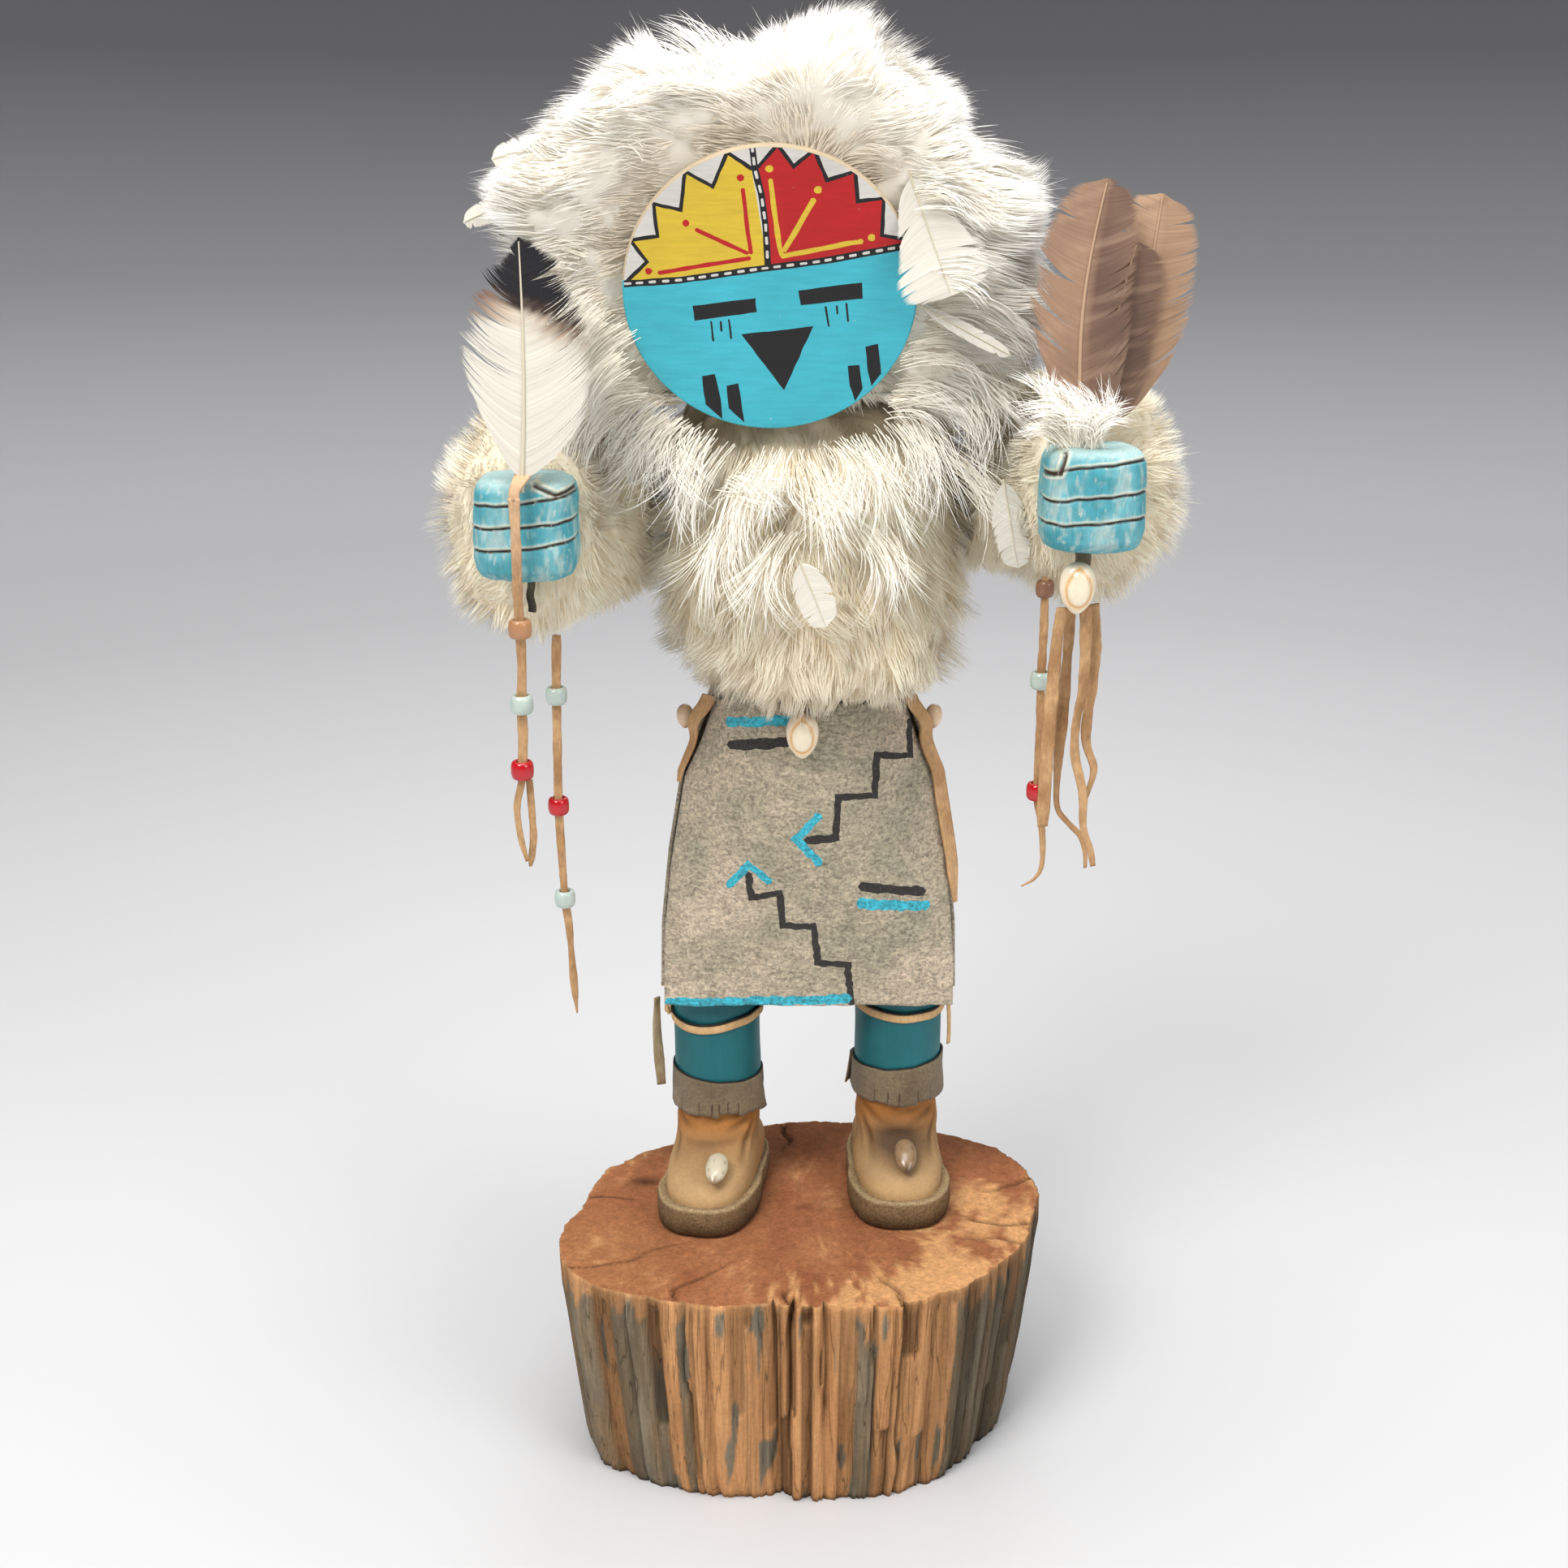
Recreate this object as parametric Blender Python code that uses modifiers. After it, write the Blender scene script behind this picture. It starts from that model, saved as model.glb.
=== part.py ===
"""A kachina doll on a slice of log: a sun-faced figure in white fur and a painted suede kilt.

Metres, +Z up. The origin is on the log's flat underside and the doll faces -Y.
"left" and "right" in the names are the viewer's, so left is -X.
"""

import math

import bmesh
import bpy
import numpy as np
from mathutils import Matrix, Vector

COLLECTION = "kachina_doll"
GAP = 0.0003
SIDES = (("left", -1), ("right", 1))

# The slice of log
LOG_HEIGHT = 0.0873
LOG_WIDTH = 0.191
LOG_DEPTH = 0.1432
LOG_CENTRE = (0.007, -0.0064)
LOG_BOTTOM_SHARE = 0.895
LOG_FRONT_SHARE = 0.930
LOG_RIDGE = 0.0015
LOG_CRACK = 0.0045
LOG_COLUMNS = 72
# The outline as shares of an ellipse, at degrees counted from +X towards +Y
LOG_OUTLINE = (
    (-163, 1.043), (-149, 1.116), (-133, 1.142), (-115, 1.054), (-93, 1.002), (-67, 1.074),
    (-40, 0.995), (-8, 0.958), (2, 1.0), (35, 1.098), (58, 1.044), (87, 1.0),
    (119, 0.902), (155, 0.945), (178, 0.902), (188, 0.963),
)
LOG_CRACKS = (-95.0, -85.0, -100.0, -60.0)

# The figure's stance
BODY_X = 0.0093
BODY_Y = 0.014
STANCE = 0.0709

# The boots
SOLE_HEIGHT = 0.0095
SOLE_LENGTH = 0.072
SOLE_WIDTH = 0.0385
SOLE_EDGE = 0.0022
TOE_REACH = {"left": 0.0445, "right": 0.0385}
TOE_CORNER = 3.2
BOOT_TURN = {"left": -9.0, "right": 2.0}
BOOT_HEIGHT = {"left": 0.033, "right": 0.038}
ANKLE_RADIUS = 0.0160
BOOT_SHELL = (0.0105, 0.0062, 0.0145)
BOOT_SHELL_HEIGHT = {"left": 0.0108, "right": 0.0126}
BOOT_SHELL_ASIDE = {"left": 0.0058, "right": 0.0012}
BOOT_SHELL_SPAN = 0.0024
BOOT_SHELL_LIFT = 0.0006

# The legs, their cuffs and their garters
LEG_RADIUS = 0.0170
THIGH_RADIUS = 0.0132
THIGH_LEAN = 0.0180
CUFF_HEIGHT = {"left": 0.0145, "right": 0.0150}
CUFF_OVERLAP = 0.0060
CUFF_WALL = 0.0015
GARTER_RADIUS = 0.0014
GARTER_ABOVE_BOOT = {"left": 0.0325, "right": 0.0320}
GARTER_TAIL_LENGTH = 0.0370
GARTER_TAIL_WIDTH = 0.0045

# The kilt
KILT_LENGTH = 0.1200
KILT_WALL = 0.0015
KILT_TOP_HALF = 0.0343
KILT_HEM_HALF = 0.0552
KILT_FRONT_DEPTH = {"top": 0.0200, "hem": 0.0070}
KILT_EDGE_Y = {"top": -0.0020, "hem": -0.0060}
KILT_BACK_DEPTH = 0.0380
KILT_BACK_EDGE_Y = 0.0060
COWRIE = (0.0118, 0.0080, 0.0166)
HIP_STRAP_WALL = 0.0013
HIP_STRAP_WIDTH = 0.0100
HIP_STRAP_REACH = {"left": 0.27, "right": 0.66}
HIP_SHELL = (0.0062, 0.0062, 0.0090)

# The fur body, sleeves and headdress
WAIST = 0.2970
NECK = 0.4028
SHOULDER_HALF = 0.0520
SHOULDER_HEIGHT = 0.3685
TORSO_LUMP = 0.0034
SLEEVE_LUMP = 0.0028
HEADDRESS_DEPTH = 0.0920
HEADDRESS_LUMP = 0.0038

# The mask
MASK_RADIUS = 0.0460
MASK_WALL = 0.0032
MASK_CENTRE = (-0.0043, -0.0600, 0.4415)
MASK_LEAN = 18.4
MASK_ROLL = 7.5

# The hands and what they hold
FIST_WIDTH = 0.0335
FIST_HEIGHT = 0.0325
FIST_DEPTH = 0.0340
FIST_GROOVE = 0.0009
FIST_PLACE = {"left": (-0.0806, -0.0750, 0.3695), "right": (0.0967, -0.0750, 0.3785)}
HAND_TIE_WIDTH = {"left": 0.0026, "right": 0.0052}
HAND_TIE_LENGTH = {"left": 0.0110, "right": 0.0160}
HAND_TIE_WALL = 0.0020
FEATHER_WALL = 0.0009

# The thongs and the beads on them
THONG_WIDTH = 0.0032
LACE_WIDTH = 0.0024
STRAP_WIDTH = 0.0042
BEAD_WIDTH = 0.0074
BEAD_LENGTH = 0.0060

LOG_TOP = LOG_HEIGHT
SOLE_TOP = LOG_TOP + GAP + SOLE_HEIGHT
BOOT_BOTTOM = SOLE_TOP + GAP
KILT_TOP = WAIST - GAP


def clear_scene():
    for thing in list(bpy.data.objects):
        bpy.data.objects.remove(thing, do_unlink=True)
    for mesh in list(bpy.data.meshes):
        bpy.data.meshes.remove(mesh)


def material(name, colour, roughness):
    """A Principled material, made once under its name."""
    found = bpy.data.materials.get(name)
    if found:
        return found
    made = bpy.data.materials.new(name)
    made.use_nodes = True
    shader = made.node_tree.nodes["Principled BSDF"]
    shader.inputs["Base Color"].default_value = (*colour, 1.0)
    shader.inputs["Roughness"].default_value = roughness
    shader.inputs["Metallic"].default_value = 0.0
    made.diffuse_color = (*colour, 1.0)
    return made


def wood():
    return material("rough_log", (0.36, 0.20, 0.12), 0.85)


def grey_suede():
    return material("grey_suede", (0.46, 0.42, 0.34), 0.95)


def tan_leather():
    return material("tan_leather", (0.60, 0.41, 0.22), 0.8)


def fur():
    return material("white_fur", (0.88, 0.83, 0.72), 1.0)


def down():
    return material("white_down", (0.93, 0.90, 0.86), 1.0)


def teal_paint():
    return material("teal_paint", (0.04, 0.25, 0.28), 0.55)


def mask_paint():
    return material("mask_paint", (0.06, 0.45, 0.58), 0.55)


def hand_paint():
    return material("hand_paint", (0.15, 0.50, 0.60), 0.6)


def shell_white():
    return material("shell", (0.80, 0.72, 0.62), 0.3)


def dark_tie():
    return material("dark_tie", (0.09, 0.10, 0.08), 0.8)


def bead_white():
    return material("bead_white", (0.66, 0.71, 0.68), 0.25)


def bead_red():
    return material("bead_red", (0.60, 0.02, 0.03), 0.25)


def bead_tan():
    return material("bead_tan", (0.55, 0.28, 0.14), 0.35)


def white_feather():
    return material("white_feather", (0.90, 0.88, 0.84), 0.8)


def brown_feather():
    return material("brown_feather", (0.36, 0.21, 0.13), 0.8)


def add_object(name, data, look, smooth=True):
    """Puts mesh or curve data into the doll's collection as one named piece."""
    piece = bpy.data.objects.new(name, data)
    data.materials.append(look)
    bpy.data.collections[COLLECTION].objects.link(piece)
    if smooth and isinstance(data, bpy.types.Mesh):
        data.shade_smooth()
    return piece


def add_bmesh(name, bm, look):
    bmesh.ops.recalc_face_normals(bm, faces=bm.faces)
    mesh = bpy.data.meshes.new(name)
    bm.to_mesh(mesh)
    bm.free()
    return add_object(name, mesh, look)


def solidify(piece, wall, offset):
    modifier = piece.modifiers.new("wall", "SOLIDIFY")
    modifier.thickness = wall
    modifier.offset = offset
    modifier.use_even_offset = True


def loft(name, rings, look):
    """A skin over closed rings of equal point count, with a fan at each end."""
    bm = bmesh.new()
    grid = [[bm.verts.new(point) for point in ring] for ring in rings]
    count = len(grid[0])
    for lower, upper in zip(grid, grid[1:]):
        for i in range(count):
            j = (i + 1) % count
            bm.faces.new((lower[i], lower[j], upper[j], upper[i]))
    for ring in (grid[0], grid[-1]):
        middle = bm.verts.new(sum((v.co for v in ring), Vector()) / count)
        for i in range(count):
            bm.faces.new((middle, ring[i], ring[(i + 1) % count]))
    return add_bmesh(name, bm, look)


def cut_flat(piece, place, outward):
    """Cuts a mesh off flat at a plane, and closes the cut."""
    bm = bmesh.new()
    bm.from_mesh(piece.data)
    everything = bm.verts[:] + bm.edges[:] + bm.faces[:]
    bmesh.ops.bisect_plane(bm, geom=everything, dist=1e-6, plane_co=place, plane_no=outward, clear_outer=True)
    rim = [edge for edge in bm.edges if edge.is_boundary]
    bmesh.ops.contextual_create(bm, geom=rim)
    bmesh.ops.recalc_face_normals(bm, faces=bm.faces)
    bm.to_mesh(piece.data)
    bm.free()


def level(value, stations):
    """The value of a list of (place, value) stations at a place, in straight runs."""
    places, values = zip(*stations)
    return float(np.interp(value, places, values))


def smooth_route(points, spacing):
    """Evenly spaced points on a smooth curve through a route's own points."""
    route = [Vector(point) for point in points]
    route = [2 * route[0] - route[1], *route, 2 * route[-1] - route[-2]]
    fine = []
    for a, b, c, d in zip(route, route[1:], route[2:], route[3:]):
        for k in range(24):
            t = k / 24
            fine.append(
                0.5 * (2 * b + t * (c - a) + t * t * (2 * a - 5 * b + 4 * c - d)
                       + t ** 3 * (3 * b - a - 3 * c + d))
            )
    fine.append(route[-2])
    along = np.concatenate([[0.0], np.cumsum([(q - p).length for p, q in zip(fine, fine[1:])])])
    steps = max(2, round(along[-1] / spacing))
    wanted = np.linspace(0.0, along[-1], steps + 1)
    return [
        Vector([float(np.interp(s, along, [p[axis] for p in fine])) for axis in range(3)])
        for s in wanted
    ]


def thong(name, points, width, look):
    """A hanging leather lace as a plain tube along its route."""
    curve = bpy.data.curves.new(name, "CURVE")
    curve.dimensions = "3D"
    curve.bevel_depth = width / 2
    curve.bevel_resolution = 2
    curve.use_fill_caps = True
    route = smooth_route(points, 3.0 * width)
    spline = curve.splines.new("POLY")
    spline.points.add(len(route) - 1)
    for target, point in zip(spline.points, route):
        target.co = (*point, 1.0)
    return add_object(name, curve, look)


def rounded_outline(front, back, half_width, corner, count):
    """A closed outline in X and Y: a superellipse with its own reach to front and back."""
    outline = []
    for i in range(count):
        a = 2 * math.pi * (i + 0.5) / count
        c, s = math.cos(a), math.sin(a)
        x = half_width * math.copysign(abs(c) ** (2 / corner), c)
        reach = back if s > 0 else front
        outline.append((x, reach * math.copysign(abs(s) ** (2 / corner), s)))
    return outline


def lumps(a, b, seed):
    """A smooth lumpy field between about -1 and 1, for fur."""
    rng = np.random.default_rng(seed)
    total = 0.0
    for _ in range(7):
        p, q, shift = rng.integers(1, 7), rng.uniform(0.6, 4.0), rng.uniform(0, 2 * math.pi)
        total += math.sin(p * a + q * b + shift)
    return total / 3.5


def ellipsoid(name, size, centre, turn, look, segments=12, rings=8, narrow=0.0):
    """A shell: an ellipsoid whose lower end is narrower by a share of its width."""
    bm = bmesh.new()
    bmesh.ops.create_uvsphere(bm, u_segments=segments, v_segments=rings, radius=0.5)
    for vertex in bm.verts:
        slim = 1 - narrow * (0.5 - vertex.co.z)
        vertex.co.x *= size[0] * slim
        vertex.co.y *= size[1] * slim
        vertex.co.z *= size[2]
    piece = add_bmesh(name, bm, look)
    piece.location = centre
    piece.rotation_euler = turn
    return piece


def log_radius(degrees):
    angles, shares = zip(*LOG_OUTLINE)
    return float(np.interp(degrees, angles, shares, period=360))


def make_log():
    """The slice: sawn flat above and below, its sides split along the grain."""
    rng = np.random.default_rng(11)
    ridge = rng.uniform(-1.0, 1.0, LOG_COLUMNS) * LOG_RIDGE
    step = 360 / LOG_COLUMNS
    for crack in LOG_CRACKS:
        ridge[round((crack % 360) / step) % LOG_COLUMNS] = -LOG_CRACK
    rings = []
    for height, inset, rough in (
        (0.0, 0.0012, 0.4), (0.06, 0.0, 0.9), (0.35, 0.0, 1.0), (0.68, 0.0, 1.0), (0.93, 0.0, 0.9), (1.0, 0.0014, 0.5),
    ):
        ring = []
        for i in range(LOG_COLUMNS):
            a = math.radians(i * step)
            bottom = LOG_BOTTOM_SHARE + (LOG_FRONT_SHARE - LOG_BOTTOM_SHARE) * max(0.0, -math.sin(a)) ** 4
            taper = bottom + (1 - bottom) * height
            drift = 0.0 if height in (0.0, 1.0) else rng.uniform(-0.3, 0.3) * LOG_RIDGE
            share = log_radius(i * step) * taper
            out = ridge[i] * rough + drift - inset
            ring.append((
                LOG_CENTRE[0] + (LOG_WIDTH / 2 * share + out) * math.cos(a),
                LOG_CENTRE[1] + (LOG_DEPTH / 2 * share + out) * math.sin(a),
                height * LOG_HEIGHT,
            ))
        rings.append(ring)
    return loft("log_base", rings, wood())


def leg_x(sign):
    return BODY_X + sign * STANCE / 2


def boot_top(side):
    return BOOT_BOTTOM + BOOT_HEIGHT[side]


def place_boot(piece, side, sign):
    """Stands a boot piece, modelled about its ankle's axis, on its spot."""
    piece.location = (leg_x(sign), BODY_Y, 0.0)
    piece.rotation_euler = (0.0, 0.0, math.radians(BOOT_TURN[side]))


def make_sole(side, sign):
    curve = bpy.data.curves.new(f"boot_sole_{side}", "CURVE")
    curve.dimensions = "2D"
    curve.fill_mode = "BOTH"
    curve.extrude = SOLE_HEIGHT / 2 - SOLE_EDGE / 2
    curve.bevel_depth = SOLE_EDGE / 2
    curve.bevel_resolution = 0
    curve.offset = -SOLE_EDGE / 2
    spline = curve.splines.new("POLY")
    outline = rounded_outline(TOE_REACH[side], SOLE_LENGTH - TOE_REACH[side], SOLE_WIDTH / 2, TOE_CORNER, 24)
    spline.points.add(len(outline) - 1)
    for target, (x, y) in zip(spline.points, outline):
        target.co = (x * (1 - 1.6 * max(y, 0.0)), y, 0.0, 1.0)
    spline.use_cyclic_u = True
    piece = add_object(f"boot_sole_{side}", curve, grey_suede())
    place_boot(piece, side, sign)
    piece.location.z = LOG_TOP + GAP + SOLE_HEIGHT / 2


def boot_sections(side):
    """(height, reach to front, reach to back, half width, corner) up the boot's upper."""
    front = TOE_REACH[side] - SOLE_EDGE
    back = SOLE_LENGTH - TOE_REACH[side] - SOLE_EDGE
    half = SOLE_WIDTH / 2 - SOLE_EDGE
    ankle = ANKLE_RADIUS
    toe = front - ankle
    return (
        (0.0, front, back, half, TOE_CORNER),
        (0.0045, front - 0.0004, back, half + 0.0002, TOE_CORNER),
        (0.0085, ankle + 0.87 * toe, back - 0.0005, half - 0.0005, 2.9),
        (0.0115, ankle + 0.57 * toe, back - 0.001, half - 0.0010, 2.5),
        (0.0155, ankle + 0.28 * toe, 0.6 * back + 0.4 * ankle, half - 0.0015, 2.3),
        (0.0205, ankle + 0.09 * toe, 0.3 * back + 0.7 * ankle, 0.5 * (half + ankle), 2.1),
        (0.0270, ankle, ankle, ankle - 0.0002, 2.0),
        (BOOT_HEIGHT[side], ankle, ankle, ankle, 2.0),
    )


def make_upper(side, sign):
    rings = [
        [(x, y, BOOT_BOTTOM + height) for x, y in rounded_outline(front, back, half, corner, 18)]
        for height, front, back, half, corner in boot_sections(side)
    ]
    place_boot(loft(f"boot_upper_{side}", rings, tan_leather()), side, sign)


def boot_reach(side, height):
    """How far the front of the boot's upper reaches at a height."""
    sections = boot_sections(side)
    for low, high in zip(sections, sections[1:]):
        if height <= high[0]:
            break
    share = (height - low[0]) / (high[0] - low[0])
    return low[1] + share * (high[1] - low[1])


def make_boot_shell(side, sign):
    """The small shell that sits on the instep, its point towards the toe."""
    height = BOOT_SHELL_HEIGHT[side]
    low = boot_reach(side, height - BOOT_SHELL_SPAN)
    high = boot_reach(side, height + BOOT_SHELL_SPAN)
    slope = math.atan2(2 * BOOT_SHELL_SPAN, low - high)
    lift = BOOT_SHELL[1] / 2 + BOOT_SHELL_LIFT
    forward = (low + high) / 2 + lift * math.sin(slope)
    up = BOOT_BOTTOM + height + lift * math.cos(slope)
    turn = math.radians(BOOT_TURN[side])
    aside = BOOT_SHELL_ASIDE[side]
    piece = ellipsoid(
        f"boot_shell_{side}", BOOT_SHELL,
        (
            leg_x(sign) + forward * math.sin(turn) + aside * math.cos(turn),
            BODY_Y - forward * math.cos(turn) + aside * math.sin(turn), up,
        ),
        (0.0, 0.0, 0.0), shell_white(), 10, 7, narrow=0.35,
    )
    piece.rotation_euler = (slope - math.pi / 2, 0.0, turn)


def thigh_lean(z):
    """How far a leg has leaned in towards the waist at a height, and its radius there."""
    hem = KILT_TOP - KILT_LENGTH
    share = min(max((z - hem) / (KILT_TOP - hem), 0.0), 1.0)
    return share * THIGH_LEAN, LEG_RADIUS + share * (THIGH_RADIUS - LEG_RADIUS)


def make_leg(side, sign):
    bottom = boot_top(side) + GAP
    hem = KILT_TOP - KILT_LENGTH
    rings = []
    for z in (bottom, hem, (hem + KILT_TOP) / 2, WAIST - GAP):
        lean, radius = thigh_lean(z)
        x = leg_x(sign) - sign * lean
        circle = rounded_outline(radius, radius, radius, 2.0, 20)
        rings.append([(x + dx, BODY_Y + dy, z) for dx, dy in circle])
    loft(f"leg_{side}", rings, teal_paint())


def make_cuff(side, sign):
    """The suede cuff over the boot's top edge, with a cut and ragged lower edge."""
    height = CUFF_HEIGHT[side]
    inner = max(LEG_RADIUS, ANKLE_RADIUS) + 2 * GAP
    bm = bmesh.new()
    bmesh.ops.create_cone(
        bm, cap_ends=False, segments=26, radius1=inner + 0.0010, radius2=inner, depth=height
    )
    rng = np.random.default_rng(5 if sign < 0 else 9)
    for vertex in bm.verts:
        if vertex.co.z < 0:
            vertex.co.z += rng.uniform(-0.0008, 0.0008)
        else:
            vertex.co.z -= 0.10 * vertex.co.x * sign
    piece = add_bmesh(f"boot_cuff_{side}", bm, grey_suede())
    piece.location = (leg_x(sign), BODY_Y, boot_top(side) - CUFF_OVERLAP + height / 2)
    solidify(piece, CUFF_WALL, 1.0)


def garter_height(side):
    return boot_top(side) + GARTER_ABOVE_BOOT[side]


def make_garter(side, sign):
    bpy.ops.mesh.primitive_torus_add(
        major_segments=18, minor_segments=4, major_radius=LEG_RADIUS + GARTER_RADIUS + 2 * GAP,
        minor_radius=GARTER_RADIUS, location=(leg_x(sign), BODY_Y, garter_height(side)),
        rotation=(0.0, math.radians(3.5 * sign), 0.0),
    )
    piece = bpy.context.object
    piece.name = f"knee_thong_{side}"
    for holder in list(piece.users_collection):
        holder.objects.unlink(piece)
    bpy.data.collections[COLLECTION].objects.link(piece)
    piece.data.materials.append(tan_leather())
    piece.data.shade_smooth()


def make_garter_tail():
    """The loose end of the left garter, hanging beside the leg."""
    x = leg_x(-1) - LEG_RADIUS - 2 * GARTER_RADIUS - GARTER_TAIL_WIDTH / 2 - 4 * GAP
    top = garter_height("left") + 0.0060
    y = BODY_Y - 0.0040
    points = (
        (x, y, top), (x - 0.0004, y, top - 0.4 * GARTER_TAIL_LENGTH),
        (x + 0.0012, y, top - GARTER_TAIL_LENGTH),
    )
    thong("knee_thong_tail_left", points, GARTER_TAIL_WIDTH, tan_leather())


def kilt_half(t):
    """Half the kilt's width at a share of its length down from the waist."""
    shares = ((0.0, 0.0), (0.13, 0.25), (0.25, 0.545), (0.53, 0.815), (0.78, 0.965), (1.0, 1.0))
    return KILT_TOP_HALF + level(t, shares) * (KILT_HEM_HALF - KILT_TOP_HALF)


def kilt_front_point(u, t):
    """The front panel's outer face: u runs across it from -1 to 1, t down it from 0 to 1."""
    edge = KILT_EDGE_Y["top"] + t * (KILT_EDGE_Y["hem"] - KILT_EDGE_Y["top"])
    depth = KILT_FRONT_DEPTH["top"] + t * (KILT_FRONT_DEPTH["hem"] - KILT_FRONT_DEPTH["top"])
    droop = 0.0030 * abs(u) ** 3 * (1 - t)
    return (
        BODY_X + u * kilt_half(t),
        edge - depth * (1 - abs(u) ** 2.4),
        KILT_TOP - 2 * GAP - droop - t * (KILT_LENGTH - 0.0030 * abs(u) ** 3 * 0.5),
    )


def kilt_back_point(u, t):
    """The back panel's outer face, wrapped round to the sides."""
    a = math.pi / 2 * (1 - u)
    c, s = math.cos(a), max(math.sin(a), 0.0)
    corner = 3.2
    return (
        BODY_X + kilt_half(t) * math.copysign(abs(c) ** (2 / corner), c),
        KILT_BACK_EDGE_Y + KILT_BACK_DEPTH * s ** (2 / corner),
        KILT_TOP - 2 * GAP - t * KILT_LENGTH,
    )


def make_panel(name, place, across, offset):
    bpy.ops.mesh.primitive_grid_add(x_subdivisions=across, y_subdivisions=7, size=2)
    piece = bpy.context.object
    piece.name = name
    for holder in list(piece.users_collection):
        holder.objects.unlink(piece)
    bpy.data.collections[COLLECTION].objects.link(piece)
    for vertex in piece.data.vertices:
        vertex.co = place(vertex.co.x, (1 - vertex.co.y) / 2)
    piece.data.materials.append(grey_suede())
    piece.data.shade_smooth()
    solidify(piece, KILT_WALL, offset)


def make_kilt():
    make_panel("kilt_front", kilt_front_point, 10, -1.0)
    make_panel("kilt_back", kilt_back_point, 12, 1.0)
    at = kilt_front_point(-0.075, 0.085)
    centre = (at[0], at[1] - COWRIE[1] / 2 - GAP, at[2])
    ellipsoid("kilt_cowrie", COWRIE, centre, (0.0, 0.0, 0.0), shell_white(), 10, 8, narrow=0.12)


def hip_strap_x(sign, t):
    return BODY_X + sign * (kilt_half(t) + KILT_WALL + 2 * GAP)


def make_hip_strap(side, sign):
    """A leather strip that hangs from the waist over the open side of the kilt."""
    reach = HIP_STRAP_REACH[side]
    stations = 9
    bm = bmesh.new()
    rows = []
    for k in range(stations):
        share = k / (stations - 1)
        t = 0.012 + share * reach
        half = HIP_STRAP_WIDTH / 2 * level(share, ((0.0, 0.55), (0.3, 0.9), (0.6, 1.0), (0.85, 0.85), (1.0, 0.45)))
        x, z = hip_strap_x(sign, t), KILT_TOP - 2 * GAP - t * KILT_LENGTH
        rows.append([bm.verts.new((x, KILT_EDGE_Y["top"] + 0.0045 + dy, z)) for dy in (-half, half)])
    for upper, lower in zip(rows, rows[1:]):
        bm.faces.new((upper[0], upper[1], lower[1], lower[0]))
    mesh = bpy.data.meshes.new(f"hip_strap_{side}")
    bm.to_mesh(mesh)
    bm.free()
    piece = add_object(f"hip_strap_{side}", mesh, tan_leather())
    solidify(piece, HIP_STRAP_WALL, sign * 1.0)
    t = 0.10
    outside = hip_strap_x(sign, t) + sign * (HIP_STRAP_WALL + HIP_SHELL[0] / 2 + 3 * GAP)
    centre = (outside, KILT_EDGE_Y["top"] + 0.0060, KILT_TOP - t * KILT_LENGTH)
    ellipsoid(f"hip_shell_{side}", HIP_SHELL, centre, (0.0, 0.0, 0.0), shell_white(), 9, 6)


def make_torso():
    """The fur body from the waist to the neck, flat where the sleeves meet it."""
    stations = (
        (0.00, 0.0400, 0.0470, 0.0320, 0.0010), (0.05, 0.0450, 0.0530, 0.0360, 0.0030),
        (0.15, 0.0500, 0.0580, 0.0390, 0.0045), (0.30, 0.0545, 0.0600, 0.0400, 0.0030),
        (0.50, 0.0590, 0.0610, 0.0400, 0.0), (0.70, 0.0580, 0.0610, 0.0380, 0.0),
        (0.85, 0.0520, 0.0560, 0.0340, 0.0), (0.94, 0.0460, 0.0500, 0.0300, 0.0),
        (1.00, 0.0400, 0.0440, 0.0260, 0.0),
    )
    rings = []
    for share, half, front, back, aside in stations:
        ring = []
        for i, (x, y) in enumerate(rounded_outline(front, back, half, 2.3, 28)):
            a = 2 * math.pi * i / 28
            swell = 1 + TORSO_LUMP / half * lumps(a, 9 * share, 3)
            ring.append((BODY_X + aside + x * swell, BODY_Y + y * swell, WAIST + share * (NECK - WAIST)))
        rings.append(ring)
    piece = loft("fur_torso", rings, fur())
    for _, sign in SIDES:
        cut_flat(piece, (BODY_X + sign * SHOULDER_HALF, 0.0, 0.0), (sign, 0.0, 0.0))


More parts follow.
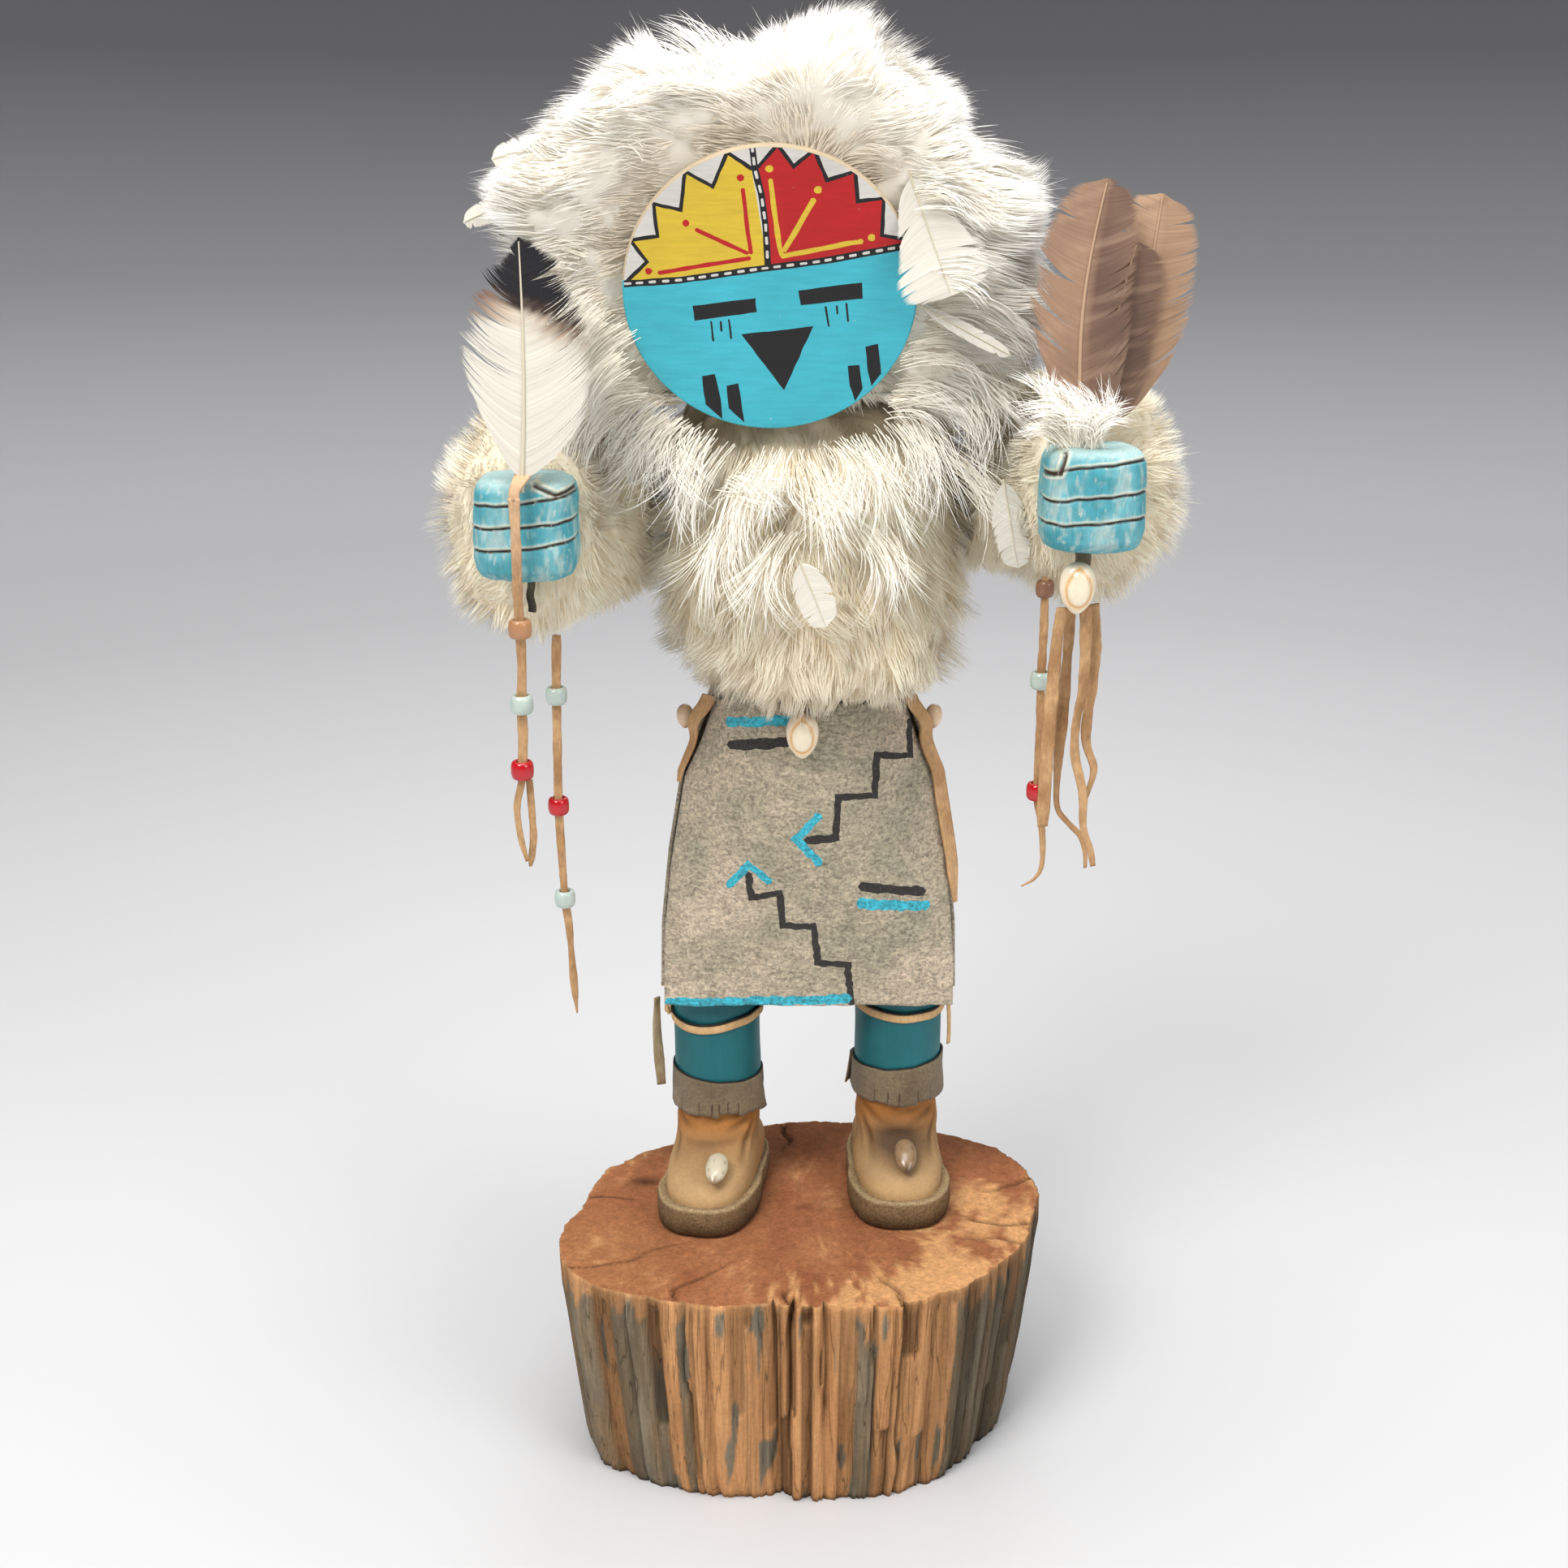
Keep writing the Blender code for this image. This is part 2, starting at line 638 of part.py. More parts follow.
def make_sleeve(side, sign):
    """A fur sleeve from the shoulder's flat forward to a full ball round the hand."""
    fist = FIST_PLACE[side]
    out = sign * (abs(fist[0] - BODY_X) - SHOULDER_HALF)
    root_x = BODY_X + sign * (SHOULDER_HALF + GAP)
    wrist_y = fist[1] + FIST_DEPTH / 2 + 2 * GAP
    droop = 0.0045 if side == "left" else 0.0030
    bulge = 0.0060
    stations = (
        (0.0, 0.0, 0.0010, 90.0, 0.0290, 0.0300),
        (0.30, 0.0, -0.0030, 80.0, 0.0310, 0.0325),
        (0.68, 0.0120, 0.0, 55.0, 0.0335, 0.0370),
        (0.95, 0.0270, 0.0, 28.0, 0.0315, 0.0385),
        (1.02, 0.0420, 0.0, 8.0, 0.0310, 0.0385),
        (1.00, 0.0560, 0.0, 0.0, 0.0290, 0.0350),
        (0.90, 0.0680, 0.0, 0.0, 0.0240, 0.0270),
        (0.80, 1.0, 0.0, 0.0, 0.0120, 0.0140),
    )
    start_y = 0.0060
    rings = []
    for k, (share, forward, rise, heading, wide, tall) in enumerate(stations):
        last = k == len(stations) - 1
        x = root_x + share * (out + sign * bulge) if k else root_x
        y = wrist_y if last else max(start_y - forward, wrist_y + 0.0010)
        z = SHOULDER_HEIGHT if k == 0 else fist[2] - droop + rise
        turn = math.radians(heading)
        across = Vector((sign * math.cos(turn), math.sin(turn), 0.0))
        ring = []
        for i in range(18):
            a = 2 * math.pi * i / 18
            swell = 1.0 if k == 0 or last else 1 + SLEEVE_LUMP / wide * lumps(a, 2.2 * k, 21 + sign)
            offset = across * wide * swell * math.cos(a) + Vector((0.0, 0.0, tall * swell * math.sin(a)))
            ring.append(Vector((x, y, z)) + offset)
        rings.append(ring)
    return loft(f"fur_sleeve_{side}", rings, fur())


def mask_axes(lean):
    """Right, up and front of the mask's plane before its roll, leaning forward by lean."""
    angle = math.radians(lean)
    return (
        Vector((1.0, 0.0, 0.0)),
        Vector((0.0, -math.sin(angle), math.cos(angle))),
        Vector((0.0, -math.cos(angle), -math.sin(angle))),
    )


def make_mask():
    right, up, front = mask_axes(MASK_LEAN)
    bpy.ops.mesh.primitive_cylinder_add(vertices=36, radius=MASK_RADIUS, depth=MASK_WALL)
    piece = bpy.context.object
    piece.name = "mask_disc"
    for holder in list(piece.users_collection):
        holder.objects.unlink(piece)
    bpy.data.collections[COLLECTION].objects.link(piece)
    plane = Matrix((right, up, front)).transposed().to_4x4()
    roll = Matrix.Rotation(math.radians(MASK_ROLL), 4, "Z")
    piece.matrix_world = Matrix.Translation(MASK_CENTRE) @ plane @ roll
    edge = piece.modifiers.new("edge", "BEVEL")
    edge.width = MASK_WALL / 4
    edge.segments = 1
    edge.limit_method = "ANGLE"
    piece.data.materials.append(mask_paint())


# Tufts round the headdress: degrees from +X, how far each reaches and how wide it spreads
HEADDRESS_TUFTS = (
    (160, 0.0220, 12), (138, 0.0086, 11), (120, 0.0096, 8), (104, -0.0066, 8), (74, 0.0145, 11),
    (47, 0.0088, 8), (36, -0.0050, 6), (20, 0.0180, 10), (-10, 0.0156, 18), (205, 0.0058, 14),
)


def headdress_reach(degrees):
    """How far the ruff of fur and down reaches from the mask's middle at an angle."""
    reach = 0.0735
    for at, extra, spread in HEADDRESS_TUFTS:
        away = (degrees - at + 180) % 360 - 180
        reach += extra * math.exp(-((away / spread) ** 2))
    return reach


def make_headdress():
    """The ruff behind and round the mask, flat where the mask lies and at the neck."""
    behind = MASK_WALL / 2 + GAP
    profile = (
        (0.0, 0.55, 0.0), (0.0, 1.0, 0.0), (0.30, 1.0, -0.0040), (0.72, 1.0, -0.0050), (0.93, 1.0, 0.0070),
        (1.0, 1.0, 0.0220), (0.96, 1.0, 0.0380), (0.78, 1.0, 0.0600), (0.48, 1.0, 0.0790), (0.05, 1.0, 0.0890),
        (-0.6, 1.0, HEADDRESS_DEPTH),
    )
    count = 40
    inner = MASK_RADIUS + 4 * GAP
    centre = Vector(MASK_CENTRE)
    rings = []
    for k, (out, share, back) in enumerate(profile):
        leaning = MASK_LEAN * max(0.0, 1 - max(back, 0.0) / 0.030)
        right, up, front = mask_axes(leaning)
        ring = []
        for i in range(count):
            a = 2 * math.pi * i / count
            reach = headdress_reach(math.degrees(a))
            swell = HEADDRESS_LUMP * lumps(a, 1.7 * k, 8) if k > 2 else 0.0
            radius = share * inner + out * (reach - inner) + swell * min(1.0, max(out, 0.3))
            if k in (0, 1):
                radius = share * inner
            place = centre + radius * (math.cos(a) * right + math.sin(a) * up) - behind * mask_axes(MASK_LEAN)[2]
            ring.append(place + Vector((0.0, back, 0.0)))
        rings.append(ring)
    piece = loft("headdress", rings, down())
    cut_flat(piece, (0.0, 0.0, NECK + GAP), (0.0, 0.0, -1.0))


def make_fist(side, sign):
    """A carved hand: a rounded block with three grooves between the fingers and a thumb."""
    centre = Vector(FIST_PLACE[side])
    count = 16
    levels = [(0.0, 0.62, 0.0), (0.035, 0.84, 0.0), (0.10, 0.95, 0.0)]
    for groove in (0.24, 0.49, 0.73):
        levels += [(groove - 0.035, 1.0, 0.0), (groove, 1.0, 1.0), (groove + 0.035, 1.0, 0.0)]
    levels += [(0.88, 0.98, 0.0), (0.965, 0.90, 0.0), (1.0, 0.74, 0.0)]
    rings = []
    for height, share, groove in levels:
        ring = []
        for i, (x, y) in enumerate(rounded_outline(FIST_DEPTH / 2, FIST_DEPTH / 2, FIST_WIDTH / 2, 3.0, count)):
            a = 2 * math.pi * i / count
            front = max(0.0, -math.sin(a) + 0.45)
            size = share - groove * min(front, 1.0) * FIST_GROOVE / (FIST_WIDTH / 2)
            thumb = math.exp(-(((height - 0.86) / 0.11) ** 2) - ((a - 1.5 * math.pi - sign * -0.85) / 0.5) ** 2)
            size += 0.045 * thumb
            tilt = 0.0014 * math.cos(a)
            z = (height - 0.5) * FIST_HEIGHT + tilt * (1 - abs(2 * height - 1) ** 4)
            ring.append(centre + Vector((x * size, y * size, z)))
        rings.append(ring)
    loft(f"fist_{side}", rings, hand_paint())


def make_hand_tie(side, sign):
    """The dark strip that comes out under the hand, where the thongs are tied."""
    fist = FIST_PLACE[side]
    length = HAND_TIE_LENGTH[side]
    bpy.ops.mesh.primitive_cube_add(size=1)
    piece = bpy.context.object
    piece.name = f"hand_tie_{side}"
    for holder in list(piece.users_collection):
        holder.objects.unlink(piece)
    bpy.data.collections[COLLECTION].objects.link(piece)
    top = fist[2] - FIST_HEIGHT / 2 - 2 * GAP
    for vertex in piece.data.vertices:
        taper = 0.8 if vertex.co.z < 0 else 1.0
        vertex.co.x *= HAND_TIE_WIDTH[side] * taper
        vertex.co.y *= HAND_TIE_WALL
        vertex.co.z *= length
    piece.location = (fist[0] - 0.0022 * (sign > 0), fist[1] + 0.0010, top - length / 2)
    piece.data.materials.append(dark_tie())


def feather(name, base, tip, width, bend, look):
    """A feather's blade: a thin leaf about its shaft, facing -Y, closed to its true outline."""
    stations = (
        (0.0, 0.06), (0.08, 0.22), (0.20, 0.54), (0.36, 0.88), (0.52, 1.0), (0.68, 0.95), (0.82, 0.82),
        (0.92, 0.62), (0.98, 0.34), (1.0, 0.10),
    )
    base, tip = Vector(base), Vector(tip)
    along = tip - base
    across = Vector((along.z, 0.0, -along.x)).normalized()
    bm = bmesh.new()
    rows = []
    for share, half in stations:
        middle = base + share * along + across * bend * math.sin(math.pi * share)
        reach = across * half * width / 2
        cup = Vector((0.0, 0.0025 * half, 0.0))
        rows.append([bm.verts.new(p) for p in (middle - reach + cup, middle, middle + reach + cup)])
    for low, high in zip(rows, rows[1:]):
        for i in range(2):
            bm.faces.new((low[i], low[i + 1], high[i + 1], high[i]))
    mesh = bpy.data.meshes.new(name)
    bm.to_mesh(mesh)
    bm.free()
    piece = add_object(name, mesh, look)
    solidify(piece, FEATHER_WALL, 0.0)


def make_feathers():
    left, right = FIST_PLACE["left"], FIST_PLACE["right"]
    top = right[2] + FIST_HEIGHT / 2 + 3 * GAP
    front = left[1] - FIST_DEPTH / 2 - FEATHER_WALL - 8 * GAP
    feather(
        "feather_black_tipped", (left[0] + 0.0012, front, left[2] + 0.0135),
        (left[0] + 0.0020, front + 0.0100, 0.4580), 0.0350, 0.0010, white_feather(),
    )
    feather(
        "feather_brown_front", (right[0] + 0.0008, right[1] + 0.0030, top), (0.0970, -0.0700, 0.4740),
        0.0310, -0.0040, brown_feather(),
    )
    feather(
        "feather_brown_middle", (right[0] + 0.0022, right[1] + 0.0075, top), (0.1080, -0.0640, 0.4560),
        0.0300, -0.0020, brown_feather(),
    )
    feather(
        "feather_brown_back", (right[0] + 0.0042, right[1] + 0.0120, top), (0.1163, -0.0590, 0.4700),
        0.0320, 0.0020, brown_feather(),
    )


def bead(name, centre, look, hole, width=BEAD_WIDTH, length=BEAD_LENGTH):
    """A turned bead, with its hole wider than the lace in it."""
    edge = 0.8 * (width - hole) / 2
    profile = (
        (hole / 2, length / 2), (width / 2 - edge, length / 2), (width / 2, length / 2 - edge),
        (width / 2, edge - length / 2), (width / 2 - edge, -length / 2), (hole / 2, -length / 2),
    )
    mesh = bpy.data.meshes.new(name)
    count = len(profile)
    points = [(x, 0.0, z) for x, z in profile]
    mesh.from_pydata(points, [(i, (i + 1) % count) for i in range(count)], [])
    piece = add_object(name, mesh, look)
    piece.location = centre
    turned = piece.modifiers.new("turn", "SCREW")
    turned.steps = 8
    turned.render_steps = 8
    turned.use_merge_vertices = True
    turned.merge_threshold = 0.00001
    turned.use_normal_calculate = True


# Routes of the laces, from where each leaves the hand or sleeve down to its free end
ROUTE_LEFT_FRONT = (
    (-0.0814, -0.0975, 0.3820), (-0.0813, -0.0978, 0.3658), (-0.0817, -0.0962, 0.3561),
    (-0.0820, -0.0935, 0.3470), (-0.0820, -0.0922, 0.3404), (-0.0821, -0.0910, 0.3281),
    (-0.0828, -0.0902, 0.3155), (-0.0829, -0.0898, 0.3043), (-0.0836, -0.0895, 0.2936),
    (-0.0840, -0.0894, 0.2894), (-0.0859, -0.0890, 0.2808), (-0.0852, -0.0888, 0.2705),
    (-0.0834, -0.0885, 0.2621),
)
ROUTE_LEFT_LOOP = (
    (-0.0819, -0.0866, 0.2892), (-0.0817, -0.0866, 0.2835), (-0.0815, -0.0866, 0.2773),
    (-0.0814, -0.0864, 0.2700), (-0.0822, -0.0856, 0.2635), (-0.0830, -0.0848, 0.2590),
)
ROUTE_LEFT_BACK = (
    (-0.0765, -0.0450, 0.3270), (-0.0769, -0.0450, 0.3180), (-0.0773, -0.0450, 0.3060),
    (-0.0777, -0.0450, 0.2860), (-0.0780, -0.0450, 0.2665), (-0.0776, -0.0450, 0.2490),
    (-0.0770, -0.0450, 0.2322), (-0.0759, -0.0450, 0.2210), (-0.0752, -0.0450, 0.2050),
    (-0.0742, -0.0450, 0.1880),
)
ROUTE_RIGHT_BACK = (
    (0.0865, -0.0500, 0.3478), (0.0864, -0.0500, 0.3440), (0.0866, -0.0500, 0.3300),
    (0.0864, -0.0500, 0.3127), (0.0868, -0.0500, 0.2930), (0.0866, -0.0500, 0.2735),
    (0.0888, -0.0500, 0.2605), (0.0893, -0.0515, 0.2480), (0.0868, -0.0535, 0.2430),
    (0.0820, -0.0560, 0.2410),
)
ROUTE_STRAP_WIDE = (
    (0.0880, -0.0790, 0.3440), (0.0872, -0.0775, 0.3340), (0.0866, -0.0765, 0.3190),
    (0.0860, -0.0755, 0.3010), (0.0857, -0.0748, 0.2850), (0.0856, -0.0742, 0.2690),
)
ROUTE_STRAP_CURLED = (
    (0.0915, -0.0745, 0.3450), (0.0916, -0.0728, 0.3330), (0.0912, -0.0718, 0.3180),
    (0.0907, -0.0708, 0.3010), (0.0903, -0.0702, 0.2860), (0.0908, -0.0700, 0.2745),
    (0.0945, -0.0698, 0.2690), (0.0990, -0.0690, 0.2640), (0.1010, -0.0690, 0.2580), (0.1013, -0.0690, 0.2525),
)
ROUTE_STRAP_WAVY = (
    (0.0955, -0.0785, 0.3450), (0.0964, -0.0770, 0.3340), (0.0964, -0.0762, 0.3170),
    (0.0948, -0.0758, 0.3050), (0.0950, -0.0755, 0.2940), (0.0982, -0.0750, 0.2810),
    (0.0990, -0.0746, 0.2690), (0.1018, -0.0742, 0.2610), (0.1030, -0.0740, 0.2550),
)
ROUTE_STRAP_OUTER = (
    (0.0990, -0.0735, 0.3440), (0.1003, -0.0722, 0.3330), (0.1002, -0.0716, 0.3200),
    (0.0990, -0.0708, 0.2990), (0.1022, -0.0704, 0.2880), (0.1006, -0.0706, 0.2800), (0.0990, -0.0708, 0.2745),
)


def make_thongs():
    leather = tan_leather()
    thong("thong_left_front", ROUTE_LEFT_FRONT, THONG_WIDTH, leather)
    thong("thong_left_front_loop", ROUTE_LEFT_LOOP, LACE_WIDTH, leather)
    thong("thong_left_back", ROUTE_LEFT_BACK, THONG_WIDTH, leather)
    thong("thong_right_back", ROUTE_RIGHT_BACK, THONG_WIDTH, leather)
    thong("strap_right_wide", ROUTE_STRAP_WIDE, STRAP_WIDTH, leather)
    thong("strap_right_curled", ROUTE_STRAP_CURLED, LACE_WIDTH, leather)
    thong("strap_right_wavy", ROUTE_STRAP_WAVY, THONG_WIDTH, leather)
    thong("strap_right_outer", ROUTE_STRAP_OUTER, LACE_WIDTH, leather)


def make_beads():
    hole = THONG_WIDTH + 5 * GAP
    bead("bead_left_front_tan", ROUTE_LEFT_FRONT[4], bead_tan(), hole)
    bead("bead_left_front_white", ROUTE_LEFT_FRONT[6], bead_white(), hole)
    bead("bead_left_front_red", ROUTE_LEFT_FRONT[8], bead_red(), hole)
    bead("bead_left_back_white_upper", ROUTE_LEFT_BACK[2], bead_white(), hole)
    bead("bead_left_back_red", ROUTE_LEFT_BACK[4], bead_red(), hole)
    bead("bead_left_back_white_lower", ROUTE_LEFT_BACK[6], bead_white(), hole)
    bead("bead_right_back_brown", ROUTE_RIGHT_BACK[1], bead_tan(), hole, 0.0062, 0.0056)
    bead("bead_right_back_white", ROUTE_RIGHT_BACK[3], bead_white(), hole)
    bead("bead_right_back_red", ROUTE_RIGHT_BACK[5], bead_red(), hole)
    tie_front = FIST_PLACE["right"][1] + 0.0010 - HAND_TIE_WALL / 2
    place = (FIST_PLACE["right"][0] - 0.0045, tie_front - COWRIE[1] / 2 - 3 * GAP - 0.0020, 0.3510)
    ellipsoid("hand_cowrie_right", COWRIE, place, (0.0, 0.0, 0.0), shell_white(), 10, 8, narrow=0.12)


def main():
    clear_scene()
    bpy.context.scene.collection.children.link(bpy.data.collections.new(COLLECTION))
    make_log()
    for side, sign in SIDES:
        make_sole(side, sign)
        make_upper(side, sign)
        make_boot_shell(side, sign)
        make_leg(side, sign)
        make_cuff(side, sign)
        make_garter(side, sign)
        make_hip_strap(side, sign)
        make_sleeve(side, sign)
        make_fist(side, sign)
        make_hand_tie(side, sign)
    make_garter_tail()
    make_kilt()
    make_torso()
    make_headdress()
    make_mask()
    make_feathers()
    make_thongs()
    make_beads()


main()
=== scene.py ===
import functools
import math

import bmesh
import bpy
import numpy as np
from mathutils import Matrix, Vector
from mathutils.bvhtree import BVHTree
from mathutils.geometry import delaunay_2d_cdt
from mathutils.kdtree import KDTree


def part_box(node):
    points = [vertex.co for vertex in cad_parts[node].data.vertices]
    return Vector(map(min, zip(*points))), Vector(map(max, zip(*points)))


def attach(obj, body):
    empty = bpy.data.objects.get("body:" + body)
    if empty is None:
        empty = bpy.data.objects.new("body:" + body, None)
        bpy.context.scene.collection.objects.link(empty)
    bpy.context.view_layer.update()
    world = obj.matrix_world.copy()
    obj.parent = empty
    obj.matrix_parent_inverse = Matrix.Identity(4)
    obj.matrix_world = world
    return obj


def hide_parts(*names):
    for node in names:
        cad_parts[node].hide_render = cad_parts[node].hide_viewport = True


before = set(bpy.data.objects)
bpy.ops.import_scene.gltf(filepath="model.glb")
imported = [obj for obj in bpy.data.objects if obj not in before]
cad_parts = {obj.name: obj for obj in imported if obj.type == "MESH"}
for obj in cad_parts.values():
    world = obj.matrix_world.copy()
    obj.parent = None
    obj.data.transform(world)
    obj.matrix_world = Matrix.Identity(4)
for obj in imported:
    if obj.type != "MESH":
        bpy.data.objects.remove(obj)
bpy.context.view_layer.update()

# The photograph's frame in pixels and its camera, in metres
PHOTO = 1932
FOCAL = 2350.0
PITCH = math.radians(18.0)
CAMERA_AT = Vector((0.0, -0.6705, 0.4776))
SENSOR = 36.0

MM = 0.001
UP = np.array((0.0, 0.0, 1.0))
ROOT = "root"


# The lights are set for the white fur, so every other colour is this much darker than it shows
SHADE = 0.84


def shown(red, green, blue):
    """A colour given as it shows, 0 to 255, in the linear values that shaders use."""
    shares = np.array((red, green, blue)) / 255
    values = np.where(shares <= 0.04045, shares / 12.92, ((shares + 0.055) / 1.055) ** 2.4)
    return tuple(float(v) for v in values)


def linear(red, green, blue):
    """A colour as it shows under the lights, in linear values."""
    return tuple(SHADE * v for v in shown(red, green, blue))


CREAM = shown(255, 252, 246)
TORSO_TIP = shown(255, 248, 229)
ROOT_FUR = shown(250, 238, 216)
TORSO_ROOT = shown(252, 232, 196)
SUEDE = linear(218, 199, 174)
SUEDE_DARK = linear(178, 170, 145)
LEATHER = linear(220, 176, 128)
CYAN = linear(74, 206, 226)
YELLOW = linear(244, 208, 60)
RED = linear(206, 22, 26)
BLACK = linear(26, 25, 27)
WHITE = linear(238, 234, 226)
TEAL = linear(22, 114, 122)


class Finish:
    """A Principled material with short ways to add nodes to it."""

    def __init__(self, name, roughness, specular=0.3):
        self.material = bpy.data.materials.new(name)
        self.material.use_nodes = True
        self.nodes = self.material.node_tree.nodes
        self.links = self.material.node_tree.links
        self.shader = self.nodes["Principled BSDF"]
        self.shader.inputs["Roughness"].default_value = roughness
        self.shader.inputs["Specular IOR Level"].default_value = specular
        self.place = self.nodes.new("ShaderNodeTexCoord").outputs["Object"]

    def put(self, value, socket):
        """Links a socket, or sets a plain value or colour."""
        if hasattr(value, "is_output"):
            self.links.new(value, socket)
        elif isinstance(value, tuple):
            socket.default_value = (*value, 1.0) if len(value) == 3 and socket.type == "RGBA" else value
        else:
            socket.default_value = value

    def stretched(self, stretch):
        node = self.nodes.new("ShaderNodeMapping")
        self.links.new(self.place, node.inputs["Vector"])
        node.inputs["Scale"].default_value = stretch
        return node.outputs["Vector"]

    def noise(self, size, detail=4.0, stretch=(1.0, 1.0, 1.0), rough=0.55, warp=0.0):
        """Noise with features of about a size in metres, long where stretch is small."""
        node = self.nodes.new("ShaderNodeTexNoise")
        self.links.new(self.stretched(stretch), node.inputs["Vector"])
        node.inputs["Scale"].default_value = 0.5 / size
        node.inputs["Detail"].default_value = detail
        node.inputs["Roughness"].default_value = rough
        node.inputs["Distortion"].default_value = warp
        return node.outputs["Fac"]

    def ramp(self, value, *stops):
        """A colour or grey ramp from (place, colour) stops."""
        node = self.nodes.new("ShaderNodeValToRGB")
        self.put(value, node.inputs["Fac"])
        marks = node.color_ramp.elements
        while len(marks) < len(stops):
            marks.new(0.5)
        for mark, (place, colour) in zip(marks, stops):
            mark.position = place
            mark.color = (*colour, 1.0) if isinstance(colour, tuple) else (colour, colour, colour, 1.0)
        return node.outputs["Color"]

    def mix(self, share, first, second, mode="MIX"):
        node = self.nodes.new("ShaderNodeMix")
        node.data_type = "RGBA"
        node.blend_type = mode
        self.put(share, node.inputs[0])
        self.put(first, node.inputs[6])
        self.put(second, node.inputs[7])
        return node.outputs[2]

    def mottle(self, share, tone, value, *stops):
        """Darkens and lightens a tone by a ramp, as strongly as a share says."""
        return self.mix(share, tone, self.ramp(value, *stops), "MULTIPLY")

    def level(self):
        """The height of each point in metres."""
        node = self.nodes.new("ShaderNodeSeparateXYZ")
        self.links.new(self.place, node.inputs[0])
        return node.outputs["Z"]

    def painted(self, name="tone"):
        """The colour that a piece carries in its points."""
        node = self.nodes.new("ShaderNodeAttribute")
        node.attribute_name = name
        return node.outputs["Color"]

    def bump(self, height, depth, strength=1.0, below=None):
        node = self.nodes.new("ShaderNodeBump")
        node.inputs["Distance"].default_value = depth
        node.inputs["Strength"].default_value = strength
        self.links.new(height, node.inputs["Height"])
        if below is not None:
            self.links.new(below, node.inputs["Normal"])
        self.links.new(node.outputs["Normal"], self.shader.inputs["Normal"])
        return node.outputs["Normal"]

    def colour(self, value):
        self.put(value, self.shader.inputs["Base Color"])

    def set(self, **values):
        """Sets plain inputs of the shader, such as Coat_Weight."""
        for name, value in values.items():
            self.shader.inputs[name.replace("_", " ")].default_value = value


HASH_PRIMES = np.array((73856093, 19349663, 83492791))


def noise(points, size, seed):
    """Smooth value noise from -1 to 1 at points, with features of about a size."""
    spot = np.asarray(points, float).reshape(-1, 3) / size + 1000.0
    base = np.floor(spot).astype(np.int64)
    part = spot - base
    part = part * part * (3 - 2 * part)
    total = np.zeros(len(spot))
    for corner in range(8):
        step = np.array((corner & 1, corner >> 1 & 1, corner >> 2 & 1))
        cell = base + step
        mixed = (cell * HASH_PRIMES).T
        mixed = mixed[0] ^ mixed[1] ^ mixed[2] ^ (seed * 2654435761)
        mixed = (mixed ^ (mixed >> 13)) * 1274126177 & 0xFFFFFFFF
        value = ((mixed ^ (mixed >> 15)) & 0xFFFF) / 32767.5 - 1
        weight = np.prod(np.where(step, part, 1 - part), axis=1)
        total += value * weight
    return total.reshape(np.shape(points)[:-1])


def rough_noise(points, size, seed):
    """Noise with two finer layers on it."""
    return sum(noise(points, size / 2 ** k, seed + k) / 2 ** k for k in range(3))


def unit(vectors):
    vectors = np.asarray(vectors, float)
    return vectors / (np.linalg.norm(vectors, axis=-1, keepdims=True) + 1e-12)


def blend(share, first, second):
    """A mix of two colours or arrays of them at a share a point."""
    share = np.clip(np.asarray(share, float), 0, 1)[..., None]
    return (1 - share) * np.asarray(first, float) + share * np.asarray(second, float)


def smooth_step(value, low, high):
    share = np.clip((np.asarray(value, float) - low) / (high - low), 0, 1)
    return share * share * (3 - 2 * share)


def bell(spread):
    """Steps to either side of a row, and bell-shaped weights for them that add up to one."""
    steps = np.arange(-3 * spread, 3 * spread + 1)
    weights = np.exp(-(steps / spread) ** 2 / 2)
    return steps, weights / weights.sum()


def turns(count, offset=0.0):
    """Even angles once round."""
    return 2 * math.pi * (np.arange(count) + offset) / count


def on_ring(angles, radius, height=0.0):
    """Points at angles on an upright cylinder."""
    return np.stack([np.cos(angles) * radius, np.sin(angles) * radius, 0 * angles + height], -1)


def along_x(values):
    return np.stack([values, 0 * values, 0 * values], -1)


def squarish(angles, corner):
    """The cosine and sine of a rounded square: a low corner makes it squarer."""
    c, s = np.cos(angles), np.sin(angles)
    return np.sign(c) * np.abs(c) ** corner, np.sign(s) * np.abs(s) ** corner


def build(name, points, faces, finishes, tones=None, which=None, normals=None, smooth=True):
    """A mesh object from arrays: finishes are its materials, tones its points' colours."""
    mesh = bpy.data.meshes.new(name)
    points = np.ascontiguousarray(points, np.float32).reshape(-1, 3)
    groups = [np.asarray(group, np.int32) for group in faces if len(group)]
    corners = np.concatenate([group.ravel() for group in groups])
    sizes = np.concatenate([np.full(len(group), group.shape[1]) for group in groups])
    mesh.vertices.add(len(points))
    mesh.vertices.foreach_set("co", points.ravel())
    mesh.loops.add(len(corners))
    mesh.loops.foreach_set("vertex_index", corners)
    mesh.polygons.add(len(sizes))
    mesh.polygons.foreach_set("loop_start", np.concatenate([[0], np.cumsum(sizes)[:-1]]).astype(np.int32))
    if which is not None:
        mesh.polygons.foreach_set("material_index", np.asarray(which, np.int32))
    mesh.update(calc_edges=True)
    mesh.polygons.foreach_set("use_smooth", np.full(len(sizes), smooth))
    if tones is not None:
        layer = mesh.color_attributes.new("tone", "FLOAT_COLOR", "POINT")
        rgba = np.ones((len(points), 4), np.float32)
        rgba[:, :3] = np.asarray(tones).reshape(-1, 3)
        layer.data.foreach_set("color", rgba.ravel())
    for finish in finishes:
        mesh.materials.append(finish.material)
    if normals is not None:
        mesh.normals_split_custom_set_from_vertices(np.asarray(normals, np.float32).reshape(-1, 3))
    piece = bpy.data.objects.new(name, mesh)
    bpy.context.scene.collection.objects.link(piece)
    return piece


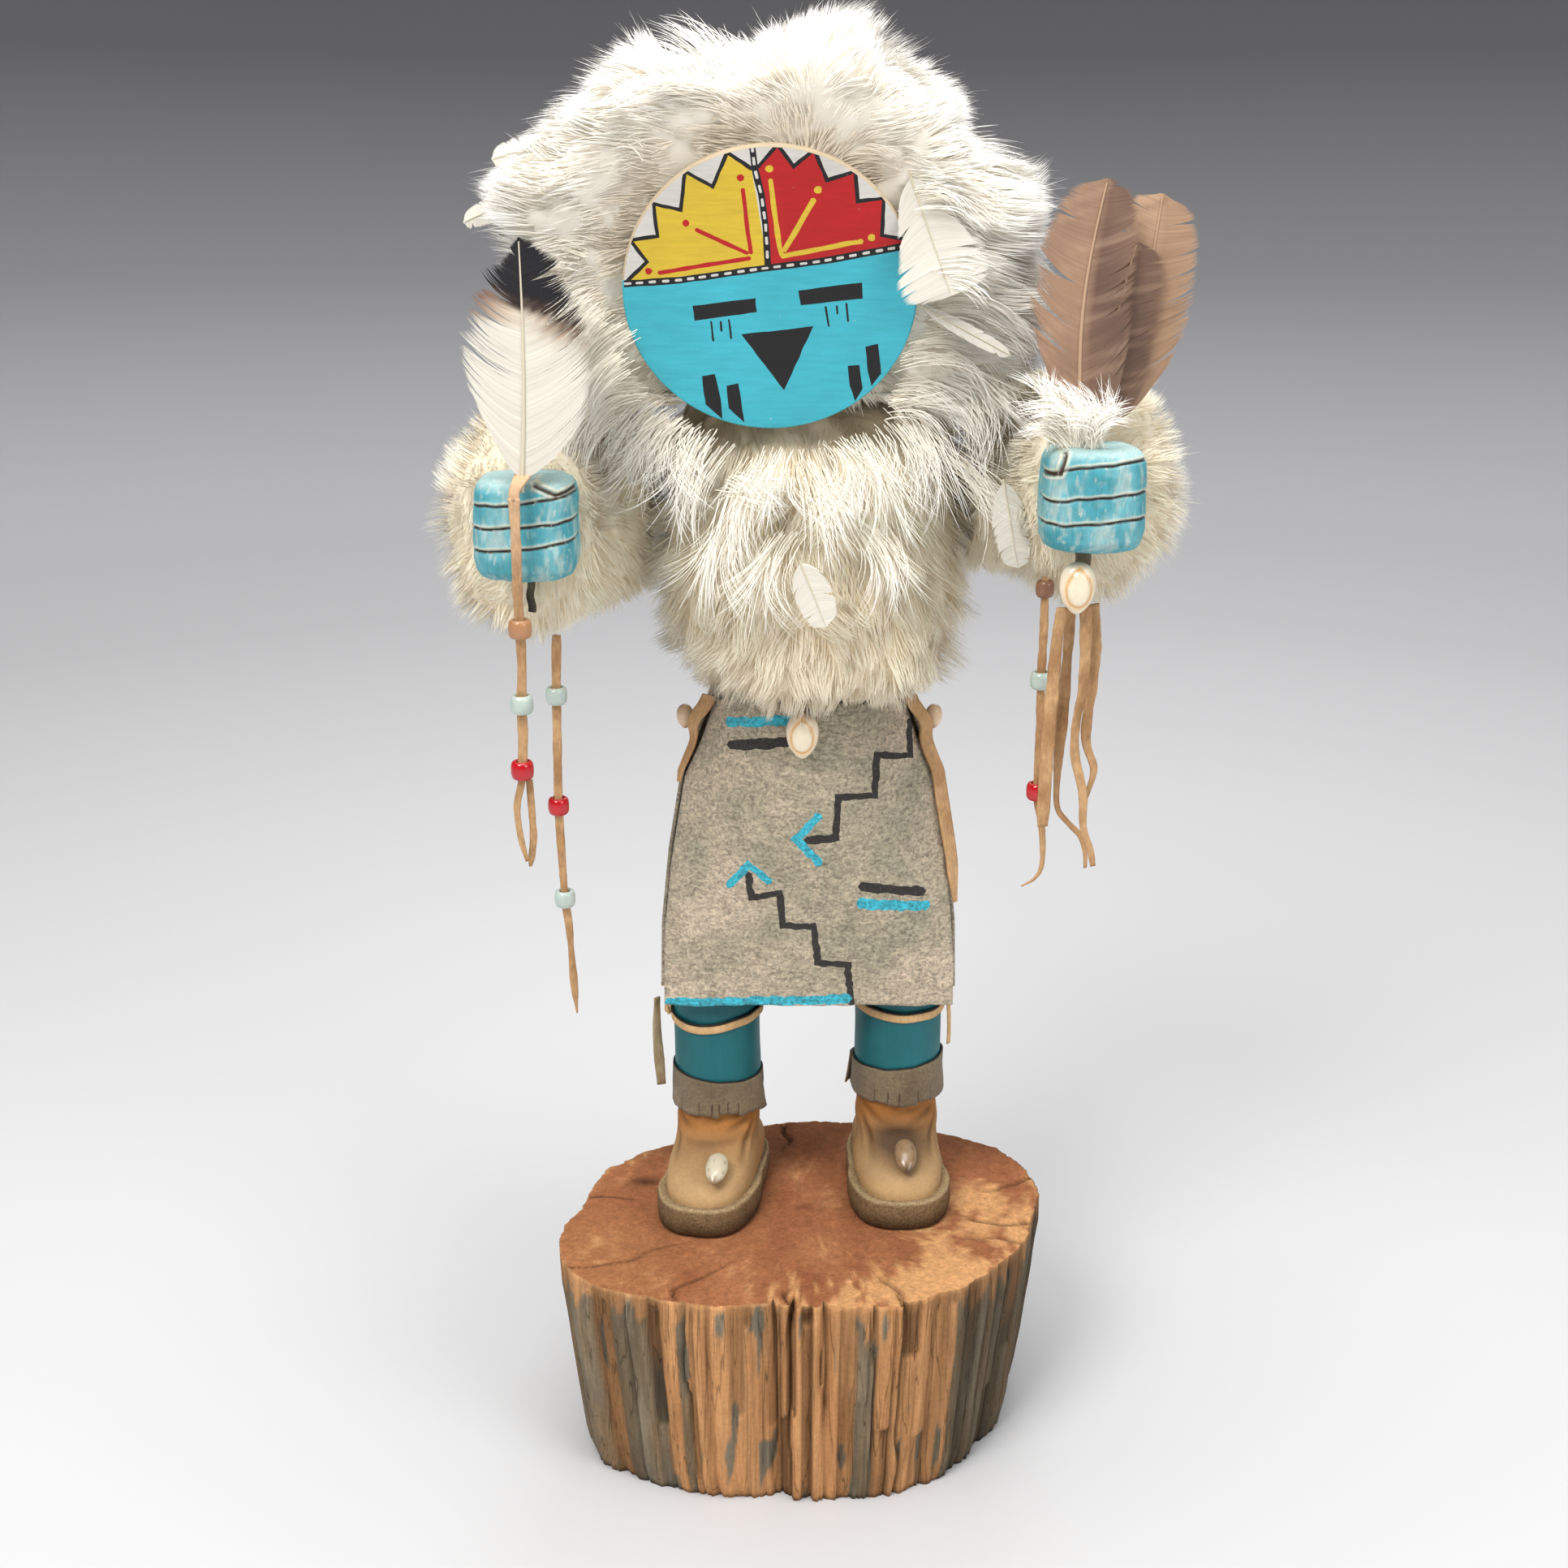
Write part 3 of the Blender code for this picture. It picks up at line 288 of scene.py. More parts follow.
def place(piece, slot, *nodes):
    """The piece rides on the doll and stands for CAD nodes. Its slot is not used."""
    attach(piece, ROOT)
    if nodes:
        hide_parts(*nodes)
    return piece


def grid(rows, columns, closed=True):
    """Quads between rows of points, each row a ring where closed."""
    row = np.arange(rows - 1)[:, None]
    column = np.arange(columns if closed else columns - 1)[None, :]
    after = (column + 1) % columns
    here, above = row * columns, (row + 1) * columns
    corners = (here + column, here + after, above + after, above + column)
    return np.stack(corners, -1).reshape(-1, 4)


def capped(rings):
    """Points and faces of stacked rings (rows, columns, 3), closed by a fan at each end."""
    rows, columns, _ = rings.shape
    points = np.concatenate([rings.reshape(-1, 3), rings[0].mean(0)[None], rings[-1].mean(0)[None]])
    here = np.arange(columns)
    after = (here + 1) % columns
    low = np.stack([np.full(columns, rows * columns), after, here], -1)
    top = (rows - 1) * columns
    high = np.stack([np.full(columns, rows * columns + 1), top + here, top + after], -1)
    return points, [grid(rows, columns), low, high]


def node_tree(node):
    """A tree of a CAD node's faces, for casting rays at."""
    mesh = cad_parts[node].data
    return BVHTree.FromPolygons([v.co for v in mesh.vertices], [tuple(p.vertices) for p in mesh.polygons])


def rounds(node, centre, heights, columns, blur):
    """Radii of a CAD solid about an upright axis, a row a height, smoothed over its facets."""
    tree = node_tree(node)
    angles = turns(columns)
    radii = np.zeros((len(heights), columns))
    for row, z in enumerate(heights):
        start = Vector((centre[0], centre[1], z))
        for column, a in enumerate(angles):
            _, _, _, far = tree.ray_cast(start, Vector((math.cos(a), math.sin(a), 0.0)))
            radii[row, column] = far or radii[row, column - 1]
    return angles, sum(w * np.roll(radii, int(s), axis=1) for s, w in zip(*bell(blur)))


def around(centre, angles, radii, heights):
    """Rings of points from radii about an upright axis."""
    x = centre[0] + radii * np.cos(angles)[None, :]
    y = centre[1] + radii * np.sin(angles)[None, :]
    z = np.broadcast_to(np.asarray(heights, float).reshape(len(radii), -1), radii.shape)
    return np.stack([x, y, z], -1)


def pixel_ray(px, py):
    u = (px - PHOTO / 2) / FOCAL
    v = (PHOTO / 2 - py) / FOCAL
    return Vector((u, math.cos(PITCH) + v * math.sin(PITCH), v * math.cos(PITCH) - math.sin(PITCH)))


def at_depth(px, py, y):
    """The point of a pixel's ray at a depth."""
    ray = pixel_ray(px, py)
    return CAMERA_AT + ray * ((y - CAMERA_AT.y) / ray.y)


# The backdrop's colour at heights in metres, and the lights: name, place, size, power and tint
BACKDROP = (
    (0.0, (222, 222, 223)), (0.10, (204, 204, 206)), (0.34, (155, 155, 157)), (0.62, (109, 108, 110)),
    (1.0, (92, 91, 92)),
)
LIGHTS = (
    ("key", (-0.80, -1.25, 1.75), 0.9, 28.0, (1.0, 0.985, 0.96)),
    ("fill", (1.25, -1.15, 1.15), 1.1, 11.2, (0.98, 0.99, 1.0)),
    ("overhead", (0.0, -0.25, 1.9), 1.3, 25.5, (1.0, 0.99, 0.97)),
    ("back", (0.3, 1.35, 1.25), 0.9, 4.8, (1.0, 1.0, 1.0)),
)
LIT_SPOT = Vector((0.0, 0.0, 0.26))
SKY = (0.93, 0.95, 1.0, 1.0)
SKY_STRENGTH = 0.74


def make_stage():
    """A pale floor that turns up into a grey backdrop all round, soft lights and the camera."""
    floor = Finish("stage_floor", 0.75, 0.2)
    radii = (0.5, 1.0, 1.45, 1.75, 1.95, 2.05, 2.1, 2.1, 2.1)
    heights = (0.0, 0.0, 0.0, 0.03, 0.12, 0.30, 0.6, 1.2, 2.6)
    rows = [on_ring(turns(96), r, z) for r, z in zip(radii, heights)]
    points, faces = capped(np.array(rows))
    stage = build("studio_sweep", points, [faces[0][:, ::-1], faces[1][:, ::-1]], [floor])
    floor.colour(floor.ramp(floor.level(), *((z, linear(*tone)) for z, tone in BACKDROP)))

    for name, spot, size, power, tint in LIGHTS:
        lamp = bpy.data.lights.new(name, "AREA")
        lamp.shape = "DISK"
        lamp.size = size
        lamp.energy = power
        lamp.color = tint
        holder = bpy.data.objects.new(name, lamp)
        holder.location = spot
        holder.rotation_euler = (LIT_SPOT - Vector(spot)).to_track_quat("-Z", "Y").to_euler()
        bpy.context.scene.collection.objects.link(holder)

    world = bpy.data.worlds.new("studio")
    world.use_nodes = True
    sky = world.node_tree.nodes["Background"]
    sky.inputs["Color"].default_value = SKY
    sky.inputs["Strength"].default_value = SKY_STRENGTH
    bpy.context.scene.world = world
    bpy.context.scene.view_settings.view_transform = "Standard"

    camera = bpy.data.cameras.new("camera")
    camera.sensor_width = SENSOR
    camera.lens = SENSOR * FOCAL / PHOTO
    camera.clip_start = 0.01
    holder = bpy.data.objects.new("camera", camera)
    holder.location = CAMERA_AT
    holder.rotation_euler = (math.pi / 2 - PITCH, 0.0, 0.0)
    bpy.context.scene.collection.objects.link(holder)
    bpy.context.scene.camera = holder


LOG_COLUMNS = 500
LOG_ROWS = 40
LOG_RINGS = 25
LOG_HALF = (95, 72)
LOG_MARGIN = 0.4 * MM
# Cracks in the sawn top: degrees, how far in from the rim, depth and width in mm
LOG_TOP_CRACKS = (
    (-95, 0.22, 3.0, 0.9), (-60, 0.34, 2.2, 0.8), (-20, 0.38, 1.6, 0.7), (-8, 0.45, 1.4, 0.8),
    (12, 0.30, 1.8, 0.8), (98, 0.42, 2.4, 0.9), (-152, 0.55, 1.2, 0.6), (-128, 0.50, 1.6, 0.7),
    (176, 0.30, 1.0, 0.6), (60, 0.3, 1.4, 0.8),
)
# Deep splits that run down the side: degrees, depth and width in mm
LOG_SIDE_CRACKS = (
    (-95, 6.0, 0.8), (-85, 3.2, 0.7), (-101, 3.0, 0.6), (-62, 4.0, 0.7), (-70, 2.5, 0.6), (-124, 2.5, 0.6),
)


def log_finish(height):
    """Split and sawn wood: broad colour comes from the points, grain and fibres from here."""
    wood = Finish("log_wood", 0.85, 0.15)
    fibres = wood.noise(0.0006, 6.0, (1.0, 1.0, 0.035), 0.6)
    streaks = wood.noise(0.0022, 5.0, (1.0, 1.0, 0.05), 0.6)
    crumb = wood.noise(0.0008, 5.0, (1.0, 1.0, 1.0), 0.7)
    tone = wood.painted()
    tone = wood.mottle(0.55, tone, fibres, (0.30, 0.66), (0.70, 1.32))
    tone = wood.mottle(0.45, tone, streaks, (0.32, 0.66), (0.66, 1.28))
    tone = wood.mottle(0.30, tone, crumb, (0.30, 0.60), (0.62, 1.32))
    splits = wood.noise(0.0042, 3.0, (1.0, 1.0, 0.012), 0.5)
    lines = wood.ramp(
        splits, (0.468, 1.0), (0.479, 0.30), (0.485, 1.0), (0.558, 1.0), (0.566, 0.35), (0.574, 1.0),
    )
    below = wood.ramp(wood.level(), (height - 0.003, 0.9), (height - 0.0008, 0.0))
    tone = wood.mix(below, tone, lines, "MULTIPLY")
    wood.colour(tone)
    under = wood.bump(fibres, 0.0005, 0.9)
    wood.bump(crumb, 0.0003, 0.6, under)
    return wood


def turned(degrees, marks):
    """How far each direction is from each mark, in degrees, a row a mark."""
    return np.abs((degrees[None, :] - marks[:, None] + 180) % 360 - 180)


def make_log():
    """The slice: sides split along the grain in strips and ledges, a sawn and cracked top."""
    low, high = (np.array(v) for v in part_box("log_base"))
    centre = (low + high) / 2
    height = high[2]
    levels = np.linspace(0.0, 1.0, LOG_ROWS)
    safe = np.clip(levels * height, LOG_MARGIN, height - LOG_MARGIN)
    coarse = np.linspace(LOG_MARGIN, height - LOG_MARGIN, 9)
    angles, few = rounds("log_base", centre, coarse, LOG_COLUMNS, 3)
    radii = np.stack([np.interp(safe, coarse, few[:, c]) for c in range(LOG_COLUMNS)], 1)
    degrees = np.degrees(angles)

    rng = np.random.default_rng(17)
    widths = rng.uniform(1.3, 5.6, 200)
    edges = np.concatenate([[0.0], np.cumsum(widths)])
    edges = edges[edges < 358.5]
    edges = np.append(edges, 360.0)
    strip = np.searchsorted(edges, degrees, side="right") - 1
    across = (degrees - edges[strip]) / (edges[strip + 1] - edges[strip])
    count = len(edges) - 1
    offset = np.clip(rng.normal(0.0, 0.75, count), -1.5, 1.3) * MM
    tilt = rng.uniform(-0.9, 0.9, count) * MM
    groove = rng.uniform(0.3, 1.3, count) * MM
    ledge_at = rng.uniform(0.25, 0.97, count)
    ledge_deep = np.where(rng.random(count) < 0.42, rng.uniform(0.5, 1.9, count), 0.0) * MM
    ledge_side = rng.random(count) < 0.7

    fibre_at = np.stack(np.broadcast_arrays(
        np.cos(angles) * LOG_HALF[0], np.sin(angles) * LOG_HALF[1], safe[:, None] / MM * 0.07,
    ), -1)
    fibre, wave, jag = (noise(fibre_at, size, seed) for size, seed in ((0.9, 3), (7.0, 5), (1.3, 9)))

    share = levels[:, None]
    step = ledge_at[strip][None, :] + 0.02 * jag
    broken = np.where(ledge_side[strip][None, :], share > step, share < 0.6 * step)
    dent = ledge_deep[strip][None, :] * broken
    body = offset[strip][None, :] + tilt[strip][None, :] * (across[None, :] - 0.5) - dent
    cut = groove[strip][None, :] * np.exp(-((np.minimum(across, 1 - across)[None, :] / 0.10) ** 2))
    deep = np.zeros_like(radii)
    for at, depth, width in LOG_SIDE_CRACKS:
        drift = at + noise(np.stack([0 * levels, 0 * levels, levels * 6], -1), 1.0, 40 + int(at))
        mm_away = np.radians(turned(degrees, drift)) * 80
        deep = np.maximum(deep, depth * np.exp(-((mm_away / width) ** 2)) * (0.45 + 0.55 * share))
    fade = np.minimum(1.0, 8 * (1 - share) + 0.35)
    out = (body - cut) * fade + 0.22 * MM * fibre + 0.9 * MM * wave - deep * MM
    rim_chip = np.clip(jag, 0, 1) * 1.0 * MM * np.exp(-((1 - share) / 0.03) ** 2)
    foot = (0.7 + 0.8 * np.clip(jag, -1, 1)) * MM * np.exp(-(share / 0.03) ** 2)
    side = around(centre, angles, radii + out - rim_chip - foot, levels * height)
    side[0, :, 2] = 0.0
    side[-1, :, 2] -= 0.5 * MM

    rim = side[-1]
    shares = 1 - np.linspace(0.0, 1.0, LOG_RINGS + 1)[1:-1] ** 1.5
    middle = np.array((centre[0], centre[1], height))
    top = middle[None, None] + shares[:, None, None] * (rim - middle)[None]
    reach = np.linalg.norm(top[..., :2] - centre[:2], axis=-1)
    sink = np.zeros(reach.shape)
    crack_shade = np.zeros(reach.shape)
    for at, far, depth, width in LOG_TOP_CRACKS:
        wander = at + 3.5 * noise(along_x(shares * 9), 1.0, 60 + at)
        mm_away = np.radians(turned(degrees, wander)) * reach / MM
        line = np.exp(-((mm_away / width) ** 2)) * smooth_step(shares, 1 - far, 1 - 0.4 * far)[:, None]
        sink = np.maximum(sink, depth * line)
        crack_shade = np.maximum(crack_shade, line)
    flat = top / MM
    uneven = 0.16 * noise(flat, 5.0, 21) + 0.08 * noise(flat * np.array((1, 4, 1)), 2.0, 22)
    edge_worn = smooth_step(shares, 0.93, 1.0)[:, None] * (0.5 + 0.5 * noise(flat, 3.0, 23))
    top[..., 2] = height - 0.25 * MM + (uneven - sink - 0.8 * edge_worn) * MM
    points, faces = capped(np.concatenate([side, top]))
    points[-1, 2] = height - 0.25 * MM
    points[-2, 2] = 0.0

    fresh_a = smooth_step(-np.abs((degrees + 88 + 180) % 360 - 180), -52, -30)
    fresh_strip = rng.random(count)[strip] < (0.10 + 0.85 * fresh_a)
    lift = noise(fibre_at, 2.2, 31)
    patchy = noise(fibre_at * np.array((1, 1, 2.5)), 3.5, 33)
    fresh = np.where(fresh_strip[None, :], smooth_step(patchy, -0.62, -0.54), 0.0)
    fresh = np.maximum(fresh, broken * (dent > 0.4 * MM) * smooth_step(share, 0.55, 0.8) * 0.9)
    fresh = np.maximum(fresh, smooth_step(share + 0.10 * patchy + 0.05 * jag, 0.88, 0.92) * 0.85)
    orange = blend(0.5 + 0.5 * lift, linear(192, 136, 88), linear(230, 172, 118))
    grey = blend(0.5 + 0.5 * lift, linear(108, 101, 88), linear(158, 147, 126))
    warm_grey = blend(0.5 + 0.5 * patchy, grey, linear(150, 122, 88))
    tone = blend(fresh, warm_grey, orange)
    # Painted shade: the sides are darker where they are cut in deeper.
    hollow_shade = np.clip((-(out - 0.9 * MM * wave)) / (2.2 * MM), 0, 1) ** 0.8
    tone = tone * (1 - 0.72 * hollow_shade[..., None])
    # Painted shade: the side towards +X, away from the key light, is darker.
    tone = tone * (1 - 0.38 * smooth_step(np.cos(angles), 0.45, 0.85))[None, :, None]
    # Painted shade: the sides darken just above the floor.
    tone = tone * (1 - 0.55 * np.exp(-(share / 0.02) ** 2))[..., None]

    x, y = top[..., 0] / MM, top[..., 1] / MM
    spots = rough_noise(flat * np.array((1.0, 0.45, 1.0)), 9.0, 51)
    fine = rough_noise(flat * np.array((1.0, 0.35, 1.0)), 2.4, 55)
    right = smooth_step(x, 25, 70) * smooth_step(-y, -30, 10)
    front = smooth_step(-y, 42, 66) * smooth_step(x, -25, 5)
    left = smooth_step(-x, 30, 62) * smooth_step(-y, 0, 30)
    pale = np.clip(1.5 * right + 1.6 * front + 0.45 * left + 1.1 * spots + 1.0 * fine - 0.85, 0, 1)
    base = blend(0.5 + 0.5 * spots, linear(158, 98, 64), linear(186, 124, 84))
    base = blend(0.8 * left, base, linear(178, 120, 78))
    cut_top = blend(pale, base, linear(222, 166, 112))
    # Painted shade: the top darkens towards its back, behind the figure.
    behind = smooth_step(y, 18, 48)[..., None]
    cut_top = cut_top * (1 - 0.35 * behind)
    # Painted shade in the top's cracks.
    cut_top = cut_top * (1 - 0.8 * crack_shade)[..., None]
    # Painted shade of a small pit, which the top's shape does not have.
    pit_shade = np.exp(-(((x + 56) / 6) ** 2 + ((y - 12) / 3.5) ** 2))
    cut_top = cut_top * (1 - 0.75 * pit_shade)[..., None]
    tones = np.concatenate([tone, cut_top]).reshape(-1, 3)
    # The fans' middles: a dark painted shade under the log, and the sawn top's brown.
    tones = np.concatenate([tones, [linear(60, 42, 30), linear(140, 84, 56)]])
    piece = build("log_slice", points, faces, [log_finish(height)], tones)
    return place(piece, "wood", "log_base")


class Solid:
    """A CAD node's measures: its middle, its own axes from long to short, and its size along them."""

    def __init__(self, node):
        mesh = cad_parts[node].data
        self.points = np.array([tuple(v.co) for v in mesh.vertices])
        low, high = self.points.min(0), self.points.max(0)
        self.low, self.high = low, high
        self.middle = (low + high) / 2
        _, _, axes = np.linalg.svd(self.points - self.points.mean(0), full_matrices=False)
        self.axes = axes
        along = (self.points - self.middle) @ axes.T
        self.middle = self.middle + ((along.min(0) + along.max(0)) / 2) @ axes
        self.size = along.max(0) - along.min(0)

    def sections(self, step=0.2 * MM):
        """(height, middle, half width) of each level of points."""
        heights = np.unique(np.round(self.points[:, 2] / step)) * step
        found = []
        for z in heights:
            level = self.points[np.abs(self.points[:, 2] - z) < step]
            low, high = level.min(0), level.max(0)
            found.append((float(level[:, 2].mean()), (low + high) / 2, (high - low) / 2))
        return found


def drawn(points, spacing, wobble, seed, closed):
    """A hand-drawn line: points along it, a little unsteady."""
    corners = [np.asarray(p, float) for p in points]
    if closed:
        corners.append(corners[0])
    line = []
    for a, b in zip(corners, corners[1:]):
        steps = max(1, round(float(np.linalg.norm(b - a)) / spacing))
        line += [a + (b - a) * k / steps for k in range(steps)]
    if not closed:
        line.append(corners[-1])
    line = np.array(line)
    at = np.pad(line, ((0, 0), (0, 1)))
    shift = np.stack([noise(at, 3.0 * spacing, seed + k) for k in (0, 1)], 1)
    return line + wobble * shift


def stroke(points, width, seed, spacing=1.2, wobble=0.10, uneven=0.16):
    """A brush stroke's outline along a line, with blunt round ends."""
    line = drawn(points, spacing, wobble, seed, False)
    before = unit(np.concatenate([line[1:2] - line[:1], np.diff(line, axis=0)]))
    after = unit(np.concatenate([np.diff(line, axis=0), line[-1:] - line[-2:-1]]))
    along = unit(before + after)
    side = np.stack([-along[:, 1], along[:, 0]], 1)
    lean = np.clip(np.abs((along * before).sum(1)), 0.62, 1.0)
    at = np.pad(line, ((0, 0), (0, 1)))
    half = width / 2 * (1 + uneven * noise(at, 2.5 * spacing, seed + 7)) / lean
    left = line + side * half[:, None]
    right = line - side * half[:, None]
    start = line[0] - along[0] * width * 0.32
    end = line[-1] + along[-1] * width * 0.32
    return np.concatenate([[start], left, [end], right[::-1]])


def patch(points, seed, wobble=0.12, spacing=1.0):
    return drawn(points, spacing, wobble, seed, True)


def disc(middle, radius, seed):
    at = on_ring(turns(16), 1.0, seed)
    return np.asarray(middle) + (radius * (1 + 0.12 * noise(at, 0.9, seed)))[:, None] * at[:, :2]


def winds(outline, spots):
    """Which spots an outline winds round."""
    a, b = outline, np.roll(outline, -1, axis=0)
    found = np.zeros(len(spots), bool)
    low, high = outline.min(0), outline.max(0)
    near = np.where(np.all((spots >= low) & (spots <= high), axis=1))[0]
    y = spots[near, 1][:, None]
    x = spots[near, 0][:, None]
    cross = (b[:, 0] - a[:, 0]) * (y - a[:, 1]) - (x - a[:, 0]) * (b[:, 1] - a[:, 1])
    rising = (a[:, 1] <= y) & (b[:, 1] > y) & (cross > 0)
    falling = (a[:, 1] > y) & (b[:, 1] <= y) & (cross < 0)
    found[near] = (rising.sum(1) - falling.sum(1)) != 0
    return found


def tessellate(outline, layers, spacing):
    """Flat triangles inside an outline that follow each layer's edge, and whose paint each takes."""
    rng = np.random.default_rng(5)
    low, high = outline.min(0), outline.max(0)
    xs = np.arange(low[0] + spacing / 2, high[0], spacing)
    ys = np.arange(low[1] + spacing / 2, high[1], spacing)
    inner = np.stack(np.meshgrid(xs, ys), -1).reshape(-1, 2)
    inner = inner + rng.uniform(-0.2, 0.2, inner.shape) * spacing
    inner = inner[winds(outline, inner)]
    points, edges = [], []
    for loop in [outline] + [shape for shape, _ in layers]:
        first = len(points)
        points += [Vector(p) for p in loop.tolist()]
        edges += [(first + k, first + (k + 1) % len(loop)) for k in range(len(loop))]
    points += [Vector(p) for p in inner.tolist()]
    flat, _, faces, _, _, _ = delaunay_2d_cdt(points, edges, [], 0, 1e-5)
    flat = np.array([tuple(p) for p in flat])
    faces = np.array([tuple(f) for f in faces if len(f) == 3])
    middles = flat[faces].mean(1)
    keep = winds(outline, middles)
    faces, middles = faces[keep], middles[keep]
    turn = np.cross(flat[faces[:, 1]] - flat[faces[:, 0]], flat[faces[:, 2]] - flat[faces[:, 0]])
    whole = np.abs(turn) > 1e-7
    faces, middles, turn = faces[whole], middles[whole], turn[whole]
    faces = np.where(turn[:, None] < 0, faces[:, ::-1], faces)
    which = np.zeros(len(faces), np.int32)
    for shape, paint in layers:
        which[winds(shape, middles)] = paint
    used = np.unique(faces)
    renumber = np.zeros(len(flat), int)
    renumber[used] = np.arange(len(used))
    return flat[used], renumber[faces], which


# The mask's paint, as pixels of the photograph
MASK_BAND = (
    (767, 350), (839, 345), (903, 336), (946, 330), (1005, 323), (1056, 314), (1115, 303), (1136, 298),
)
MASK_POST = ((926, 176), (930, 208), (938, 239), (943, 275), (945, 303), (946, 328))
MASK_YELLOW = (
    (774, 345), (797, 323), (777, 296), (810, 291), (805, 251), (839, 259), (844, 211), (878, 230),
    (896, 188), (926, 208),
)
MASK_RED = (
    (934, 206), (958, 178), (978, 205), (1003, 184), (1019, 222), (1054, 211), (1057, 248), (1089, 244),
    (1087, 290), (1115, 295),
)
MASK_RED_LINES = (((915, 233), (921, 282), (925, 312)), ((858, 283), (921, 312)), ((812, 336), (924, 318)))
MASK_YELLOW_LINES = (
    ((949, 222), (960, 303), (963, 314)), ((1003, 246), (966, 309)), ((1062, 297), (963, 316)),
)
MASK_RED_DOTS = ((912, 219), (845, 275), (799, 334))
MASK_YELLOW_DOTS = ((948, 208), (1008, 234), (1074, 293))
MASK_EYES = (
    ((853, 377), (931, 367), (932, 385), (856, 395)),
    ((984, 358), (1062, 348), (1063, 368), (986, 376)),
)
MASK_LASHES = (
    ((876, 396), (879, 420)), ((888, 396), (889, 408)), ((898, 394), (901, 417)),
    ((1017, 378), (1021, 402)), ((1031, 377), (1032, 387)), ((1043, 374), (1045, 396)),
)
MASK_MOUTH = ((913, 412), (1002, 402), (966, 481))
MASK_CHEEKS = (
    ((865, 463), (881, 461), (888, 492), (890, 516), (869, 498)),
    ((895, 475), (910, 472), (917, 521), (898, 503)),
    ((1044, 451), (1059, 450), (1063, 478), (1054, 495), (1047, 476)),
    ((1066, 427), (1082, 424), (1086, 460), (1074, 476), (1069, 458)),
)
MASK_BEVEL = 0.55


def paint_finish(name, colour, roughness=0.42):
    """Brushed paint on carved wood: faint strokes, specks and a low sheen."""
    paint = Finish(name, roughness, 0.4)
    strokes = paint.noise(0.0007, 4.0, (0.12, 1.0, 1.0), 0.6)
    blotch = paint.noise(0.012, 3.0)
    specks = paint.noise(0.0009, 2.0, (1.0, 1.0, 1.0), 0.5)
    tone = paint.mottle(0.16, colour, strokes, (0.30, 0.35), (0.70, 1.35))
    tone = paint.mottle(0.18, tone, blotch, (0.35, 0.65), (0.65, 1.20))
    tone = paint.mix(paint.ramp(specks, (0.750, 0.0), (0.800, 0.30)), tone, linear(226, 236, 236))
    paint.colour(tone)
    under = paint.bump(strokes, 0.00018, 0.6)
    paint.bump(specks, 0.00015, 0.35, under)
    return paint


MASK_PAINTS = (
    ("cyan", CYAN), ("white", WHITE), ("yellow", YELLOW), ("red", RED), ("black", BLACK, 0.5),
    ("bare_edge", linear(224, 204, 172), 0.7),
)
# How far below the solid's middle the painted disc sits in its own plane, in mm
MASK_DROP = 1.6


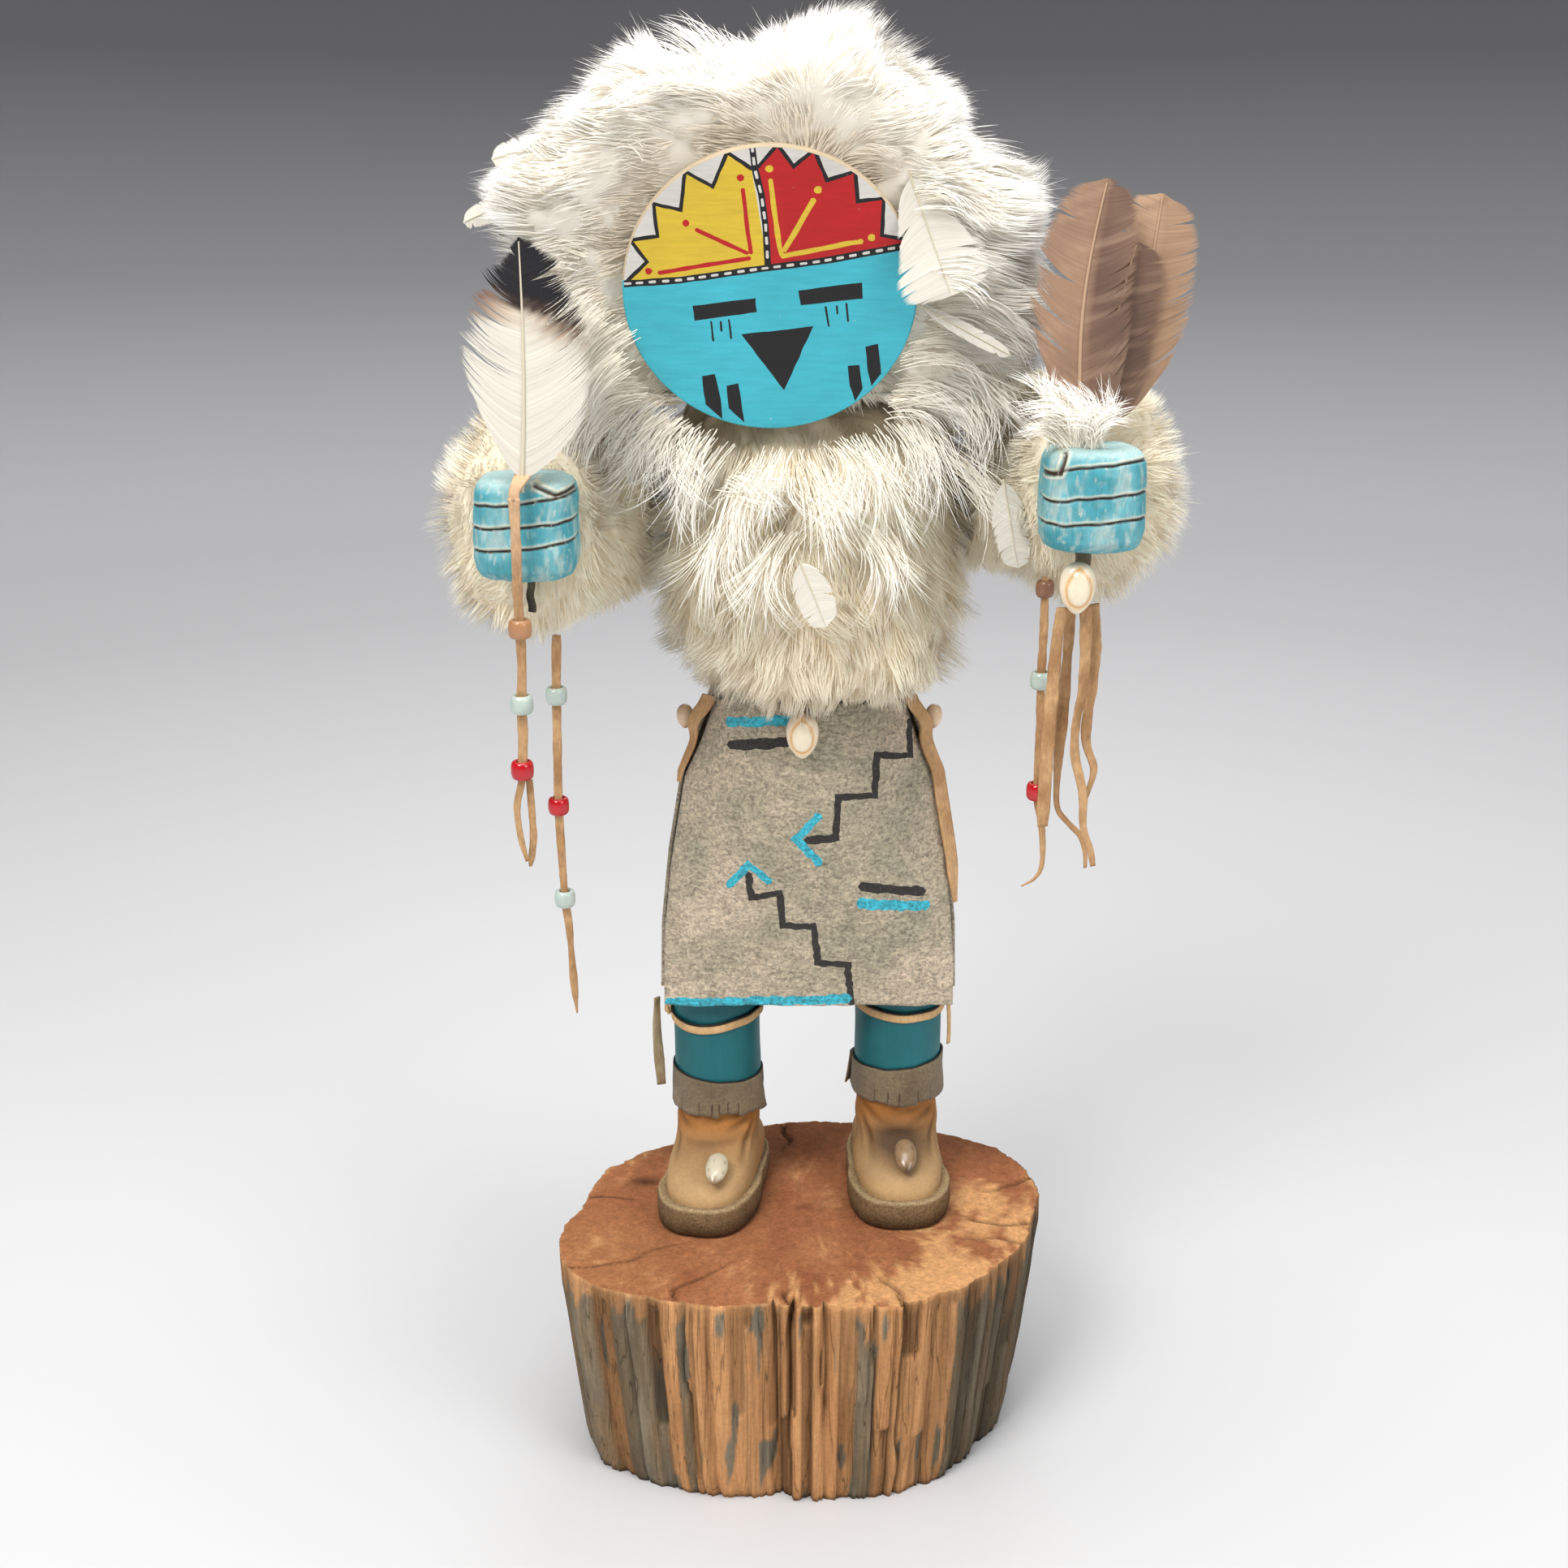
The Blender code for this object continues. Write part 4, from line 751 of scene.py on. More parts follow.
def make_mask():
    """The painted disc: each colour is its own faces, so that its edges stay crisp."""
    solid = Solid("mask_disc")
    front = solid.axes[2] * (-1 if solid.axes[2][1] > 0 else 1)
    up = unit(UP - UP.dot(front) * front)
    right = np.cross(up, -front)
    right = right * (1 if right[0] > 0 else -1)
    radius = solid.size[0] / 2 / MM
    thick = solid.size[2] / 2 / MM
    middle_at = solid.middle - MASK_DROP * MM * up
    face_middle = Vector(middle_at + front * thick * MM)
    normal = Vector(front)

    def spot(pixel):
        ray = pixel_ray(*pixel)
        at = CAMERA_AT + ray * ((face_middle - CAMERA_AT).dot(normal) / ray.dot(normal))
        away = np.array(at - face_middle) / MM
        return np.array((away @ right, away @ up))

    def spots(pixels):
        return np.array([spot(p) for p in pixels])

    cyan, chalk, yellow, red, black, wood = range(6)
    band = spots(MASK_BAND)
    post = spots(MASK_POST)
    ends = [math.atan2(p[1], p[0]) for p in (band[-1], band[0])]
    sweep = np.linspace(ends[0], ends[1], 40)
    arc = 1.1 * radius * np.stack([np.cos(sweep), np.sin(sweep)], 1)
    layers = [(np.concatenate([band, arc]), chalk)]
    sun_left, sun_right = spots(MASK_YELLOW), spots(MASK_RED)
    layers.append((patch(np.concatenate([sun_left, [post[-1]], [band[0] + (1.0, 0.3)]]), 11, 0.05), yellow))
    layers.append((patch(np.concatenate([sun_right, [band[-2]], [post[-1]]]), 12, 0.05), red))
    layers.append((stroke(np.concatenate([[band[0] + (1.2, 0.4)], sun_left]), 1.15, 21, 0.9, 0.10), black))
    layers.append((stroke(sun_right, 1.15, 25, 0.9, 0.10), black))
    for seed, line in enumerate(MASK_RED_LINES):
        layers.append((stroke(spots(line), 1.35, 31 + seed, 1.3, 0.10), red))
    for seed, line in enumerate(MASK_YELLOW_LINES):
        layers.append((stroke(spots(line), 1.55, 41 + seed, 1.3, 0.10), yellow))
    layers += [(disc(p, 1.10, 51 + k), red) for k, p in enumerate(spots(MASK_RED_DOTS))]
    layers += [(disc(p, 1.15, 61 + k), yellow) for k, p in enumerate(spots(MASK_YELLOW_DOTS))]
    for line, width, dash, gap, seed in ((post, 2.0, 2.1, 4.1, 71), (band, 2.15, 1.9, 3.9, 81)):
        layers.append((stroke(line, width, seed, 1.6, 0.08, 0.10), black))
        far = np.concatenate([[0.0], np.cumsum(np.linalg.norm(np.diff(line, axis=0), axis=1))])
        for k, middle in enumerate(np.arange(1.6, far[-1] - 0.8, gap)):
            ends_at = np.array((middle - dash / 2, middle + dash / 2)) + 0.25 * math.sin(5.1 * k)
            piece = np.stack([np.interp(ends_at, far, line[:, axis]) for axis in (0, 1)], 1)
            layers.append((stroke(piece, 0.85, seed + 3 + k, 0.8, 0.05), chalk))
    for k, shape in enumerate(MASK_EYES + (MASK_MOUTH,) + MASK_CHEEKS):
        layers.append((patch(spots(shape), 91 + k, 0.14), black))
    for k, line in enumerate(MASK_LASHES):
        layers.append((stroke(spots(line), 0.62, 111 + k, 1.2, 0.07), black))

    columns = 200
    turn = turns(columns)
    circle = on_ring(turn, 1.0)[:, :2]
    flat, faces, which = tessellate(circle * (radius - MASK_BEVEL), layers, 4.0)
    rings = [
        (radius - MASK_BEVEL, thick), (radius - 0.2, thick - 0.12), (radius, thick - 0.5),
        (radius, 0.5 - thick), (radius - 0.4, -thick),
    ]
    rim = np.concatenate([on_ring(turn, r, z) for r, z in rings] + [[[0.0, 0.0, -thick]]])
    first = len(flat)
    local = np.concatenate([np.concatenate([flat, np.full((first, 1), thick)], 1), rim])
    points = middle_at + MM * (local[:, :1] * right + local[:, 1:2] * up + local[:, 2:3] * front)
    walls = grid(len(rings), columns)[:, ::-1] + first
    last = first + (len(rings) - 1) * columns
    here = np.arange(columns)
    back = np.stack([np.full(columns, last + columns), last + (here + 1) % columns, last + here], -1)
    bare = (np.sin(turn) > 0.10)[np.tile(here, len(rings) - 1)]
    rim_paint = np.where(bare, wood, cyan)
    finishes = [paint_finish(f"mask_{name}", *look) for name, *look in MASK_PAINTS]
    paints = np.concatenate([which, rim_paint, np.full(columns, wood)])
    mask = build("painted_mask", points, [faces, walls, back], finishes, which=paints, smooth=False)
    for polygon in mask.data.polygons[len(faces):]:
        polygon.use_smooth = True
    return place(mask, "mask_paint", "mask_disc")


# The kilt's shape, as part of the solid's own description
BODY_X = 0.0093
KILT_LENGTH = 0.1200
KILT_WALL = 0.0015
KILT_TOP_Z = 0.2961
KILT_HALF = (34.3, 55.2)
KILT_HALF_SHARES = ((0.0, 0.0), (0.13, 0.25), (0.25, 0.545), (0.53, 0.815), (0.78, 0.965), (1.0, 1.0))
KILT_EDGE = (-2.0, -6.0)
KILT_FRONT_DEPTH = (20.0, 7.0)
KILT_BACK_DEPTH = 38.0
KILT_BACK_EDGE = 6.0
KILT_BLUE_BAR = ((897, 885), (974, 887))
KILT_BLACK_BAR = ((899, 915), (969, 914))
KILT_UPPER_STEPS = (
    (1121, 878), (1121, 926), (1080, 929), (1078, 979), (1033, 982), (1030, 1032), (994, 1035),
)
KILT_LOWER_STEPS = (
    (922, 1076), (925, 1106), (960, 1101), (965, 1141), (1002, 1141), (1008, 1186), (1044, 1189),
    (1049, 1237),
)
KILT_ARROWS = (((1009, 1004), (981, 1034), (1011, 1064)), ((898, 1091), (922, 1065), (949, 1087)))
KILT_LOW_BLACK = ((1061, 1092), (1138, 1096))
KILT_LOW_BLUE = ((1058, 1113), (1143, 1113))
KILT_HEM_BAND = ((822, 1228), (1046, 1231))


def kilt_half(t):
    places, shares = zip(*KILT_HALF_SHARES)
    return KILT_HALF[0] + np.interp(t, places, shares) * (KILT_HALF[1] - KILT_HALF[0])


def kilt_front_depth(across, t):
    """The front panel's depth in mm at a place across it in mm and a share of its length."""
    u = np.clip(np.abs(across) / kilt_half(t), 0, 1)
    edge = KILT_EDGE[0] + t * (KILT_EDGE[1] - KILT_EDGE[0])
    depth = KILT_FRONT_DEPTH[0] + t * (KILT_FRONT_DEPTH[1] - KILT_FRONT_DEPTH[0])
    return edge - depth * (1 - u ** 2.4)


def kilt_spot(pixel):
    """(across, down) in mm on the front panel of a pixel of the photograph."""
    y = -0.02
    for _ in range(6):
        at = at_depth(*pixel, y)
        across = (at.x - BODY_X) / MM
        t = (KILT_TOP_Z - at.z) / KILT_LENGTH
        y = float(kilt_front_depth(across, np.clip(t, 0, 1))) * MM
    return np.array((across, t * KILT_LENGTH / MM))


def suede_finish(name, light, dark, paint=None, wear=0.0, rough=1.0):
    """Napped suede, mottled in broad patches, or paint brushed over its nap."""
    hide = Finish(name, 0.95, 0.12)
    hide.set(Sheen_Weight=0.25, Sheen_Roughness=0.6)
    nap = hide.noise(0.0006, 6.0, (1.0, 1.0, 1.0), 0.62, 0.6)
    curls = hide.noise(0.0013, 4.0, (0.7, 1.0, 1.5), 0.6, 1.2)
    patches = hide.noise(0.014, 4.0, (1.0, 1.0, 1.0), 0.55)
    tone = hide.ramp(patches, (0.36, dark), (0.62, light))
    if paint:
        tone = hide.mix(hide.ramp(nap, (0.16 + wear, 0.25), (0.34 + wear, 1.0)), tone, paint)
    tone = hide.mottle(0.85 * rough, tone, nap, (0.32, 0.45), (0.50, 1.05), (0.70, 1.50))
    tone = hide.mottle(0.60 * rough, tone, curls, (0.38, 0.58), (0.60, 1.30))
    hide.colour(tone)
    under = hide.bump(nap, 0.0006, 1.0)
    hide.bump(curls, 0.0006, 0.8, under)
    return hide


def add_wall(piece, thickness, offset):
    """A sheet's thickness, to one side of it or, at offset 0, to both."""
    skin = piece.modifiers.new("wall", "SOLIDIFY")
    skin.thickness = thickness
    skin.offset = offset


def thicken(piece, wall):
    """Gives a sheet its thickness in its mesh; the new faces take its first finish."""
    outer = len(piece.data.polygons)
    add_wall(piece, wall, -1.0)
    done = bpy.data.meshes.new_from_object(piece.evaluated_get(bpy.context.evaluated_depsgraph_get()))
    piece.modifiers.clear()
    piece.data = done
    for polygon in done.polygons[outer:]:
        polygon.material_index = 0
    return piece


def halves(quads):
    """Each quad as two triangles."""
    return np.concatenate([quads[:, :3], quads[:, (0, 2, 3)]])


# Where each paint stands among the panel's finishes, after the bare suede
BLUE_PAINT, BLACK_PAINT = 1, 2
# Each painted line on the front panel: its points, its width in mm, its paint and its seed
KILT_LINES = (
    (KILT_UPPER_STEPS, 2.5, BLACK_PAINT, 3), (KILT_UPPER_STEPS[-2:], 3.5, BLACK_PAINT, 4),
    (KILT_LOWER_STEPS, 2.6, BLACK_PAINT, 5), (KILT_HEM_BAND, 3.8, BLUE_PAINT, 7),
    (KILT_BLUE_BAR, 3.8, BLUE_PAINT, 9), (KILT_BLACK_BAR, 3.8, BLACK_PAINT, 11),
    (KILT_LOW_BLACK, 3.8, BLACK_PAINT, 13), (KILT_LOW_BLUE, 3.8, BLUE_PAINT, 15),
    (KILT_ARROWS[0], 2.9, BLUE_PAINT, 17), (KILT_ARROWS[1], 2.8, BLUE_PAINT, 19),
)


def make_kilt_front():
    """The painted suede apron, cut crisp at its sides and a little uneven at the hem."""
    length = KILT_LENGTH / MM
    down = np.linspace(0, 1, 60)
    half = kilt_half(down)
    at = np.stack([0 * down, down * 9, 0 * down], -1)
    right_edge = np.stack([half + 0.35 * noise(at, 1.0, 3) - 0.2, down * length], 1)
    left_edge = np.stack([0.2 - half - 0.35 * noise(at, 1.0, 4), down * length], 1)
    across = np.linspace(-1, 1, 90)[1:-1]
    hem = np.stack([across * half[-1], length + 0.35 * noise(along_x(across * 12), 1.0, 6)], 1)
    top = np.stack([across[::-1] * half[0], 0 * across], 1)
    outline = np.concatenate([left_edge, hem, right_edge[::-1], top])

    layers = []
    for shape, width, paint, seed in KILT_LINES:
        line = np.array([kilt_spot(p) for p in shape])
        layers.append((stroke(line, width, seed, 0.6, 0.28, 0.22), paint))
    flat, faces, which = tessellate(outline, layers, 2.4)
    x, below = flat.T
    t = below / length
    within = np.clip(t, 0, 1)
    aside = np.abs(x) / kilt_half(within)
    at = np.pad(flat, ((0, 0), (0, 1)))
    sag = 0.55 * noise(at, 26.0, 8) + 0.12 * noise(at, 9.0, 9)
    depth = kilt_front_depth(x, within) + sag * smooth_step(t, 0.1, 0.4)
    depth = depth - 0.8 * smooth_step(aside, 0.86, 1.0) * t
    lift = 3.0 * np.clip(aside, 0, 1) ** 3 * (1 - 0.5 * t)
    corner = 2.2 * smooth_step(aside, 0.25, 1.0) * within ** 4
    z = KILT_TOP_Z / MM - below - lift * (1 - t) - corner
    points = np.stack([BODY_X / MM + x, depth, z], -1) * MM
    faces = faces[:, ::-1]
    first = points[faces[0]]
    if np.cross(first[1] - first[0], first[2] - first[0])[1] > 0:
        faces = faces[:, ::-1]
    finishes = [
        suede_finish("kilt_suede", SUEDE, SUEDE_DARK),
        suede_finish("kilt_blue_paint", SUEDE, SUEDE_DARK, linear(66, 198, 220)),
        suede_finish("kilt_black_paint", SUEDE, SUEDE_DARK, linear(52, 48, 46), 0.06),
    ]
    piece = build("painted_kilt_front", points, [faces], finishes, which=which)
    thicken(piece, KILT_WALL)
    place(piece, "grey_suede", "kilt_front")
    return piece


def make_kilt_back():
    """The plainer back panel, wrapped round to the sides."""
    rows, columns = 44, 90
    t = np.linspace(0, 1, rows)[:, None]
    u = np.linspace(-1, 1, columns)[None, :]
    a = math.pi / 2 * (1 - u)
    corner = 2 / 3.2
    c, s = np.cos(a), np.clip(np.sin(a), 0, 1)
    x = kilt_half(t) * np.sign(c) * np.abs(c) ** corner
    y = KILT_BACK_EDGE + KILT_BACK_DEPTH * s ** corner + 0 * t
    z = KILT_TOP_Z / MM - t * KILT_LENGTH / MM + 0 * u
    at = np.stack([x, y, z], -1)
    y = y - np.abs(0.7 * noise(at, 24.0, 14) * smooth_step(t, 0.1, 0.5)) * s
    hem = 0.4 * noise(at, 8.0, 15) * smooth_step(t, 0.9, 1.0)
    points = np.stack([BODY_X / MM + x, y, z + hem], -1).reshape(-1, 3) * MM
    faces = grid(rows, columns, False)
    piece = build("kilt_back_suede", points, [faces], [suede_finish("kilt_back_hide", SUEDE, SUEDE_DARK)])
    add_wall(piece, KILT_WALL, 1.0)
    place(piece, "grey_suede", "kilt_back")
    return piece


SIDES = (("left", -1), ("right", 1))


def leg_axis(side):
    """A point on the upright axis of a lower leg."""
    return Solid(f"leg_{side}").sections()[0][1]


def make_leg(side):
    """A carved round leg in satin paint, with faint knife flats."""
    levels = Solid(f"leg_{side}").sections()
    heights = [level[0] for level in levels]
    columns = 48
    knee = heights[1] + 0.01
    z = np.concatenate([np.linspace(heights[0], knee, 30), np.linspace(knee + 0.002, heights[-1], 16)])
    middle = np.stack([np.interp(z, heights, [level[1][axis] for level in levels]) for axis in (0, 1)], 1)
    half = np.interp(z, heights, [level[2][0] for level in levels])
    angles = turns(columns)
    at = np.stack([on_ring(angles, 17, height) for height in z / MM * 0.4])
    seed = 3 if side == "left" else 8
    radii = half[:, None] + MM * (0.28 * noise(at, 9.0, seed) + 0.10 * noise(at, 3.0, seed))
    rings = np.stack([
        middle[:, :1] + radii * np.cos(angles), middle[:, 1:] + radii * np.sin(angles),
        z[:, None] + 0 * radii,
    ], -1)
    points, faces = capped(rings)
    paint = Finish(f"leg_paint_{side}", 0.5, 0.4)
    strokes = paint.noise(0.0010, 5.0, (1.0, 1.0, 0.20), 0.6)
    blotch = paint.noise(0.010, 4.0)
    tone = paint.mottle(0.35, TEAL, blotch, (0.35, 0.70), (0.68, 1.35))
    tone = paint.mottle(0.20, tone, strokes, (0.30, 0.60), (0.70, 1.25))
    dull = paint.noise(0.006, 5.0, (1.0, 1.0, 0.5))
    paint.colour(paint.mix(paint.ramp(dull, (0.58, 0.0), (0.75, 0.35)), tone, linear(40, 92, 100)))
    paint.bump(strokes, 0.0002, 0.5)
    return place(build(f"painted_leg_{side}", points, faces, [paint]), "teal_paint", f"leg_{side}")


def blur_rows(values, spread):
    margin = 3 * spread
    padded = np.pad(values, ((margin, margin), (0, 0)), mode="edge")
    return sum(w * padded[margin + s: margin + s + len(values)] for s, w in zip(*bell(spread)))


# The boots' creases: each one's ends as (radians from the toe, share of the height), and its depth
BOOT_CREASES = (
    ((0.55, 0.34), (1.15, 0.66), 0.85), ((-0.50, 0.34), (-1.05, 0.62), 0.8),
    ((0.30, 0.62), (1.10, 0.74), 0.6), ((-0.35, 0.60), (-1.25, 0.78), 0.55),
    ((-0.7, 0.50), (0.7, 0.53), 0.55), ((-1.4, 0.30), (-2.2, 0.50), 0.5),
    ((1.4, 0.32), (2.2, 0.52), 0.5), ((-0.2, 0.72), (0.9, 0.80), 0.35),
)
# Each boot's turn in degrees, its noise seed, and how dirty its front, its sides and its heel are
BOOT_LOOKS = {"left": (-9.0, 5, 0.25, 0.12, 0.15), "right": (2.0, 9, 1.0, 0.35, 0.5)}


def make_boot(side):
    """The leather upper: creased at the instep, worn paler at the toe, smudged round the shell."""
    solid = Solid(f"boot_upper_{side}")
    centre = leg_axis(side)
    rows, columns = 54, 128
    z = np.linspace(solid.low[2] + 0.05 * MM, solid.high[2] - 0.05 * MM, rows)
    angles, radii = rounds(f"boot_upper_{side}", centre, z, columns, 2)
    radii = blur_rows(radii, 2)
    share = (z - z[0]) / (z[-1] - z[0])
    turn, seed, *dirty = BOOT_LOOKS[side]
    heading = (angles + math.pi / 2 - math.radians(turn) + math.pi) % (2 * math.pi) - math.pi
    a, h = np.meshgrid(heading, share)
    fold = np.zeros_like(a)
    for (a0, h0), (a1, h1), deep in BOOT_CREASES:
        span, rise = a1 - a0, h1 - h0
        run = np.clip(((a - a0) * span + (h - h0) * rise * 4) / (span ** 2 + rise ** 2 * 4), 0, 1)
        away = np.hypot((a - a0 - run * span) * 0.6, h - h0 - run * rise) / 0.045
        fade = np.sin(math.pi * np.clip(run, 0.06, 0.94))
        fold -= 1.5 * deep * np.exp(-(away ** 2)) * fade ** 0.5
        fold += 0.75 * deep * np.exp(-((away - 1.9) ** 2)) * fade
    at = on_ring(a, 20, h * 33)
    soft = 0.35 * noise(at, 7.0, seed) + 0.15 * noise(at, 2.6, seed + 1)
    calm = smooth_step(h, 0.02, 0.16)
    radii = radii + MM * calm * (0.75 * fold + soft)
    toe = np.clip(np.cos(a), 0, 1) * (1 - smooth_step(h, 0.2, 0.5))
    tone = blend(smooth_step(h, 0.36, 0.74), linear(202, 158, 106), linear(194, 130, 68))
    tone = blend(0.8 * toe, tone, linear(218, 180, 130))
    # Painted shade in the creases.
    tone = blend(0.45 * np.clip(-1.2 * fold, 0, 1), tone, linear(104, 68, 40))
    smudge = np.clip(noise(at, 8.0, seed + 3), 0, 1)
    front = np.exp(-((a / 0.8) ** 2 + ((h - 0.46) / 0.20) ** 2))
    heel = np.exp(-((h - 0.10) / 0.12) ** 2) * smooth_step(-np.cos(a), -0.4, 0.6)
    dirt = dirty[0] * front + dirty[1] * smudge + dirty[2] * heel
    tone = blend(np.clip(dirt, 0, 0.9), tone, linear(84, 64, 46))
    points, faces = capped(around(centre, angles, radii, z))
    tones = np.concatenate([tone.reshape(-1, 3), [linear(150, 110, 74)] * 2])
    leather = Finish(f"boot_leather_{side}", 0.72, 0.25)
    grain = leather.noise(0.0006, 4.0, (1.0, 1.0, 1.0), 0.6)
    soil = leather.noise(0.006, 5.0)
    colour = leather.painted()
    colour = leather.mottle(0.22, colour, grain, (0.32, 0.6), (0.66, 1.2))
    colour = leather.mottle(0.45, colour, soil, (0.34, 0.72), (0.60, 1.08))
    leather.colour(colour)
    leather.bump(grain, 0.00018, 0.7)
    piece = build(f"boot_leather_{side}", points, faces, [leather], tones)
    return place(piece, "tan_leather", f"boot_upper_{side}")


# The sole's section as (share of its height, inset in mm), and how far its front stands up and out
SOLE_SECTION = (
    (0.0, 3.0), (0.0, 1.0), (0.06, 0.35), (0.16, 0.05), (0.34, -0.15), (0.55, -0.1), (0.75, 0.0),
    (0.88, 0.10), (0.96, 0.40), (1.0, 0.95), (0.99, 1.6), (0.93, 2.6), (0.90, 6.0),
)
SOLE_RISE = 2.2 * MM
SOLE_REACH = 1.8


def make_sole(side):
    """The thick suede-edged sole, with a pale cut edge along its top."""
    solid = Solid(f"boot_sole_{side}")
    middle = solid.middle
    columns = 144
    low, high = solid.low[2], solid.high[2]
    angles, radii = rounds(f"boot_sole_{side}", middle, [(low + high) / 2], columns, 2)
    ahead = smooth_step(-np.sin(angles), 0.1, 0.8)
    rings, tones = [], []
    dark, mid, pale = linear(98, 76, 52), linear(150, 124, 90), linear(192, 166, 126)
    for share, inset in SOLE_SECTION:
        at = on_ring(angles, 30, share * 10)
        rough = 0.22 * noise(at, 1.6, 6) + 0.25 * noise(at, 6.0, 7)
        radius = radii[0] + MM * (rough - inset + SOLE_REACH * ahead)
        z = low + (high - low + SOLE_RISE * ahead) * share
        rings.append(around(middle, angles, radius[None], z)[0])
        worn = blend(smooth_step(share + 0.12 * noise(at, 4.0, 8), 0.1, 0.75), dark, mid)
        tones.append(blend(np.full(columns, float(0.90 < share and inset < 2.7)), worn, pale))
    points, faces = capped(np.array(rings))
    hide = Finish(f"sole_suede_{side}", 0.95, 0.15)
    nap = hide.noise(0.0005, 6.0, (1.0, 1.0, 1.0), 0.65)
    curls = hide.noise(0.0012, 4.0, (1.0, 1.0, 1.0), 0.6, 0.8)
    tone = hide.mottle(0.75, hide.painted(), nap, (0.28, 0.40), (0.72, 1.45))
    hide.colour(hide.mottle(0.4, tone, curls, (0.34, 0.6), (0.64, 1.25)))
    under = hide.bump(nap, 0.0006, 1.0)
    hide.bump(curls, 0.0005, 0.7, under)
    tones = np.concatenate([np.array(tones).reshape(-1, 3), [dark, mid]])
    piece = build(f"boot_sole_suede_{side}", points, faces, [hide], tones)
    return place(piece, "grey_suede", f"boot_sole_{side}")


# Cuts in the cuffs' lower edges, as degrees round the leg from +X
CUFF_CUTS = {
    "left": (-112, -96, -87, -76, -62, -140, -20, 30, 95, 150),
    "right": (-104, -90, -66, -122, -48, 20, 80, 130),
}
CUFF_START = {"left": -30.0, "right": 165.0}
CUFF_INNER = 16.95
CUFF_WALL = 0.8 * MM


def make_cuff(side):
    """The suede strip round the boot's top, cut into short tabs below, its loose end standing off."""
    solid = Solid(f"boot_cuff_{side}")
    centre = leg_axis(side)
    start = CUFF_START[side]
    degrees = np.arange(0.0, 372.0, 3.0)
    cuts = [(cut - start) % 360 for cut in CUFF_CUTS[side]]
    for cut in cuts:
        degrees = degrees[np.abs(degrees - cut) > 1.2]
        degrees = np.append(degrees, (cut - 0.45, cut + 0.45))
    degrees = np.sort(degrees)
    cut_after = np.zeros(len(degrees), bool)
    cut_after[np.searchsorted(degrees, cuts) - 1] = True
    angles = np.radians(degrees + start)
    rows = 12
    share = np.linspace(0, 1, rows)[:, None]
    at = on_ring(angles, 18)
    seed = 12 if side == "left" else 18
    top = solid.high[2] / MM - 1.75 - 1.4 * np.cos(angles - (0 if side == "left" else math.pi))
    top = top + 0.35 * noise(at, 5.0, seed)
    tab = np.cumsum(np.concatenate([[0], cut_after[:-1]]))
    rng = np.random.default_rng(seed)
    tab_drop = rng.uniform(-0.5, 0.9, tab.max() + 1)[tab]
    tab_out = rng.uniform(-0.1, 1.0, tab.max() + 1)[tab]
    bottom = solid.low[2] / MM + 0.9 + tab_drop + 0.35 * noise(at, 2.2, seed + 1)
    loose = smooth_step(degrees, 340, 372) + 0.6 * smooth_step(-degrees, -14, 0)
    z = top[None, :] + share * (bottom - top)[None, :]
    lie = CUFF_INNER + 0.55 + 0.9 * smooth_step(degrees, 352, 366)
    out = lie[None, :] + share ** 1.5 * (0.6 * tab_out + 0.1 + 1.5 * loose)[None, :]
    folds = np.stack(np.broadcast_arrays(at[:, 0], at[:, 1], 12 * share), -1)
    out = out + 0.25 * noise(folds, 5.0, seed + 2)
    points = around(centre / MM, angles, out, z).reshape(-1, 3) * MM
    faces = grid(rows, len(degrees), False)
    column = np.tile(np.arange(len(degrees) - 1), rows - 1)
    row = np.repeat(np.arange(rows - 1), len(degrees) - 1)
    faces = faces[~(cut_after[column] & (row > 0.55 * rows))]
    hide = suede_finish(f"cuff_hide_{side}", linear(146, 128, 98), linear(116, 98, 72), rough=0.45)
    piece = build(f"cuff_suede_{side}", points, [faces], [hide])
    add_wall(piece, CUFF_WALL, 0.0)
    place(piece, "grey_suede", f"boot_cuff_{side}")
    edge = np.full((1, len(angles)), CUFF_INNER + 0.35)
    ring = around(centre / MM, angles, edge, top + 0.25)[0, degrees < 360] * MM
    points, faces = tube(sweep(ring, 0.75 * MM, 0.75 * MM, 8, closed=True), closed=True)
    place(build(f"cuff_edge_line_{side}", points, faces, [dark_finish()]), "dark_tie")


@functools.cache
def dark_finish():
    """The near-black line over the cuffs and the garters."""
    dark = Finish("dark_lace", 0.7, 0.3)
    grain = dark.noise(0.0006, 4.0)
    dark.colour(dark.ramp(grain, (0.3, linear(26, 28, 28)), (0.7, linear(52, 54, 50))))
    dark.bump(grain, 0.0002, 0.6)
    return dark


# How square a swept lace's section is: 2 is an ellipse
SECTION_CORNER = 2.6


def sweep(route, width, thickness, corners=10, facing=(0.0, -1.0, 0.0), twist=0.0, closed=False):
    """Rings along a route: a flat lace's rounded section, its flat side towards facing."""
    route = np.asarray(route, float)
    if closed:
        tangent = unit(np.roll(route, -1, axis=0) - np.roll(route, 1, axis=0))
    else:
        tangent = unit(np.gradient(route, axis=0))
    facing = np.broadcast_to(np.asarray(facing, float), route.shape)
    side = unit(np.cross(tangent, facing))
    up = unit(np.cross(side, tangent))
    turn = np.broadcast_to(np.asarray(twist, float), len(route))[:, None]
    side, up = np.cos(turn) * side + np.sin(turn) * up, np.cos(turn) * up - np.sin(turn) * side
    c, s = squarish(-turns(corners, 0.5), 2 / SECTION_CORNER)
    half, deep = (np.broadcast_to(np.asarray(size, float) / 2, len(route)) for size in (width, thickness))
    aside = half[:, None, None] * c[None, :, None] * side[:, None]
    return route[:, None] + aside + deep[:, None, None] * s[None, :, None] * up[:, None]


